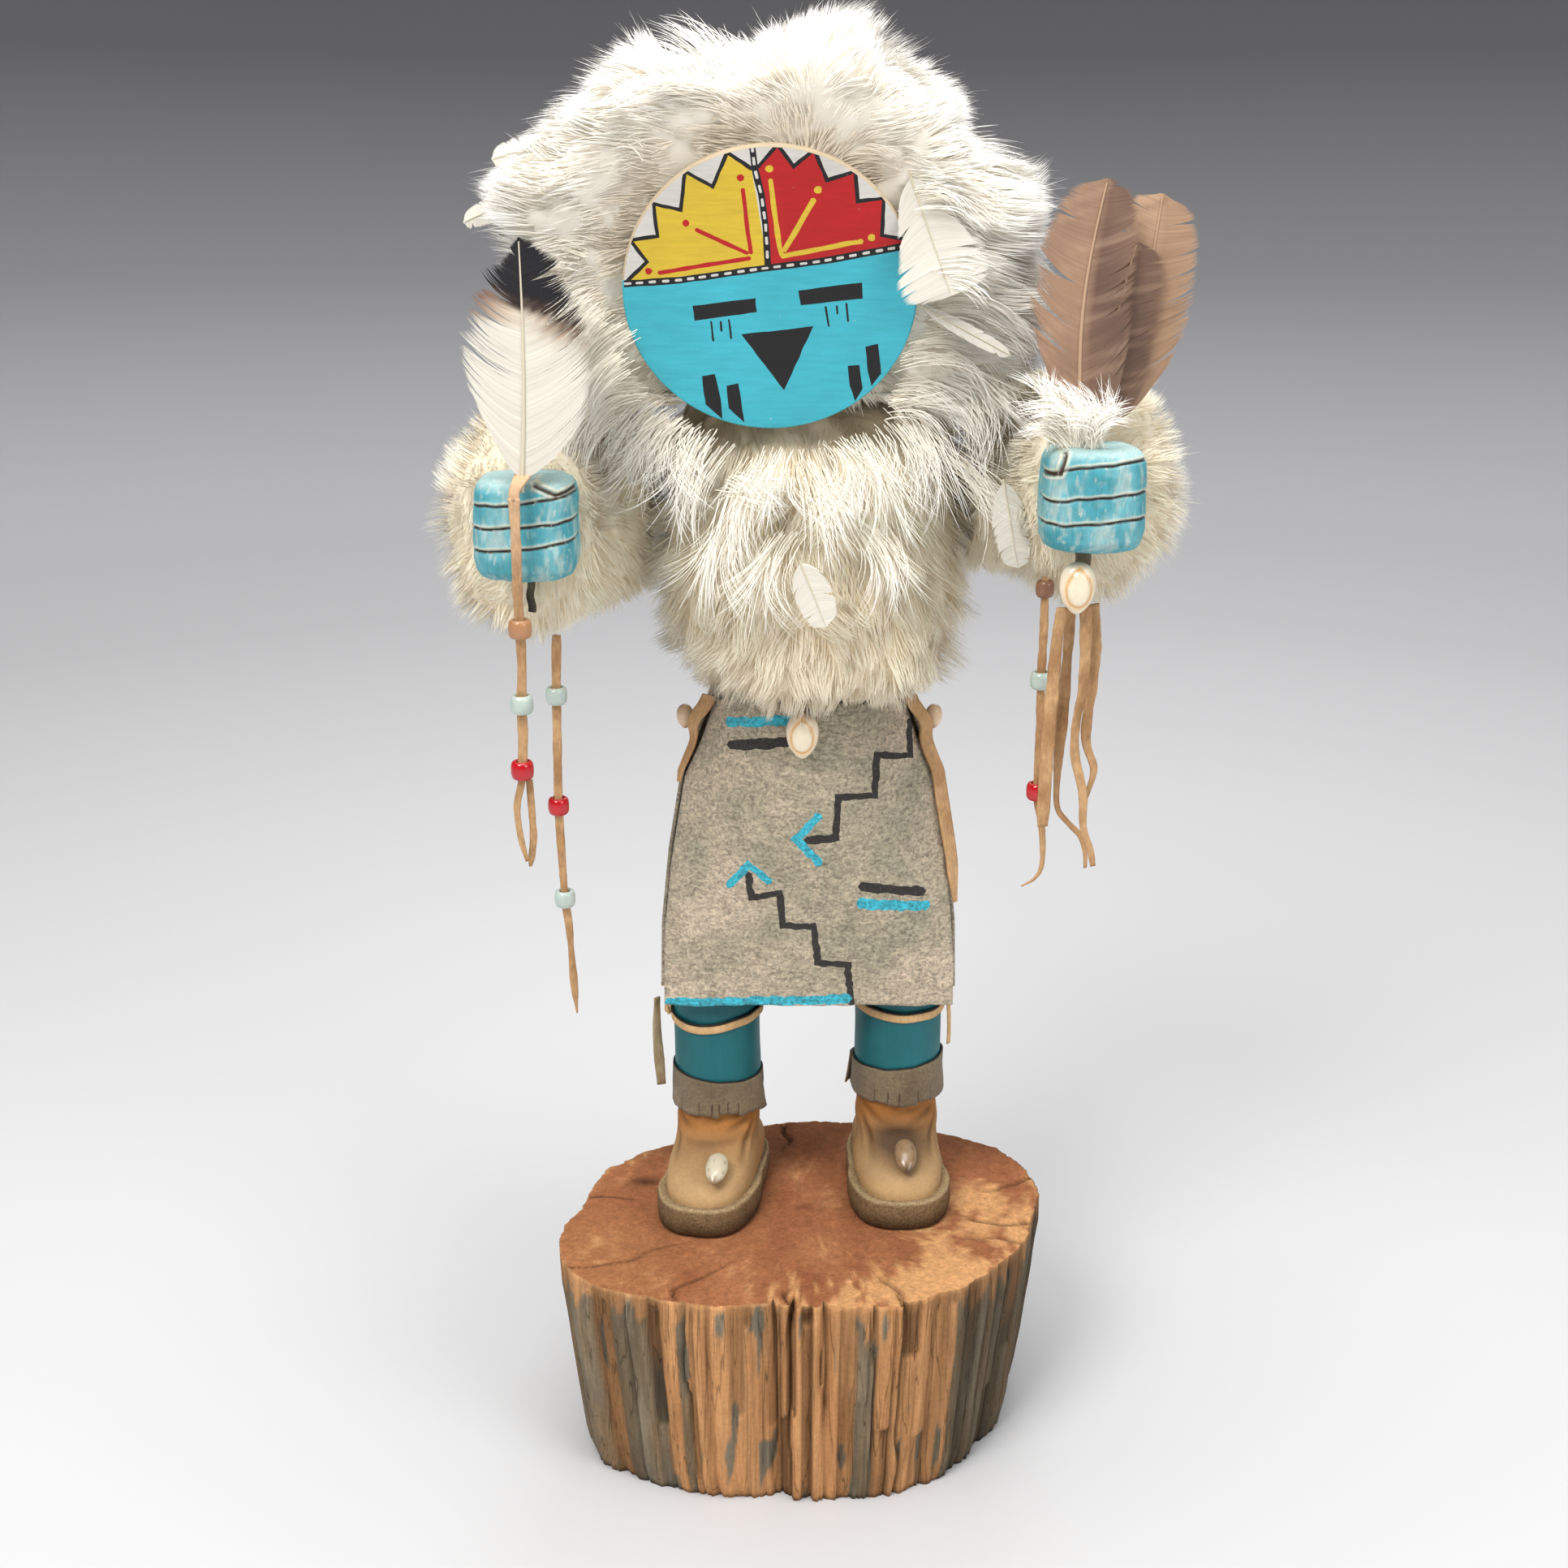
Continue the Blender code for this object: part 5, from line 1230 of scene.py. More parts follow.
def tube(rings, closed=False):
    """Points and faces of a swept skin, with fans at its ends, or joined round."""
    if not closed:
        return capped(rings)
    rows, columns, _ = rings.shape
    loop = np.concatenate([rings, rings[:1]])
    faces = grid(rows + 1, columns) % (rows * columns)
    return loop[:-1].reshape(-1, 3), [faces]


@functools.cache
def lace_finish(name, colour=LEATHER, deep=linear(188, 142, 98)):
    """Soft leather with a grain along the lace, and painted light that makes it paler and peach where it
    passes over the hand.
    """
    lace = Finish(name, 0.78, 0.22)
    grain = lace.noise(0.0005, 5.0, (1.0, 1.0, 0.35), 0.6)
    patches = lace.noise(0.006, 4.0)
    tone = lace.ramp(patches, (0.36, deep), (0.60, colour))
    # Painted light: paler from the height of the hands up.
    tone = lace.mix(lace.ramp(lace.level(), (0.345, 0.0), (0.385, 0.75)), tone, linear(228, 190, 154))
    lace.colour(lace.mottle(0.5, tone, grain, (0.30, 0.55), (0.70, 1.25)))
    lace.bump(grain, 0.00025, 0.8)
    return lace


GARTER_RADIUS = 17.6
GARTER_SECTION = (3.3 * MM, 1.1 * MM)


def make_garter(side, sign):
    """A leather lace tied round the leg, a dark line along its upper edge and a knot outside."""
    solid = Solid(f"knee_thong_{side}")
    centre = leg_axis(side)
    z0 = solid.middle[2] / MM
    angles = turns(96)
    ahead = np.clip(-np.sin(angles), 0, 1)
    at = on_ring(angles, 18)
    drop = -1.1 * ahead ** 2 + 0.25 * noise(at, 7.0, 4 + sign)
    if side == "left":
        drop = drop + 1.6 * np.cos(angles) * ahead
    z = z0 - 19 * math.tan(math.radians(3.5 * sign)) * np.cos(angles) + drop
    radius = GARTER_RADIUS + 0.1 * noise(at, 4.0, 9)
    ring = around(centre / MM, angles, radius[None], z)[0]
    outward = on_ring(angles, 1.0)
    band = tube(sweep(ring * MM, *GARTER_SECTION, 10, outward, closed=True), True)
    edge = ring + np.array((0.0, 0.0, 2.1)) + 0.1 * outward
    line = tube(sweep(edge * MM, 0.95 * MM, 0.95 * MM, 8, outward, closed=True), True)
    knot_z = z0 + (1.2 if side == "left" else 0.6)
    knot = np.array((centre[0] / MM + sign * 19.2, centre[1] / MM - 3.0, knot_z))
    turn = np.linspace(0, 2 * math.pi, 28)
    loop = knot + np.stack([0.7 * np.cos(turn), 1.5 * np.sin(turn), 1.3 * np.sin(2 * turn)], -1)
    parts = [band, capped(sweep(loop * MM, 1.7 * MM, 1.3 * MM, 8, (1.0, 0.0, 0.2)))]
    if side == "right":
        fall = np.linspace(0, 1, 16)[:, None]
        tail = knot + fall * np.array((0.6, 0.5, -19.0)) + np.array((0.4, 0.0, 0.0)) * np.sin(3 * fall)
        parts.append(capped(sweep(tail * MM, 2.6 * MM, 1.0 * MM, 10, (1.0, -0.6, 0.0))))
    leather = lace_finish("garter_leather", linear(246, 204, 150), linear(226, 182, 128))
    piece = build(f"garter_lace_{side}", *joined(parts), [leather])
    place(piece, "tan_leather", f"knee_thong_{side}")
    place(build(f"garter_dark_line_{side}", *line, [dark_finish()]), "dark_tie")
    return piece


def joined(parts):
    """Several (points, faces) as one."""
    points, groups, first = [], [], 0
    for spots, faces in parts:
        points.append(spots)
        groups += [np.asarray(f) + first for f in faces]
        first += len(spots)
    return np.concatenate(points), groups


def make_shell(name, node, colours, ring=False, rows=46, facing=(0.0, -1.0, 0.0)):
    """A small polished shell: an egg with a narrow foot. A ring cowrie has a gold line round a dome."""
    solid = Solid(node)
    up = solid.axes[0] * (1 if solid.axes[0][2] > 0 else -1)
    face = np.asarray(facing, float)
    face = unit(face - face.dot(up) * up)
    right = np.cross(face, up)
    right = right * (1 if right[0] > 0 else -1)
    tall = solid.size[0] / 2 + 0.1 * MM
    wide, deep = np.sort(np.ptp((solid.points - solid.middle) @ np.stack([right, face], 1), axis=0))[::-1] / 2
    wide = wide * (1.08 if ring else 1.0)
    v = np.linspace(-1, 1, rows)[:, None] * math.pi / 2
    a = turns(rows)[None, :]
    height = np.sin(v)
    slim = np.cos(v) * (1 + 0.16 * height) * (1 - 0.14 * smooth_step(-height, 0.5, 1.0))
    x = slim * np.cos(a)
    y = slim * np.sin(a)
    z = height + 0 * a
    if ring:
        peak = np.where(z > 0, 1 + 0.22 * np.clip(1 - np.abs(x) * 2.4, 0, 1), 1.0)
        reach = np.hypot(x / 0.66, (z + 0.02) / (0.64 * peak))
        dome = np.where(y > 0, 1 - smooth_step(reach, 0.86, 1.0), 0.0)
        line = np.where(y > 0, np.exp(-(((reach - 1.03) / 0.085) ** 2)), 0.0)
        halo = np.where(y > 0, np.exp(-(((reach - 1.12) / 0.20) ** 2)), 0.0)
        y = y * (1 + 0.10 * dome - 0.05 * line)
        rim, cream, gold, warm = colours
        tone = blend(dome, rim, cream)
        tone = blend(0.45 * halo, tone, warm)
        tone = blend(0.95 * line, tone, gold)
        tone = blend(0.5 * smooth_step(z, 0.72, 0.98), tone, linear(176, 132, 110))
    else:
        body, tip, spot = colours
        at = np.stack([x, y, z], -1) * 4
        tone = blend(smooth_step(-z, 0.45, 1.0), body, tip)
        tone = blend(0.5 * smooth_step(noise(at, 1.3, 3), 0.2, 0.7), tone, spot)
        tone = blend(0.35 * smooth_step(noise(at, 2.6, 4), 0.0, 0.6), tone, body)
    local = x[..., None] * wide * right + y[..., None] * deep * face + z[..., None] * tall * up
    points, faces = capped(solid.middle + local)
    gloss = Finish(f"{name}_polish", 0.22, 0.5)
    veins = gloss.noise(0.0012, 4.0, (1.0, 1.0, 0.5))
    gloss.colour(gloss.mottle(0.22, gloss.painted(), veins, (0.32, 0.72), (0.66, 1.18)))
    gloss.set(Coat_Weight=0.3, Coat_Roughness=0.12)
    gloss.bump(veins, 0.00008, 0.5)
    tones = np.concatenate([tone.reshape(-1, 3), tone[:1, 0], tone[-1:, 0]])
    piece = build(name, points, [f[:, ::-1] for f in faces], [gloss], tones)
    fix_outward(piece)
    return place(piece, "shell", node)


def fix_outward(piece):
    """Turns every face of a closed piece to point out."""
    bm = bmesh.new()
    bm.from_mesh(piece.data)
    bmesh.ops.recalc_face_normals(bm, faces=bm.faces)
    bm.to_mesh(piece.data)
    bm.free()


def make_shells():
    """Both ring cowries, the shells on the boots and at the hips. It returns the hand's."""
    cowrie = (shown(250, 234, 208), shown(248, 234, 206), shown(230, 168, 84), shown(246, 212, 158))
    plain = (linear(226, 214, 186), linear(150, 120, 84), linear(176, 158, 116))
    brown = (linear(164, 134, 100), linear(96, 70, 48), linear(120, 94, 66))
    pink = (shown(238, 206, 170), shown(204, 160, 124), shown(248, 224, 194))
    make_shell("ring_cowrie_kilt", "kilt_cowrie", cowrie, True, facing=(-0.05, -1.0, 0.0))
    hand = make_shell("ring_cowrie_hand", "hand_cowrie_right", cowrie, True)
    make_shell("boot_shell_pale", "boot_shell_left", plain, facing=(0.0, -1.0, 0.6))
    make_shell("boot_shell_brown", "boot_shell_right", brown, facing=(0.0, -1.0, 0.6))
    for side, _ in SIDES:
        make_shell(f"hip_shell_small_{side}", f"hip_shell_{side}", pink, rows=40)
    return hand


# The laces' routes, as in the solids' own description
ROUTE_LEFT_FRONT = (
    (-0.0814, -0.0975, 0.3820), (-0.0813, -0.0978, 0.3658), (-0.0817, -0.0962, 0.3561),
    (-0.0820, -0.0935, 0.3470), (-0.0820, -0.0922, 0.3404), (-0.0821, -0.0910, 0.3281),
    (-0.0828, -0.0902, 0.3155), (-0.0829, -0.0898, 0.3043), (-0.0836, -0.0895, 0.2936),
    (-0.0840, -0.0894, 0.2894), (-0.0859, -0.0890, 0.2808), (-0.0852, -0.0888, 0.2705),
    (-0.0834, -0.0885, 0.2621),
)
ROUTE_LEFT_LOOP = (
    (-0.0819, -0.0866, 0.2892), (-0.0817, -0.0866, 0.2835), (-0.0815, -0.0866, 0.2773),
    (-0.0814, -0.0864, 0.2700), (-0.0822, -0.0856, 0.2635), (-0.0830, -0.0848, 0.2590),
)
ROUTE_LEFT_BACK = (
    (-0.0765, -0.0450, 0.3270), (-0.0769, -0.0450, 0.3180), (-0.0773, -0.0450, 0.3060),
    (-0.0777, -0.0450, 0.2860), (-0.0780, -0.0450, 0.2665), (-0.0776, -0.0450, 0.2490),
    (-0.0770, -0.0450, 0.2322), (-0.0759, -0.0450, 0.2210), (-0.0752, -0.0450, 0.2050),
    (-0.0742, -0.0450, 0.1880),
)
ROUTE_RIGHT_BACK = (
    (0.0865, -0.0500, 0.3478), (0.0864, -0.0500, 0.3440), (0.0866, -0.0500, 0.3300),
    (0.0864, -0.0500, 0.3127), (0.0868, -0.0500, 0.2930), (0.0866, -0.0500, 0.2735),
    (0.0888, -0.0500, 0.2605), (0.0893, -0.0515, 0.2480), (0.0868, -0.0535, 0.2430),
    (0.0820, -0.0560, 0.2410),
)
ROUTE_STRAP_WIDE = (
    (0.0880, -0.0790, 0.3440), (0.0872, -0.0775, 0.3340), (0.0866, -0.0765, 0.3190),
    (0.0860, -0.0755, 0.3010), (0.0857, -0.0748, 0.2850), (0.0856, -0.0742, 0.2690),
)
ROUTE_STRAP_CURLED = (
    (0.0915, -0.0745, 0.3450), (0.0916, -0.0728, 0.3330), (0.0912, -0.0718, 0.3180),
    (0.0907, -0.0708, 0.3010), (0.0903, -0.0702, 0.2860), (0.0908, -0.0700, 0.2745),
    (0.0945, -0.0698, 0.2690), (0.0990, -0.0690, 0.2640), (0.1010, -0.0690, 0.2580),
    (0.1013, -0.0690, 0.2525),
)
ROUTE_STRAP_WAVY = (
    (0.0955, -0.0785, 0.3450), (0.0964, -0.0770, 0.3340), (0.0964, -0.0762, 0.3170),
    (0.0948, -0.0758, 0.3050), (0.0950, -0.0755, 0.2940), (0.0982, -0.0750, 0.2810),
    (0.0990, -0.0746, 0.2690), (0.1018, -0.0742, 0.2610), (0.1030, -0.0740, 0.2550),
)
ROUTE_STRAP_OUTER = (
    (0.0990, -0.0735, 0.3440), (0.1003, -0.0722, 0.3330), (0.1002, -0.0716, 0.3200),
    (0.0990, -0.0708, 0.2990), (0.1022, -0.0704, 0.2880), (0.1006, -0.0706, 0.2800),
    (0.0990, -0.0708, 0.2745),
)
TAIL_WIDTH = 4.5
TAIL_LENGTH = 37.0


def smooth_route(points, spacing=1.1 * MM):
    """Points along a smooth curve through a route's own points."""
    spots = [np.asarray(p, float) for p in points]
    spots = [2 * spots[0] - spots[1]] + spots + [2 * spots[-1] - spots[-2]]
    line = []
    for a, b, c, d in zip(spots, spots[1:], spots[2:], spots[3:]):
        steps = max(2, round(float(np.linalg.norm(c - b)) / spacing))
        for k in range(steps):
            t = k / steps
            line.append(0.5 * (2 * b + (c - a) * t + (2 * a - 5 * b + 4 * c - d) * t ** 2
                               + (3 * b - a - 3 * c + d) * t ** 3))
    line.append(spots[-2])
    return np.array(line)


def route_length(line):
    return float(np.linalg.norm(np.diff(line, axis=0), axis=1).sum())


# The lower half of a bead's section as (share of its radius, share of half its height), and its hole
BEAD_SECTION = (
    (0.50, -0.70), (0.52, -0.90), (0.60, -0.99), (0.72, -1.0), (0.84, -0.92), (0.94, -0.70), (0.99, -0.38),
)
BEAD_HOLE = 0.49


def make_bead(node, slot, finish):
    """A turned pony bead with a rounded edge and a real hole."""
    solid = Solid(node)
    axis = solid.axes[np.argmax(np.abs(solid.axes[:, 2]))]
    side = unit(np.cross(axis, (0.0, 1.0, 0.0)))
    other = np.cross(axis, side)
    away = solid.points - solid.middle
    tall = np.ptp(away @ axis) / 2
    wide = np.linalg.norm(away - np.outer(away @ axis, axis), axis=1).max()
    below = np.array(BEAD_SECTION)
    profile = np.concatenate([below, [(1.0, 0.0)], below[::-1] * (1, -1), [(BEAD_HOLE, 0.0)]])
    a = turns(32)[:, None]
    ring = np.cos(a) * side + np.sin(a) * other
    rings = profile[:, None, :1] * wide * ring[None] + profile[:, None, 1:] * tall * axis + solid.middle
    points, faces = tube(rings, True)
    piece = build(f"turned_{node}", points, faces, [finish])
    fix_outward(piece)
    return place(piece, slot, node)


def bead_finish(name, colour, roughness, milky=0.0):
    glass = Finish(name, roughness, 0.5)
    cloud = glass.noise(0.004, 3.0)
    glass.colour(glass.mottle(0.35, colour, cloud, (0.35, 0.75), (0.65, 1.2)))
    glass.set(Subsurface_Weight=milky, Subsurface_Scale=0.002, Coat_Weight=0.4, Coat_Roughness=0.1)
    return glass


def make_beads():
    """The pony beads of each thong, in order down it."""
    milk = bead_finish("milky_glass", linear(206, 222, 212), 0.2, 0.4)
    red = bead_finish("red_glass", linear(206, 22, 34), 0.15)
    tan = bead_finish("tan_glaze", linear(196, 140, 96), 0.35)
    brown = bead_finish("brown_glaze", linear(150, 104, 76), 0.4)
    made = {}
    for thong, beads in (
        ("left_front", (("tan", "tan", tan), ("white", "white", milk), ("red", "red", red))),
        ("left_back", (("white_upper", "white", milk), ("red", "red", red), ("white_lower", "white", milk))),
        ("right_back", (("brown", "tan", brown), ("white", "white", milk), ("red", "red", red))),
    ):
        made[thong] = [make_bead(f"bead_{thong}_{end}", f"bead_{slot}", glass) for end, slot, glass in beads]
    return made


def make_lace(name, node, route, width, thick, shape, twist=(0.0, 0.0), groove=0.0, seed=1,
              finish=None):
    """One hanging lace: a flat section along its route, its width shaped along it."""
    line = smooth_route(route)
    share = np.linspace(0, 1, len(line))
    length = route_length(line)
    at = along_x(share) * length / MM
    uneven = 1 + 0.10 * noise(at, 5.0, seed) + 0.05 * noise(at, 1.8, seed)
    wide = width * MM * np.interp(share, *zip(*shape)) * uneven
    thin = np.interp(share, (0.0, 0.93, 1.0), (1.0, 0.9, 0.35))
    thickness = thick * MM * thin * (1 + 0.15 * noise(at, 3.0, seed + 1))
    turn = np.interp(share, np.linspace(0, 1, len(twist)), np.radians(twist))
    turn = turn + 0.16 * noise(at, 9.0, seed + 2)
    rings = sweep(line, wide, thickness, 14, twist=turn)
    if groove:
        a = -turns(14, 0.5)
        notch = 1 - groove * np.exp(-((np.cos(a) / 0.22) ** 2)) * (np.sin(a) > 0)
        rings = line[:, None] + (rings - line[:, None]) * notch[None, :, None]
    points, faces = capped(rings)
    piece = build(name, points, faces, [finish or lace_finish("lace_leather")])
    place(piece, "tan_leather", node)
    return piece


# How each lace's width runs, as (share of its length, share of its width), and its turns in degrees
LACE_EVEN = ((0.0, 1.0), (0.9, 1.0), (1.0, 0.55))
LACE_FRONT = ((0.0, 1.0), (0.70, 0.95), (0.78, 0.70), (0.94, 0.66), (1.0, 0.35))
LACE_BACK = ((0.0, 1.0), (0.76, 0.85), (0.82, 0.62), (0.90, 1.05), (0.95, 0.75), (1.0, 0.16))
LACE_RIGHT = ((0.0, 1.0), (0.70, 0.95), (0.85, 0.8), (1.0, 0.40))
STRAP_WIDE = ((0.0, 0.85), (0.3, 1.0), (0.92, 1.0), (1.0, 0.8))
STRAP_CURLED = ((0.0, 0.9), (0.45, 1.0), (0.66, 0.62), (0.86, 0.55), (1.0, 0.36))
STRAP_WAVY = ((0.0, 0.95), (0.35, 1.0), (0.60, 0.72), (0.85, 0.66), (1.0, 0.42))
STRAP_OUTER = ((0.0, 0.95), (0.4, 1.0), (0.8, 0.72), (1.0, 0.55))


def make_laces(beads, cowrie):
    """The thongs and loose straps, each along the route of its solid."""
    for name, node, route, width, thick, shape, twist, pieces, groove, seed in (
        ("lace_left_front", "thong_left_front", ROUTE_LEFT_FRONT, 3.3, 1.7, LACE_FRONT,
         (0.0, 8.0, 0.0, -12.0, 20.0), beads["left_front"], 0.55, 3),
        ("lace_left_front_loop", "thong_left_front_loop", ROUTE_LEFT_LOOP, 2.3, 1.2, LACE_EVEN,
         (20.0, -10.0, 30.0), (), 0.0, 5),
        ("lace_left_back", "thong_left_back", ROUTE_LEFT_BACK, 3.2, 1.4, LACE_BACK,
         (0.0, 14.0, -10.0, 6.0, 24.0, 40.0), beads["left_back"], 0.3, 7),
        ("lace_right_back", "thong_right_back", ROUTE_RIGHT_BACK, 3.0, 1.4, LACE_RIGHT,
         (0.0, -14.0, 10.0, 26.0, 50.0), beads["right_back"], 0.0, 11),
        ("strap_wide_flat", "strap_right_wide", ROUTE_STRAP_WIDE, 4.4, 1.3, STRAP_WIDE,
         (20.0, 6.0, -4.0, 10.0), [cowrie], 0.3, 13),
        ("strap_curled_flat", "strap_right_curled", ROUTE_STRAP_CURLED, 4.0, 1.2, STRAP_CURLED,
         (10.0, 30.0, -8.0, 18.0, 60.0, 20.0), (), 0.0, 17),
        ("strap_wavy_flat", "strap_right_wavy", ROUTE_STRAP_WAVY, 4.2, 1.2, STRAP_WAVY,
         (-20.0, 14.0, 44.0, 6.0, -30.0, 10.0), (), 0.25, 19),
        ("strap_outer_flat", "strap_right_outer", ROUTE_STRAP_OUTER, 3.8, 1.2, STRAP_OUTER,
         (8.0, -26.0, 20.0, 50.0), (), 0.0, 23),
    ):
        make_lace(name, node, route, width, thick, shape, twist, groove, seed)


def make_garter_tail():
    """The garter's loose end on the viewer's left."""
    solid = Solid("knee_thong_tail_left")
    x, y = solid.middle[:2]
    top, bottom = solid.high[2], solid.low[2]
    route = ((x - 0.0002, y, top), (x - 0.0005, y, top - 0.4 * TAIL_LENGTH * MM), (x + 0.0008, y, bottom))
    make_lace("garter_lace_end", "knee_thong_tail_left", route, TAIL_WIDTH, 1.3,
              ((0.0, 0.7), (0.25, 0.8), (0.7, 1.0), (1.0, 0.8)), (50.0, 30.0, 14.0), seed=29,
              finish=lace_finish("pale_leather", linear(196, 176, 140), linear(168, 148, 114)))


HIP_STRIP_WALL = 1.1 * MM
HIP_STRIP_TAPER = {"left": (1.0, 1.1, 0.5, 0.35, 0.2), "right": (0.9, 1.0, 1.0, 0.8, 0.3)}
HIP_SHELL_Z = {side: Solid(f"hip_shell_{side}").middle[2] / MM for side, _ in SIDES}


def make_hip_strap(side, sign):
    """The leather strip along the kilt's side edge: out to the shell at the hip, then tapering to its end."""
    solid = Solid(f"hip_strap_{side}")
    rows, columns = 60, 9
    share = np.linspace(0, 1, rows)[:, None]
    s = np.linspace(-1, 1, columns)[None, :]
    z = solid.high[2] - share * (solid.high[2] - solid.low[2])
    t = (KILT_TOP_Z - z) / KILT_LENGTH
    half = 2.5 * np.interp(share, (0.0, 0.2, 0.5, 0.85, 1.0), HIP_STRIP_TAPER[side])
    at = np.stack([10 * share + 0 * s, 4 * s + 0 * share, 0 * share + 0 * s], -1)
    ruffle = 0.45 * noise(at, 2.4, 31 + sign) + 0.3 * np.sin(9 * share + s)
    hip = 2.6 * np.exp(-(((z / MM - HIP_SHELL_Z[side]) / 5.0) ** 2))
    edge = KILT_EDGE[0] + t * (KILT_EDGE[1] - KILT_EDGE[0])
    x = BODY_X / MM + sign * (kilt_half(t) + 1.5 + hip + 0.9 * half * s + 0.3 * ruffle)
    y = edge - 1.0 + 0.9 * half * s + 0.5 * ruffle
    points = np.stack([x, y, z / MM + 0 * s], -1).reshape(-1, 3) * MM
    faces = grid(rows, columns, False)
    hide = lace_finish("hip_leather", linear(236, 190, 140), linear(208, 162, 114))
    strip = build(f"hip_strip_{side}", points, [faces], [hide])
    add_wall(strip, HIP_STRIP_WALL, 0.0)
    return place(strip, "tan_leather", f"hip_strap_{side}")


# Grooves between the fingers and at the thumb, as pixels of the photograph
FINGER_LINES = {
    "left": (
        ((586, 626), (640, 622), (712, 613)), ((588, 654), (640, 651), (712, 645)),
        ((592, 681), (640, 679), (711, 668)),
    ),
    "right": (
        ((1281, 588), (1340, 577), (1411, 570)), ((1281, 622), (1340, 616), (1411, 609)),
        ((1282, 650), (1340, 648), (1410, 641)),
    ),
}
THUMB_LINES = {"left": ((658, 600), (684, 612), (711, 606)), "right": ((1284, 590), (1308, 586), (1316, 562))}
FIST_FRONT_Y = -0.0915
# A fist's upright section as (share of its height, share of its half width), and how square it is from above
FIST_SECTION = (
    (0.0, 0.0), (0.0, 0.40), (0.0, 0.68), (0.012, 0.80), (0.045, 0.90), (0.11, 0.965), (0.24, 0.995),
    (0.5, 1.0), (0.76, 0.995), (0.88, 0.97), (0.955, 0.90), (0.99, 0.82), (1.0, 0.70), (1.0, 0.42),
    (1.0, 0.0),
)
FIST_CORNER = 2 / 3.4
FIST_SCALE = np.array((0.965, 1.0, 0.975))
FIST_SHIFT = np.array((-0.4, 0.0, 0.3))
WRAP_START = (-0.0814, -0.0977, 0.3812)
WRAP_ROUTE = (((634, 604), -0.0972), ((638, 596), -0.0962), ((642, 589), -0.0935), ((646, 583), -0.0895))


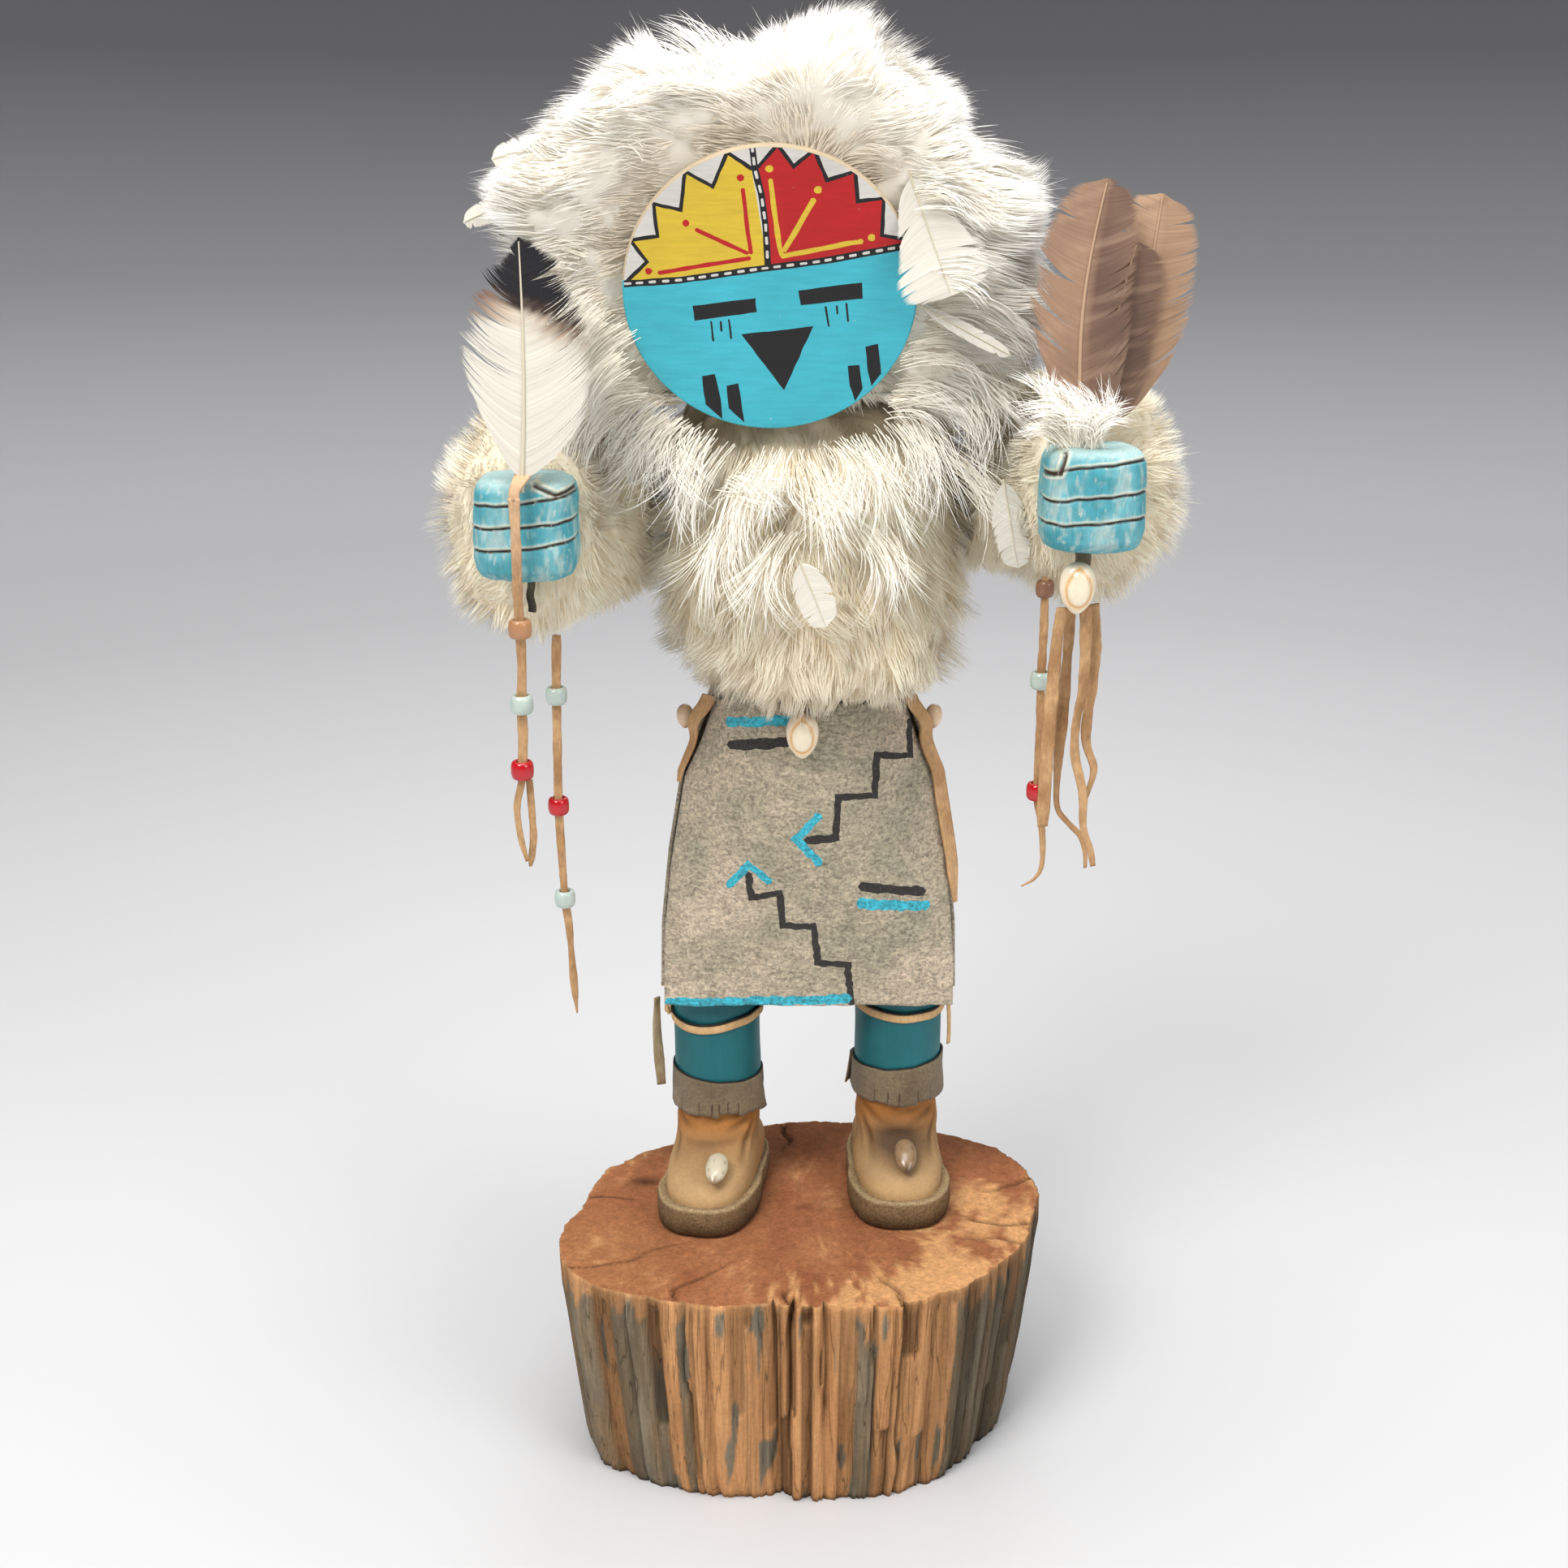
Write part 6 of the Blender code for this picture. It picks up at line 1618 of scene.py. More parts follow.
def make_fist(side, sign):
    """A carved hand with cut grooves for the fingers and thumb, its paint worn to chalk in upright chips."""
    solid = Solid(f"fist_{side}")
    rows, columns = 100, 156
    rises, reaches = zip(*FIST_SECTION)
    stations = np.cumsum(np.concatenate([[0.0], np.hypot(np.diff(rises), np.diff(reaches))]))
    marks = (0, stations[4], stations[10], stations[-1])
    v = np.interp(np.linspace(0, 1, rows), (0, 0.12, 0.88, 1), marks)
    h = np.interp(v, stations, rises)
    r = np.interp(v, stations, reaches)
    kernel = np.array((1, 3, 5, 3, 1)) / 13
    h = np.convolve(np.pad(h, 2, mode="edge"), kernel, "valid")
    r = np.convolve(np.pad(r, 2, mode="reflect", reflect_type="odd"), kernel, "valid")
    r = np.clip(r, 0.004, 1.0)
    cx, cy = squarish(turns(columns), FIST_CORNER)
    half = (solid.high - solid.low) / 2 / MM * FIST_SCALE
    middle = (solid.low + solid.high) / 2 / MM + FIST_SHIFT
    x = half[0] * r[:, None] * cx[None]
    y = half[1] * r[:, None] * cy[None]
    z = half[2] * (2 * h[:, None] - 1) + 0 * x
    base = np.stack([x, y, z], -1)
    normals = unit(np.stack([x / half[0] ** 2, y / half[1] ** 2, (z / half[2]) ** 5 / half[2]], -1))
    seed = 41 if side == "left" else 47
    lump = 0.5 * noise(base, 9.0, seed) + 0.22 * noise(base, 3.0, seed + 1)
    front = smooth_step(-y / half[1], -0.35, 0.35)
    deep = np.zeros_like(x)
    lip = np.zeros_like(x)
    for k, line in enumerate(FINGER_LINES[side]):
        spots = np.array([at_depth(px, py, FIST_FRONT_Y) for px, py in line]) / MM - middle
        at = np.stack([x, 0 * x + 7 * k, 0 * x], -1)
        level = np.interp(x, spots[:, 0], spots[:, 2]) + 0.30 * noise(at, 3.5, seed + 2)
        deep = np.maximum(deep, front * np.exp(-(((z - level) / 0.36) ** 2)))
        lip = np.maximum(lip, front * np.exp(-(((z - level - 0.85) / 0.34) ** 2)))
    line = np.array([at_depth(px, py, FIST_FRONT_Y) for px, py in THUMB_LINES[side]]) / MM - middle
    for p, q in zip(line, line[1:]):
        step = (q - p)[[0, 2]]
        run = np.clip(((x - p[0]) * step[0] + (z - p[2]) * step[1]) / step.dot(step), 0, 1)
        away = np.hypot(x - p[0] - run * step[0], z - p[2] - run * step[1])
        deep = np.maximum(deep, (y < 0) * np.exp(-((away / 0.5) ** 2)))
        lip = np.maximum(lip, (y < 0) * np.exp(-(((away - 1.1) / 0.4) ** 2)))
    thumb = np.exp(-(((x + sign * 9.0) / 6.5) ** 2 + ((z - half[2] + 2.5) / 5.5) ** 2)) * (y < 2)
    chips, broad, fine = (
        noise(base * np.array((1.0, 1.0, tall)), size, seed + k)
        for tall, size, k in ((0.26, 1.5, 3), (0.5, 6.0, 4), (0.35, 0.8, 5))
    )
    worn = smooth_step(0.8 * chips + 0.75 * broad + 0.6 * fine, -0.15, 0.65)
    swell = lump + 0.6 * thumb - 0.95 * deep + 0.22 * lip - 0.10 * worn
    shape = base + normals * swell[..., None]
    points, faces = capped((shape + middle) * MM)
    tone = blend(smooth_step(broad, -0.5, 0.5), linear(84, 172, 186), linear(132, 200, 208))
    tone = blend(0.62 * worn, tone, linear(196, 216, 210))
    # Painted light: paler over the top of the fist, which faces up.
    tone = blend(0.75 * smooth_step(z, half[2] - 4.0, half[2] - 0.5), tone, linear(196, 222, 218))
    # Pale lips over the grooves: partly rubbed paint, partly a painted highlight along their edges.
    tone = blend(0.85 * lip, tone, linear(238, 232, 206))
    tone = blend(np.clip(1.5 * deep, 0, 1), tone, linear(84, 62, 48))
    paint = Finish(f"fist_paint_{side}", 0.72, 0.25)
    grain = paint.noise(0.0006, 5.0, (1.0, 1.0, 0.35), 0.65)
    colour = paint.mottle(0.5, paint.painted(), grain, (0.30, 0.62), (0.68, 1.22))
    flecks = paint.noise(0.0009, 3.0, (1.0, 1.0, 0.4), 0.6)
    paint.colour(paint.mix(paint.ramp(flecks, (0.60, 0.0), (0.66, 0.5)), colour, linear(214, 222, 216)))
    paint.bump(grain, 0.0002, 0.7)
    tones = np.concatenate([tone.reshape(-1, 3), tone[:1, 0], tone[-1:, 0]])
    piece = build(f"carved_fist_{side}", points, faces, [paint], tones)
    fix_outward(piece)
    return place(piece, "hand_paint", f"fist_{side}")


def make_hand_tie(side):
    """The dark strip under a fist."""
    solid = Solid(f"hand_tie_{side}")
    z = np.linspace(solid.high[2], solid.low[2], 20)
    middle = (solid.low + solid.high) / 2
    sway = 0.3 * MM * np.sin(9 * np.linspace(0, 1, 20))
    line = np.stack([middle[0] + sway, middle[1] + 0 * z, z], -1)
    width = (solid.high - solid.low)[0]
    points, faces = capped(sweep(line, width, 1.8 * MM, 10, twist=np.linspace(0.0, 0.3, 20)))
    tie = lace_finish("tie_leather", linear(112, 106, 84), linear(60, 58, 48))
    return place(build(f"dark_lace_{side}", points, faces, [tie]), "dark_tie", f"hand_tie_{side}")


def make_wrap():
    """The turn of the left thong over the feather's quill and the top of the fist."""
    route = [WRAP_START] + [tuple(at_depth(*p, y)) for p, y in WRAP_ROUTE]
    line = smooth_route(route, 0.8 * MM)
    share = np.linspace(0, 1, len(line))
    width = MM * np.interp(share, (0.0, 0.35, 0.7, 1.0), (3.3, 3.7, 5.2, 6.0))
    points, faces = capped(sweep(line, width, 1.2 * MM, 12, (0.0, -1.0, 0.45), 0.25 * share))
    place(build("lace_left_wrap", points, faces, [lace_finish("lace_leather")]), "tan_leather")


def ribbons(paths, widths, facing, lean=50.0, seed=0, soft=0.65):
    """Flat tapering strands along paths (strands, points, 3): their points, normals and faces."""
    strands, steps, _ = paths.shape
    rng = np.random.default_rng(seed)
    tangent = unit(np.gradient(paths, axis=1))
    facing = unit(np.broadcast_to(np.asarray(facing, float).reshape(-1, 1, 3), paths.shape))
    across = unit(np.cross(tangent, facing))
    turn = np.radians(rng.uniform(-lean, lean, strands))[:, None, None]
    across = np.cos(turn) * across + np.sin(turn) * np.cross(across, tangent)
    own = unit(np.cross(across, tangent))
    reach = across * (np.broadcast_to(widths, (strands, steps)) / 2)[..., None]
    pairs = np.stack([paths - reach, paths + reach], 2)[:, :-1].reshape(strands, -1, 3)
    points = np.concatenate([pairs, paths[:, -1:]], 1)
    normal = unit(soft * facing + (1 - soft) * own)
    normal = np.concatenate([np.repeat(normal[:, :-1], 2, axis=1), normal[:, -1:]], 1)
    each = []
    for i in range(steps - 2):
        each += [(2 * i, 2 * i + 1, 2 * i + 3), (2 * i, 2 * i + 3, 2 * i + 2)]
    each.append((2 * steps - 4, 2 * steps - 3, 2 * steps - 2))
    faces = np.array(each)[None] + (np.arange(strands) * (2 * steps - 1))[:, None, None]
    return points.reshape(-1, 3), normal.reshape(-1, 3), faces.reshape(-1, 3)


def strand_tones(colours):
    """Colours (strands, points, 3) as ribbons lays its points out."""
    paired = np.concatenate([np.repeat(colours[:, :-1], 2, axis=1), colours[:, -1:]], 1)
    return paired.reshape(-1, 3)


class Coat:
    """A CAD node's surface, smoothed and drawn in a little, for strands to grow from."""

    def __init__(self, node, inset):
        self.node = node
        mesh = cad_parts[node].data.copy()
        bm = bmesh.new()
        bm.from_mesh(mesh)
        bmesh.ops.remove_doubles(bm, verts=bm.verts, dist=1e-6)
        bmesh.ops.join_triangles(
            bm, faces=bm.faces, angle_face_threshold=0.5, angle_shape_threshold=0.9, cmp_seam=False,
            cmp_sharp=False, cmp_uvs=False, cmp_vcols=False, cmp_materials=False,
        )
        bmesh.ops.recalc_face_normals(bm, faces=bm.faces)
        bm.to_mesh(mesh)
        bm.free()
        cage = bpy.data.objects.new("cage", mesh)
        bpy.context.scene.collection.objects.link(cage)
        rounder = cage.modifiers.new("round", "SUBSURF")
        rounder.levels = 2
        done = bpy.data.meshes.new_from_object(cage.evaluated_get(bpy.context.evaluated_depsgraph_get()))
        bpy.data.objects.remove(cage)
        done.calc_loop_triangles()
        self.points = np.array([tuple(v.co) for v in done.vertices])
        self.normals = np.array([tuple(v.normal) for v in done.vertices])
        self.faces = np.array([tuple(t.vertices) for t in done.loop_triangles])
        self.points = self.points - inset * MM * self.normals

    def scatter(self, count, seed, weight=None):
        """Roots spread over the surface, with its normals there."""
        rng = np.random.default_rng(seed)
        corners = self.points[self.faces]
        area = np.linalg.norm(np.cross(corners[:, 1] - corners[:, 0], corners[:, 2] - corners[:, 0]), axis=1)
        if weight is not None:
            area = area * weight(corners.mean(1), self.normals[self.faces].mean(1))
        edges = np.cumsum(area)
        which = np.searchsorted(edges, rng.uniform(0, edges[-1], count))
        u, v = rng.random((2, count, 1))
        over = u + v > 1
        u, v = np.where(over, 1 - u, u), np.where(over, 1 - v, v)

        def mix(values):
            return values[:, 0] * (1 - u - v) + values[:, 1] * u + values[:, 2] * v

        return mix(corners[which]), unit(mix(self.normals[self.faces[which]]))

    def undercoat(self, name, slot, finish, tone, lump=0.8, seed=3):
        """The skin under the strands, which keeps the solid's form."""
        at = self.points / MM
        swell = lump * noise(at, 6.0, seed) + 0.5 * lump * noise(at, 2.5, seed + 1)
        points = self.points + MM * swell[:, None] * self.normals
        # Painted shade: the skin is darker in its dips.
        tones = blend(smooth_step(swell, -lump, lump), np.array(tone) * 0.86, np.array(tone))
        return place(build(name, points, [self.faces], [finish], tones), slot, self.node)


def taper(share):
    """A strand's width along it, as a share of its width at the root."""
    return np.interp(share, (0, 0.5, 1), (1.0, 0.85, 0.3))


def swirl(points, size, seed):
    """A smooth random vector at each point."""
    return np.stack([noise(points / MM, size, seed + k) for k in (0, 17, 31)], -1)


# Soft fur takes light from above all through its depth, so its strands' normals lean this way
LIGHTWARD = np.array((-0.12, -0.25, 0.62))


# Fur strands: how many share a tuft, how many points each has, its width in mm and the share that flies loose
CLUMP = 50
STRAND_POINTS = 4
STRAND_WIDTH = 0.30
FLYAWAY = 0.05


def comb(coat, count, seed, lay, length, root_tone, tip_tone, weight=None, pull=0.45, curl=0.5, sag=0.15,
         tint=None, wild=1.0):
    """Fur: strands from a coat along a lay, drawn into tufts, with curls, sag and a paler tip."""
    rng = np.random.default_rng(seed)
    roots, normals = coat.scatter(count, seed, weight)
    total = len(roots)
    tufts = total // CLUMP
    tree = KDTree(tufts)
    for k in range(tufts):
        tree.insert(roots[k], k)
    tree.balance()
    mine = np.array([tree.find(p)[1] for p in roots])
    direction = lay(roots, normals)
    wander = swirl(roots, 14.0, seed) * 0.40 + rng.normal(0, 0.13, (total, 3))
    wander = wander + rng.normal(0, 0.20, (tufts, 3))[mine]
    direction = unit(direction + wild * wander)
    reach = length(roots, normals) * MM * rng.uniform(0.72, 1.12, total)
    fly = rng.random(total) < FLYAWAY
    reach = np.where(fly, reach * 1.35, reach)
    loose = rng.normal(0, 0.30, (total, 3)) + rng.normal(0, 0.40, (tufts, 3))[mine]
    bend = curl * (swirl(roots, 13.0, seed + 5) + wild * loose)
    bend[:, 2] -= sag
    s = np.linspace(0, 1, STRAND_POINTS)[None, :, None]
    paths = roots[:, None] + reach[:, None, None] * (s * direction[:, None] + 0.5 * s ** 2 * bend[:, None])
    gather = pull * rng.uniform(0.6, 1.1, (total, 1, 1)) * s ** 1.4 * np.where(fly, 0.2, 1.0)[:, None, None]
    paths = paths + (paths[mine] - paths) * gather
    widths = STRAND_WIDTH * MM * np.where(fly, 0.55, 1.0)[:, None] * taper(s[0, :, 0])
    shade = rng.normal(1.0, 0.03, (total, 1, 1)) * (1 + 0.03 * rng.normal(0, 1, tufts))[mine][:, None, None]
    each = (total, STRAND_POINTS)
    tones = blend(np.broadcast_to(s[..., 0] ** 0.7, each), root_tone, tip_tone) * shade
    if tint is not None:
        share, colour = tint(roots)
        tones = blend(np.broadcast_to(share[:, None], each), tones, colour)
    points, own, faces = ribbons(paths, widths, unit(normals + LIGHTWARD), 30.0, seed, 0.9)
    return points, own, faces, strand_tones(np.clip(tones, 0, 1))


@functools.cache
def strand_finish(name, roughness=0.85, sheen=0.25, specular=0.15):
    """Hair and barbs, in the colours that their points carry."""
    hair = Finish(name, roughness, specular)
    hair.set(Sheen_Weight=sheen, Sheen_Roughness=0.5)
    hair.colour(hair.painted())
    return hair


def grow(name, slot, finish, parts):
    """One piece from several lots of strands."""
    first = np.cumsum([0] + [len(p[0]) for p in parts[:-1]])
    faces = np.concatenate([p[2] + k for p, k in zip(parts, first)])
    points, normals, tones = (np.concatenate([p[k] for p in parts]) for k in (0, 1, 3))
    return place(build(name, points, [faces], [finish], tones, normals=normals), slot)


MASK_MIDDLE = np.array((-0.0043, -0.0600, 0.4415))


def radial_from(hub, points):
    """The way out from a hub to each point, seen from the front."""
    return unit((points - hub) * np.array((1.0, 0.0, 1.0)))


def from_mask(points):
    """How far each point is from the mask's middle, seen from the front, in mm."""
    return np.linalg.norm((points - MASK_MIDDLE)[:, (0, 2)], axis=1) / MM


def ruff_lay(points, normals):
    """Fur of the ruff: out from the mask and swept to either side, falling below."""
    away = points - MASK_MIDDLE
    radial = radial_from(MASK_MIDDLE, points)
    aside = np.tanh((points[:, 0] / MM - 6.0) / 22.0)[:, None] * np.array((1.0, 0.0, 0.0))
    below = smooth_step(-away[:, 2] / MM, 0.0, 40.0)[:, None]
    flow = 0.55 * radial + 0.85 * aside + 0.35 * swirl(points, 30.0, 7) + below * np.array((0.0, -0.15, -0.6))
    return unit(flow + (0.26 - 0.6 * (flow * normals).sum(1))[:, None] * normals)


def ruff_length(points, normals):
    standing = np.clip((ruff_lay(points, normals) * normals).sum(1), 0, 1)
    return (8.0 + 8.0 * smooth_step(from_mask(points), 48, 72)) * (1 - 0.42 * standing)


def torso_lay(points, normals):
    down = np.array((0.0, 0.0, -1.0))
    return unit(0.75 * down + 0.62 * normals + 0.5 * swirl(points, 26.0, 3) * np.array((1.0, 0.4, 0.4)))


def torso_length(points, normals):
    z = points[:, 2] / MM
    return 6.5 + 7.5 * smooth_step(z, 300, 325) - 2.0 * smooth_step(z, 385, 400)


# Strands on the torso and each half of the ruff, and on each sleeve
COAT_STRANDS = 25500
SLEEVE_STRANDS = 13500
SLEEVE_FUR_LENGTH = 7.5


def make_fur():
    """The coats over the headdress, the torso and the sleeves, each over its own skin."""
    hair = strand_finish("fur_strands", sheen=0.7)
    under = strand_finish("fur_undercoat", 0.95, 0.7)

    def shadow(points):
        return 0.45 * (1 - smooth_step(from_mask(points), 46, 58)), shown(232, 212, 178)

    ruff = Coat("headdress", 4.0)
    ruff.undercoat("ruff_undercoat", "white_down", under, shown(252, 244, 228), 1.4)
    for side, sign in SIDES:
        def own_half(points, normals, sign=sign):
            mine = (points[:, 0] - BODY_X) * sign > 0
            return np.where(mine, 1.0, 0.0) * np.where(normals[:, 1] > 0.3, 0.55, 1.3)

        strands = comb(ruff, COAT_STRANDS, 50 + sign, ruff_lay, ruff_length, ROOT_FUR, CREAM, own_half,
                       pull=0.35, curl=0.6, tint=shadow, wild=0.6)
        grow(f"ruff_fur_{side}", "white_down", hair, [strands])

    def waist(points):
        return 0.5 * (1 - smooth_step(points[:, 2] / MM, 300, 318)), shown(212, 196, 166)

    def mostly_front(points, normals):
        return np.where(normals[:, 1] > 0.3, 0.6, 1.3)

    torso = Coat("fur_torso", 3.5)
    torso.undercoat("torso_undercoat", "white_fur", under, shown(248, 234, 206), 1.4)
    strands = comb(torso, COAT_STRANDS, 61, torso_lay, torso_length, TORSO_ROOT, TORSO_TIP, mostly_front,
                   pull=0.55, curl=0.7, tint=waist, wild=0.85)
    grow("torso_fur", "white_fur", hair, [strands])

    for side, sign in SIDES:
        fist = Solid(f"fist_{side}")
        hub = (fist.low + fist.high) / 2

        def lay(points, normals, hub=hub):
            near = smooth_step(points[:, 1] / MM, 0, -45)[:, None]
            flare = 0.45 * near * radial_from(hub, points)
            return unit(0.9 * normals + flare + np.array((0.0, -0.18, -0.22)))

        def length(points, normals):
            return np.full(len(points), SLEEVE_FUR_LENGTH)

        sleeve = Coat(f"fur_sleeve_{side}", 4.0)
        sleeve.undercoat(f"sleeve_undercoat_{side}", "white_fur", under, shown(250, 238, 212), 1.0)
        strands = comb(sleeve, SLEEVE_STRANDS, 70 + sign, lay, length, TORSO_ROOT, TORSO_TIP,
                       pull=0.35, curl=0.45, sag=0.2, wild=0.8)
        grow(f"sleeve_fur_{side}", "white_fur", hair, [strands])


def feather_axes(base, tip, facing):
    """A feather's base and length, and its own directions: along it, towards its face and across."""
    base, tip = np.asarray(base, float), np.asarray(tip, float)
    length = np.linalg.norm(tip - base)
    forward = (tip - base) / length
    facing = unit(np.asarray(facing, float) - np.dot(facing, forward) * forward)
    return base, length, forward, facing, np.cross(forward, facing)


# The bare share of a feather's quill below its barbs
BARE_QUILL = 0.05


def vane(base, tip, facing, half, tone, seed, count, bend=0.0, cup=1.6, advance=0.20, splits=9, ragged=0.04,
         parted=(2.0, 2.0), shaft=(1.1, 0.3), shaft_tone=linear(236, 224, 196)):
    """One quill feather: barbs either side of a shaft, in groups that ragged loosens and parted splits."""
    rng = np.random.default_rng(seed)
    bare = BARE_QUILL
    base, length, forward, facing, across = feather_axes(base, tip, facing)

    def spine(t):
        t = np.asarray(t, float)[..., None]
        return base + t * length * forward + bend * MM * np.sin(math.pi * np.clip(t, 0, 1)) * across

    steps = 6
    s = np.linspace(0, 1, steps)[None, :]
    lots = []
    for sign in (-1, 1):
        t = bare + (1 - bare) * ((np.arange(count) + 0.5) / count)
        edges = np.sort(rng.uniform(bare, 1, splits))
        group = np.searchsorted(edges, t)
        bounds = np.concatenate([[bare], edges, [1.0]])
        middle = (bounds[group] + bounds[group + 1]) / 2
        lean = rng.normal(0, 1, splits + 1)[group]
        loose = ragged * (1 + (2.5 if sign < 0 else 1.5) * ((t > parted[0]) & (t < parted[1])))
        end = np.clip(t + advance * (1 - t) ** 0.7 + 0.10 * loose * lean * (1 - t), 0, 1)
        wide = half(end, sign) * MM * (1 + loose * (0.4 * lean + 0.25 * rng.normal(0, 1, count)))
        root = spine(t)
        out = sign * across[None, None] * (wide[:, None] * (1.15 * s - 0.15 * s ** 2))[..., None]
        gather = (middle - t) * (0.10 + 1.6 * loose)
        ahead = ((end - t)[:, None] * (0.55 * s + 0.45 * s ** 2) + gather[:, None] * s ** 2) * length
        sag = cup * MM * (wide / MM / 16.0)[:, None] * s ** 2 - 1.2 * MM * loose[:, None] * lean[:, None] * s
        paths = root[:, None] + out + forward * ahead[..., None] - facing * sag[..., None]
        gap = length * (1 - bare) / count
        widths = gap * np.interp(s[0], (0, 0.6, 1), (1.5, 1.3, 0.45))[None] + 0 * t[:, None]
        tones = tone(t[:, None] + ahead / length, s * sign, lean[:, None])
        tones = tones * (1 + 0.04 * rng.normal(0, 1, (count, 1, 1)) + 0.02 * lean[:, None, None])
        flat = facing + 0.22 * sign * across
        points, own, faces = ribbons(paths, widths, flat[None], 6.0, seed, 0.45)
        lots.append((points, own, faces, strand_tones(np.clip(tones, 0, 1))))
    t = np.linspace(0.0, 0.985, 30)
    line = spine(t) + facing * 0.25 * MM
    size = np.interp(t, (0, 1), shaft) * MM
    points, faces = capped(sweep(line, size, size * 0.8, 8, facing))
    triangles = np.concatenate([halves(faces[0]), faces[1], faces[2]])
    middle_line = np.concatenate([np.repeat(line, 8, axis=0), line[:1], line[-1:]])
    tones = np.broadcast_to(np.array(shaft_tone), points.shape)
    lots.append((points, unit(points - middle_line + 1e-9 * facing), triangles, tones))
    return lots


def leaf(width, start, fan=False):
    """A feather's half width in mm at a share of its length. A fan is widest near its end."""
    places = (0.0, 0.08, 0.20, 0.36, 0.52, 0.68, 0.82, 0.90, 0.95, 0.98, 1.0)
    shares = (start, 0.42, 0.66, 0.90, 1.0, 0.98, 0.90, 0.80, 0.66, 0.48, 0.10)
    if fan:
        shares = (start, 0.32, 0.45, 0.60, 0.74, 0.88, 1.0, 1.0, 0.94, 0.80, 0.30)

    def half(t, _):
        return width / 2 * np.interp(t, places, shares)
    return half


def tip_half(t, sign):
    """The black-tipped feather's half width in mm on each side: full below, narrow where its barbs part."""
    places = (0.0, 0.08, 0.19, 0.28, 0.39, 0.51, 0.62, 0.73, 0.84, 0.93, 0.99, 1.0)
    left = (1.2, 2.7, 8.1, 11.0, 15.3, 18.5, 17.8, 16.2, 11.5, 5.4, 1.0, 0.3)
    right = (1.6, 4.5, 13.5, 18.6, 20.0, 20.0, 19.0, 16.2, 14.2, 10.5, 3.6, 0.5)
    return np.interp(t, places, left if sign < 0 else right)


def black_tip_tone(t, s, lean):
    """White, brown where the barbs part, black at the tip."""
    wave = 0.014 * np.sin(97 * t + 5 * s) + 0.016 * lean
    edge = t + 0.07 * np.clip(s, 0, 1) - 0.11 * np.clip(-s, 0, 1) + wave
    brown = blend(smooth_step(np.abs(s), 0.2, 0.9), linear(190, 150, 108), linear(128, 78, 44))
    browned = smooth_step(edge + 0.07 * np.clip(-s, 0, 1), 0.61, 0.70) * (0.3 + 0.7 * np.abs(s))
    tone = blend(browned, linear(236, 230, 216), brown)
    tone = blend(smooth_step(edge, 0.68, 0.74), tone, linear(62, 42, 34))
    return blend(smooth_step(edge, 0.72, 0.77), tone, linear(27, 25, 29))


def brown_tone(light, dark, streak):
    """The brown feathers' colour: banded and mottled, with painted shade that darkens the right of the shaft.
    """
    def tone(t, s, lean):
        band = 0.5 + 0.5 * np.sin(9 * t + 3 * np.abs(s) + 1.5 * np.sign(s))
        # Painted shade: the right of the shaft is darker.
        base = blend(np.clip(0.65 * (s > 0) + 0.25 * band, 0, 1), light, dark)
        mottle = np.sin(57 * t + 11 * s) * np.sin(31 * t - 17 * s)
        base = blend(0.30 * smooth_step(mottle, 0.1, 0.9), base, streak)
        return blend(0.5 * smooth_step(np.abs(s), 0.75, 1.0), base, light)
    return tone


def quill_tone(t, s, lean):
    """The small white quills are one colour."""
    return np.broadcast_to(QUILL_WHITE, (*np.broadcast(t, s).shape, 3))


# The vanes' finish: its name, roughness, sheen and shine
BROWN_BASE_Z = 0.3952
QUILL_WHITE = linear(240, 234, 220)
FEATHER_VANE = ("feather_vane", 0.55, 0.15, 0.3)


def make_hand_feathers():
    """The black-tipped feather in the left hand and the three brown ones in the right."""
    blade = strand_finish(*FEATHER_VANE)
    front = -0.0936
    lots = vane((-0.0794, front, 0.3830), (-0.0786, front + 0.0100, 0.4570), (0.0, -1.0, 0.12),
                tip_half, black_tip_tone, 81, 210, 1.0, advance=0.25, splits=13, ragged=0.055,
                parted=(0.42, 0.84), shaft=(1.5, 0.4), shaft_tone=linear(226, 216, 190))
    piece = grow("black_tip_vane", "white_feather", blade, lots)
    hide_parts("feather_black_tipped")
    for end, base, tip, width, bend, tones, seed in (
        ("front", (0.0925, -0.0735), (0.0972, -0.0700, 0.4735), 31.0, -3.6,
         ((176, 140, 114), (108, 82, 70), (200, 168, 140)), 91),
        # The middle feather's darker browns are painted shade, as it lies in the other two's shadow.
        ("middle", (0.0989, -0.0675), (0.1080, -0.0640, 0.4550), 29.0, -2.0,
         ((160, 124, 100), (100, 76, 64), (186, 154, 126)), 93),
        ("back", (0.1009, -0.0630), (0.1161, -0.0590, 0.4690), 31.0, 2.0,
         ((204, 168, 138), (174, 138, 108), (136, 102, 80)), 95),
    ):
        tone = brown_tone(*(linear(*each) for each in tones))
        lots = vane((*base, BROWN_BASE_Z), tip, (0.0, -1.0, 0.1), leaf(width, 0.30), tone, seed, 190, bend,
                    cup=2.6, splits=10, ragged=0.03, parted=(0.30, 0.62), shaft=(1.4, 0.5),
                    shaft_tone=linear(206, 170, 138))
        piece = grow(f"brown_vane_{end}", "brown_feather", blade, lots)
        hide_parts(f"feather_brown_{end}")


# A hair of down is this wide in mm
DOWN_WIDTH = 0.23


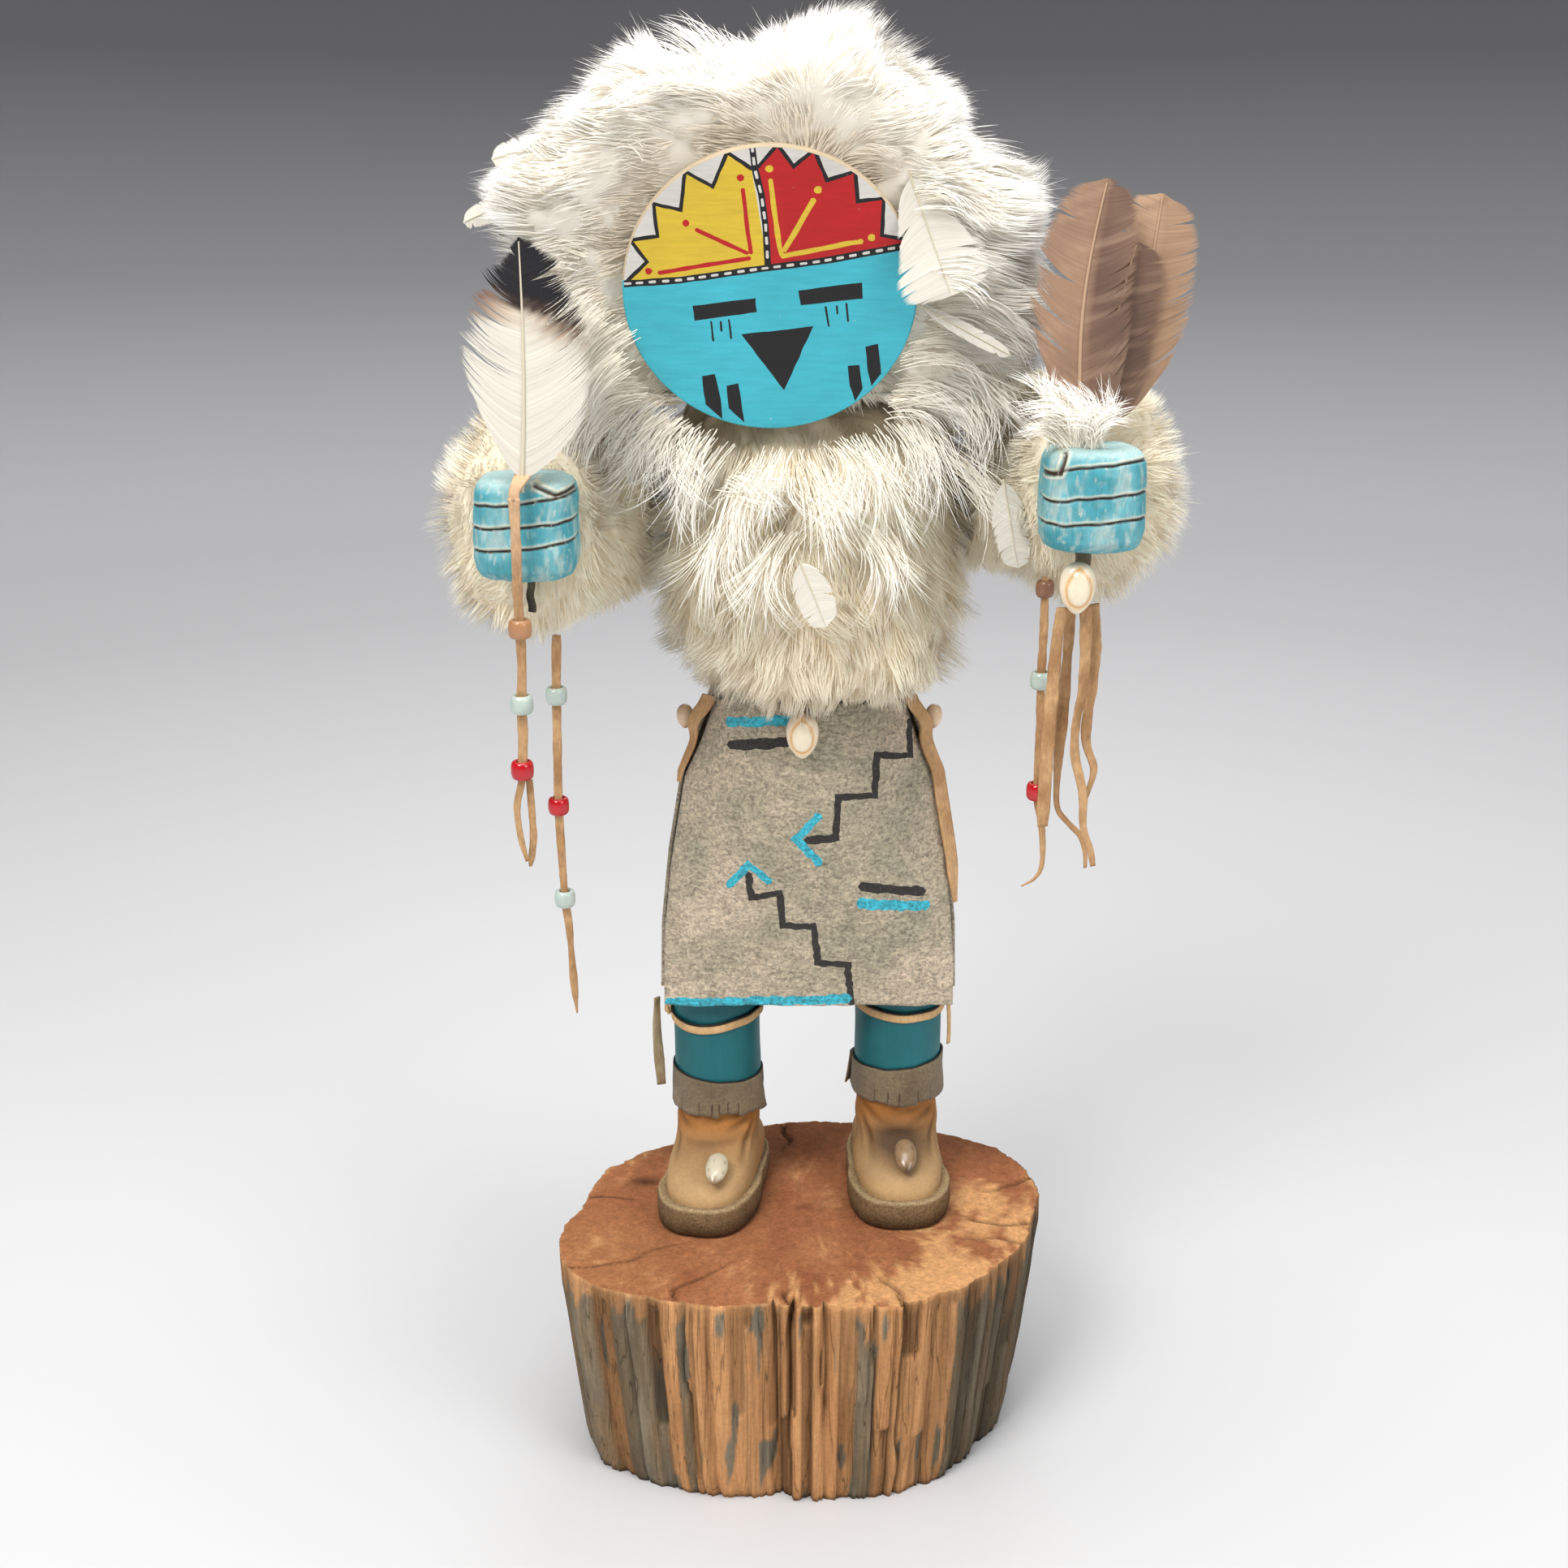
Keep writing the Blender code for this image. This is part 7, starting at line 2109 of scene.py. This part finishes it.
def lock(base, tip, facing, spread, seed, count, bow, loose, root=shown(250, 242, 224),
         end=shown(255, 253, 248)):
    """Silky down: fine hairs along one bowed line that part and curl at their ends."""
    rng = np.random.default_rng(seed)
    base, length, forward, facing, across = feather_axes(base, tip, facing)
    steps = 8
    s = np.linspace(0, 1, steps)[None, :]
    strand = np.clip(rng.normal(0, 0.5, (count, 2)), -1, 1)
    tuft = np.round(2.5 * strand[:, 0]).astype(int) + 3
    stray = rng.normal(0, 1, (7, 2))[tuft] + rng.normal(0, 0.45, (count, 2))
    along = rng.uniform(-0.05, 0.42, count)[:, None]
    share = rng.uniform(0.42, 0.66, count)[:, None]
    t = along + share * s
    arc = bow * 4 * t * (1 - t) * length
    curl = loose * stray
    part = 0.42 * strand[:, :1] * (1 - 0.25 * s) + (0.20 * strand[:, :1] + curl[:, :1]) * s ** 2
    rise = 0.16 * strand[:, 1:] + curl[:, 1:] * s ** 2 + 0.16 * np.sin(math.pi * np.clip(t, 0, 1))
    part, rise = spread * MM * part, spread * MM * rise
    paths = base + (t * length)[..., None] * forward + (arc + part)[..., None] * across
    paths = paths + rise[..., None] * facing
    widths = DOWN_WIDTH * MM * taper(s[0])[None] + 0 * t
    tones = blend(np.clip(t, 0, 1), root, end) * rng.normal(1.0, 0.02, (count, 1, 1))
    points, own, faces = ribbons(paths, widths, unit(facing + LIGHTWARD)[None], 25.0, seed, 0.85)
    return [(points, own, faces, strand_tones(np.clip(tones, 0, 1)))]


# Down plumes: where each starts and ends in the photograph, how deep both are in mm, and its spread in mm
RUFF_PLUMES = (
    ((845, 170), -62, (735, 72), -50, 20), ((905, 150), -62, (790, 38), -45, 19),
    ((790, 190), -62, (690, 118), -48, 20), ((760, 215), -60, (640, 160), -46, 17),
    ((735, 260), -60, (610, 240), -44, 17), ((720, 310), -62, (640, 330), -50, 15),
    ((935, 140), -58, (905, 40), -44, 12), ((960, 140), -62, (985, 40), -46, 16),
    ((990, 140), -62, (1060, 22), -46, 18), ((1035, 150), -64, (1125, 70), -50, 18),
    ((1060, 165), -64, (1185, 118), -50, 16), ((1095, 200), -64, (1160, 150), -54, 18),
    ((1120, 215), -64, (1275, 215), -46, 19), ((1140, 260), -64, (1300, 275), -46, 18),
    ((1150, 310), -64, (1310, 350), -48, 17), ((1150, 370), -64, (1280, 440), -50, 16),
    ((740, 380), -64, (690, 470), -56, 14), ((770, 440), -64, (720, 520), -58, 13),
    ((870, 145), -66, (800, 90), -66, 18), ((1010, 130), -66, (1080, 90), -66, 18),
    ((800, 170), -68, (735, 150), -66, 17), ((1130, 230), -68, (1210, 250), -66, 18),
    ((1145, 330), -68, (1230, 360), -66, 17), ((930, 120), -64, (860, 60), -52, 16),
    ((830, 505), -46, (770, 590), -42, 24), ((800, 480), -44, (735, 575), -42, 24),
    ((775, 460), -46, (715, 570), -42, 22), ((845, 520), -46, (815, 600), -44, 22),
    ((760, 490), -50, (705, 600), -46, 18), ((785, 470), -50, (700, 540), -50, 18),
    ((815, 515), -48, (790, 610), -44, 17), ((770, 400), -56, (705, 500), -54, 16),
    ((1100, 490), -50, (1190, 530), -48, 18), ((1120, 430), -54, (1240, 480), -52, 17),
)
CHEST_PLUMES = (
    ((880, 545), -50, (850, 690), -56, 17), ((940, 570), -52, (930, 730), -60, 18),
    ((1000, 560), -52, (1010, 720), -60, 17), ((1060, 540), -50, (1090, 700), -58, 18),
    ((1110, 500), -48, (1160, 660), -54, 18), ((1150, 470), -46, (1225, 600), -50, 18),
    ((820, 520), -46, (780, 640), -50, 15), ((1170, 560), -44, (1220, 700), -48, 14),
    ((905, 640), -56, (880, 770), -58, 14), ((1070, 650), -56, (1100, 770), -58, 14),
    ((970, 660), -58, (960, 800), -58, 14), ((1200, 440), -48, (1250, 560), -48, 14),
    ((1020, 600), -56, (1060, 660), -62, 15), ((900, 590), -56, (960, 650), -62, 15),
    ((855, 530), -50, (845, 640), -54, 17), ((960, 555), -54, (955, 660), -58, 18),
    ((1040, 545), -54, (1060, 650), -58, 18), ((1105, 520), -50, (1130, 620), -54, 17),
)
# White quill feathers, in the same way, with their widths in mm
WHITE_QUILLS = (
    ((704, 168), -52, (606, 196), -48, 9, 1), ((655, 236), -50, (571, 274), -46, 8, 2),
    ((1120, 212), -68, (1172, 364), -71, 29, 3), ((1134, 377), -66, (1245, 438), -62, 5, 4),
    ((1236, 590), -52, (1254, 700), -54, 12, 5), ((985, 690), -62, (1018, 772), -64, 13, 6),
    ((1090, 100), -52, (1104, 162), -60, 9, 7), ((1120, 95), -52, (1136, 160), -58, 8, 8),
)


# The tuft over the right hand: where each lock starts and ends, and its spread in mm
HAND_TUFT = (
    ((1335, 552), (1250, 505), 12), ((1330, 550), (1282, 484), 12), ((1342, 552), (1322, 474), 13),
    ((1346, 552), (1362, 492), 12), ((1322, 553), (1255, 540), 11), ((1345, 553), (1398, 505), 9),
    ((1300, 545), (1240, 470), 10), ((1350, 545), (1325, 500), 12),
)


def make_down():
    """Plumes and small quill feathers over the ruff and the chest, and the tuft over the right hand."""
    soft = strand_finish("down_barbs", 0.8, 0.7)
    for name, slot, plumes, seed, count, loose in (
        ("ruff_plumes", "white_down", RUFF_PLUMES, 200, 150, 0.13),
        ("chest_plumes", "white_fur", CHEST_PLUMES, 300, 85, 0.40),
    ):
        lots = []
        for k, (start, start_y, end, end_y, spread) in enumerate(plumes):
            base, tip = at_depth(*start, start_y * MM), at_depth(*end, end_y * MM)
            bow = 0.13 * (1 if end[0] < start[0] else -1) + 0.05 * math.sin(7 * k)
            lots += lock(base, tip, (0.0, -1.0, 0.35), spread, seed + 3 * k, count, bow, loose)
        grow(name, slot, soft, lots)
    lots = []
    for start, start_y, end, end_y, width, seed in WHITE_QUILLS:
        base, tip = at_depth(*start, start_y * MM), at_depth(*end, end_y * MM)
        shape = leaf(width, 0.3, fan=width > 20)
        lots += vane(base, tip, (0.0, -1.0, 0.3), shape, quill_tone, 400 + seed, 70, cup=0.8, splits=5,
                     ragged=0.05, shaft=(0.6, 0.2))
    grow("white_quills", "white_down", strand_finish(*FEATHER_VANE), lots)
    lots = []
    for k, (start, end, spread) in enumerate(HAND_TUFT):
        base, tip = at_depth(*start, -0.082), at_depth(*end, -0.090)
        bow = 0.22 if end[0] < start[0] else -0.22
        lots += lock(base, tip, (0.0, -1.0, 0.5), spread, 500 + 3 * k, 110, bow, 0.22)
    grow("tuft_right_hand", "white_down", soft, lots)
    make_neck_locks(soft)


def make_neck_locks(soft):
    """Locks behind the neck, from the ruff down over the torso's fur."""
    torso = Solid("fur_torso")
    angles, radii = rounds("fur_torso", torso.middle, [torso.high[2] - 12 * MM], 36, 1)
    above = np.array((torso.middle[0], torso.middle[1], torso.high[2]))
    lots = []
    for k, (angle, radius) in enumerate(zip(angles[1:18], radii[0][1:18])):
        outward = np.array((math.cos(angle), math.sin(angle), 0.0))
        rise = 15 + 2.0 * math.sin(4.1 * k)
        base = above + outward * (radius - 5 * MM) + (0.0, 0.0, rise * MM)
        tip = above + outward * (radius + 1.5 * MM) - (0.0, 0.0, (rise + 8) * MM)
        facing, bow = outward + (0.0, 0.0, 0.3), 0.10 * math.sin(2.3 * k)
        lots += lock(base, tip, facing, 20, 600 + 3 * k, 95, bow, 0.20, TORSO_ROOT, TORSO_TIP)
    grow("neck_locks", "white_fur", soft, lots)


make_stage()
make_log()
make_mask()
make_kilt_front()
make_kilt_back()
for side, sign in SIDES:
    make_leg(side)
    make_boot(side)
    make_sole(side)
    make_cuff(side)
    make_garter(side, sign)
    make_hip_strap(side, sign)
    make_fist(side, sign)
    make_hand_tie(side)
make_laces(make_beads(), make_shells())
make_garter_tail()
make_wrap()
make_hand_feathers()
make_fur()
make_down()
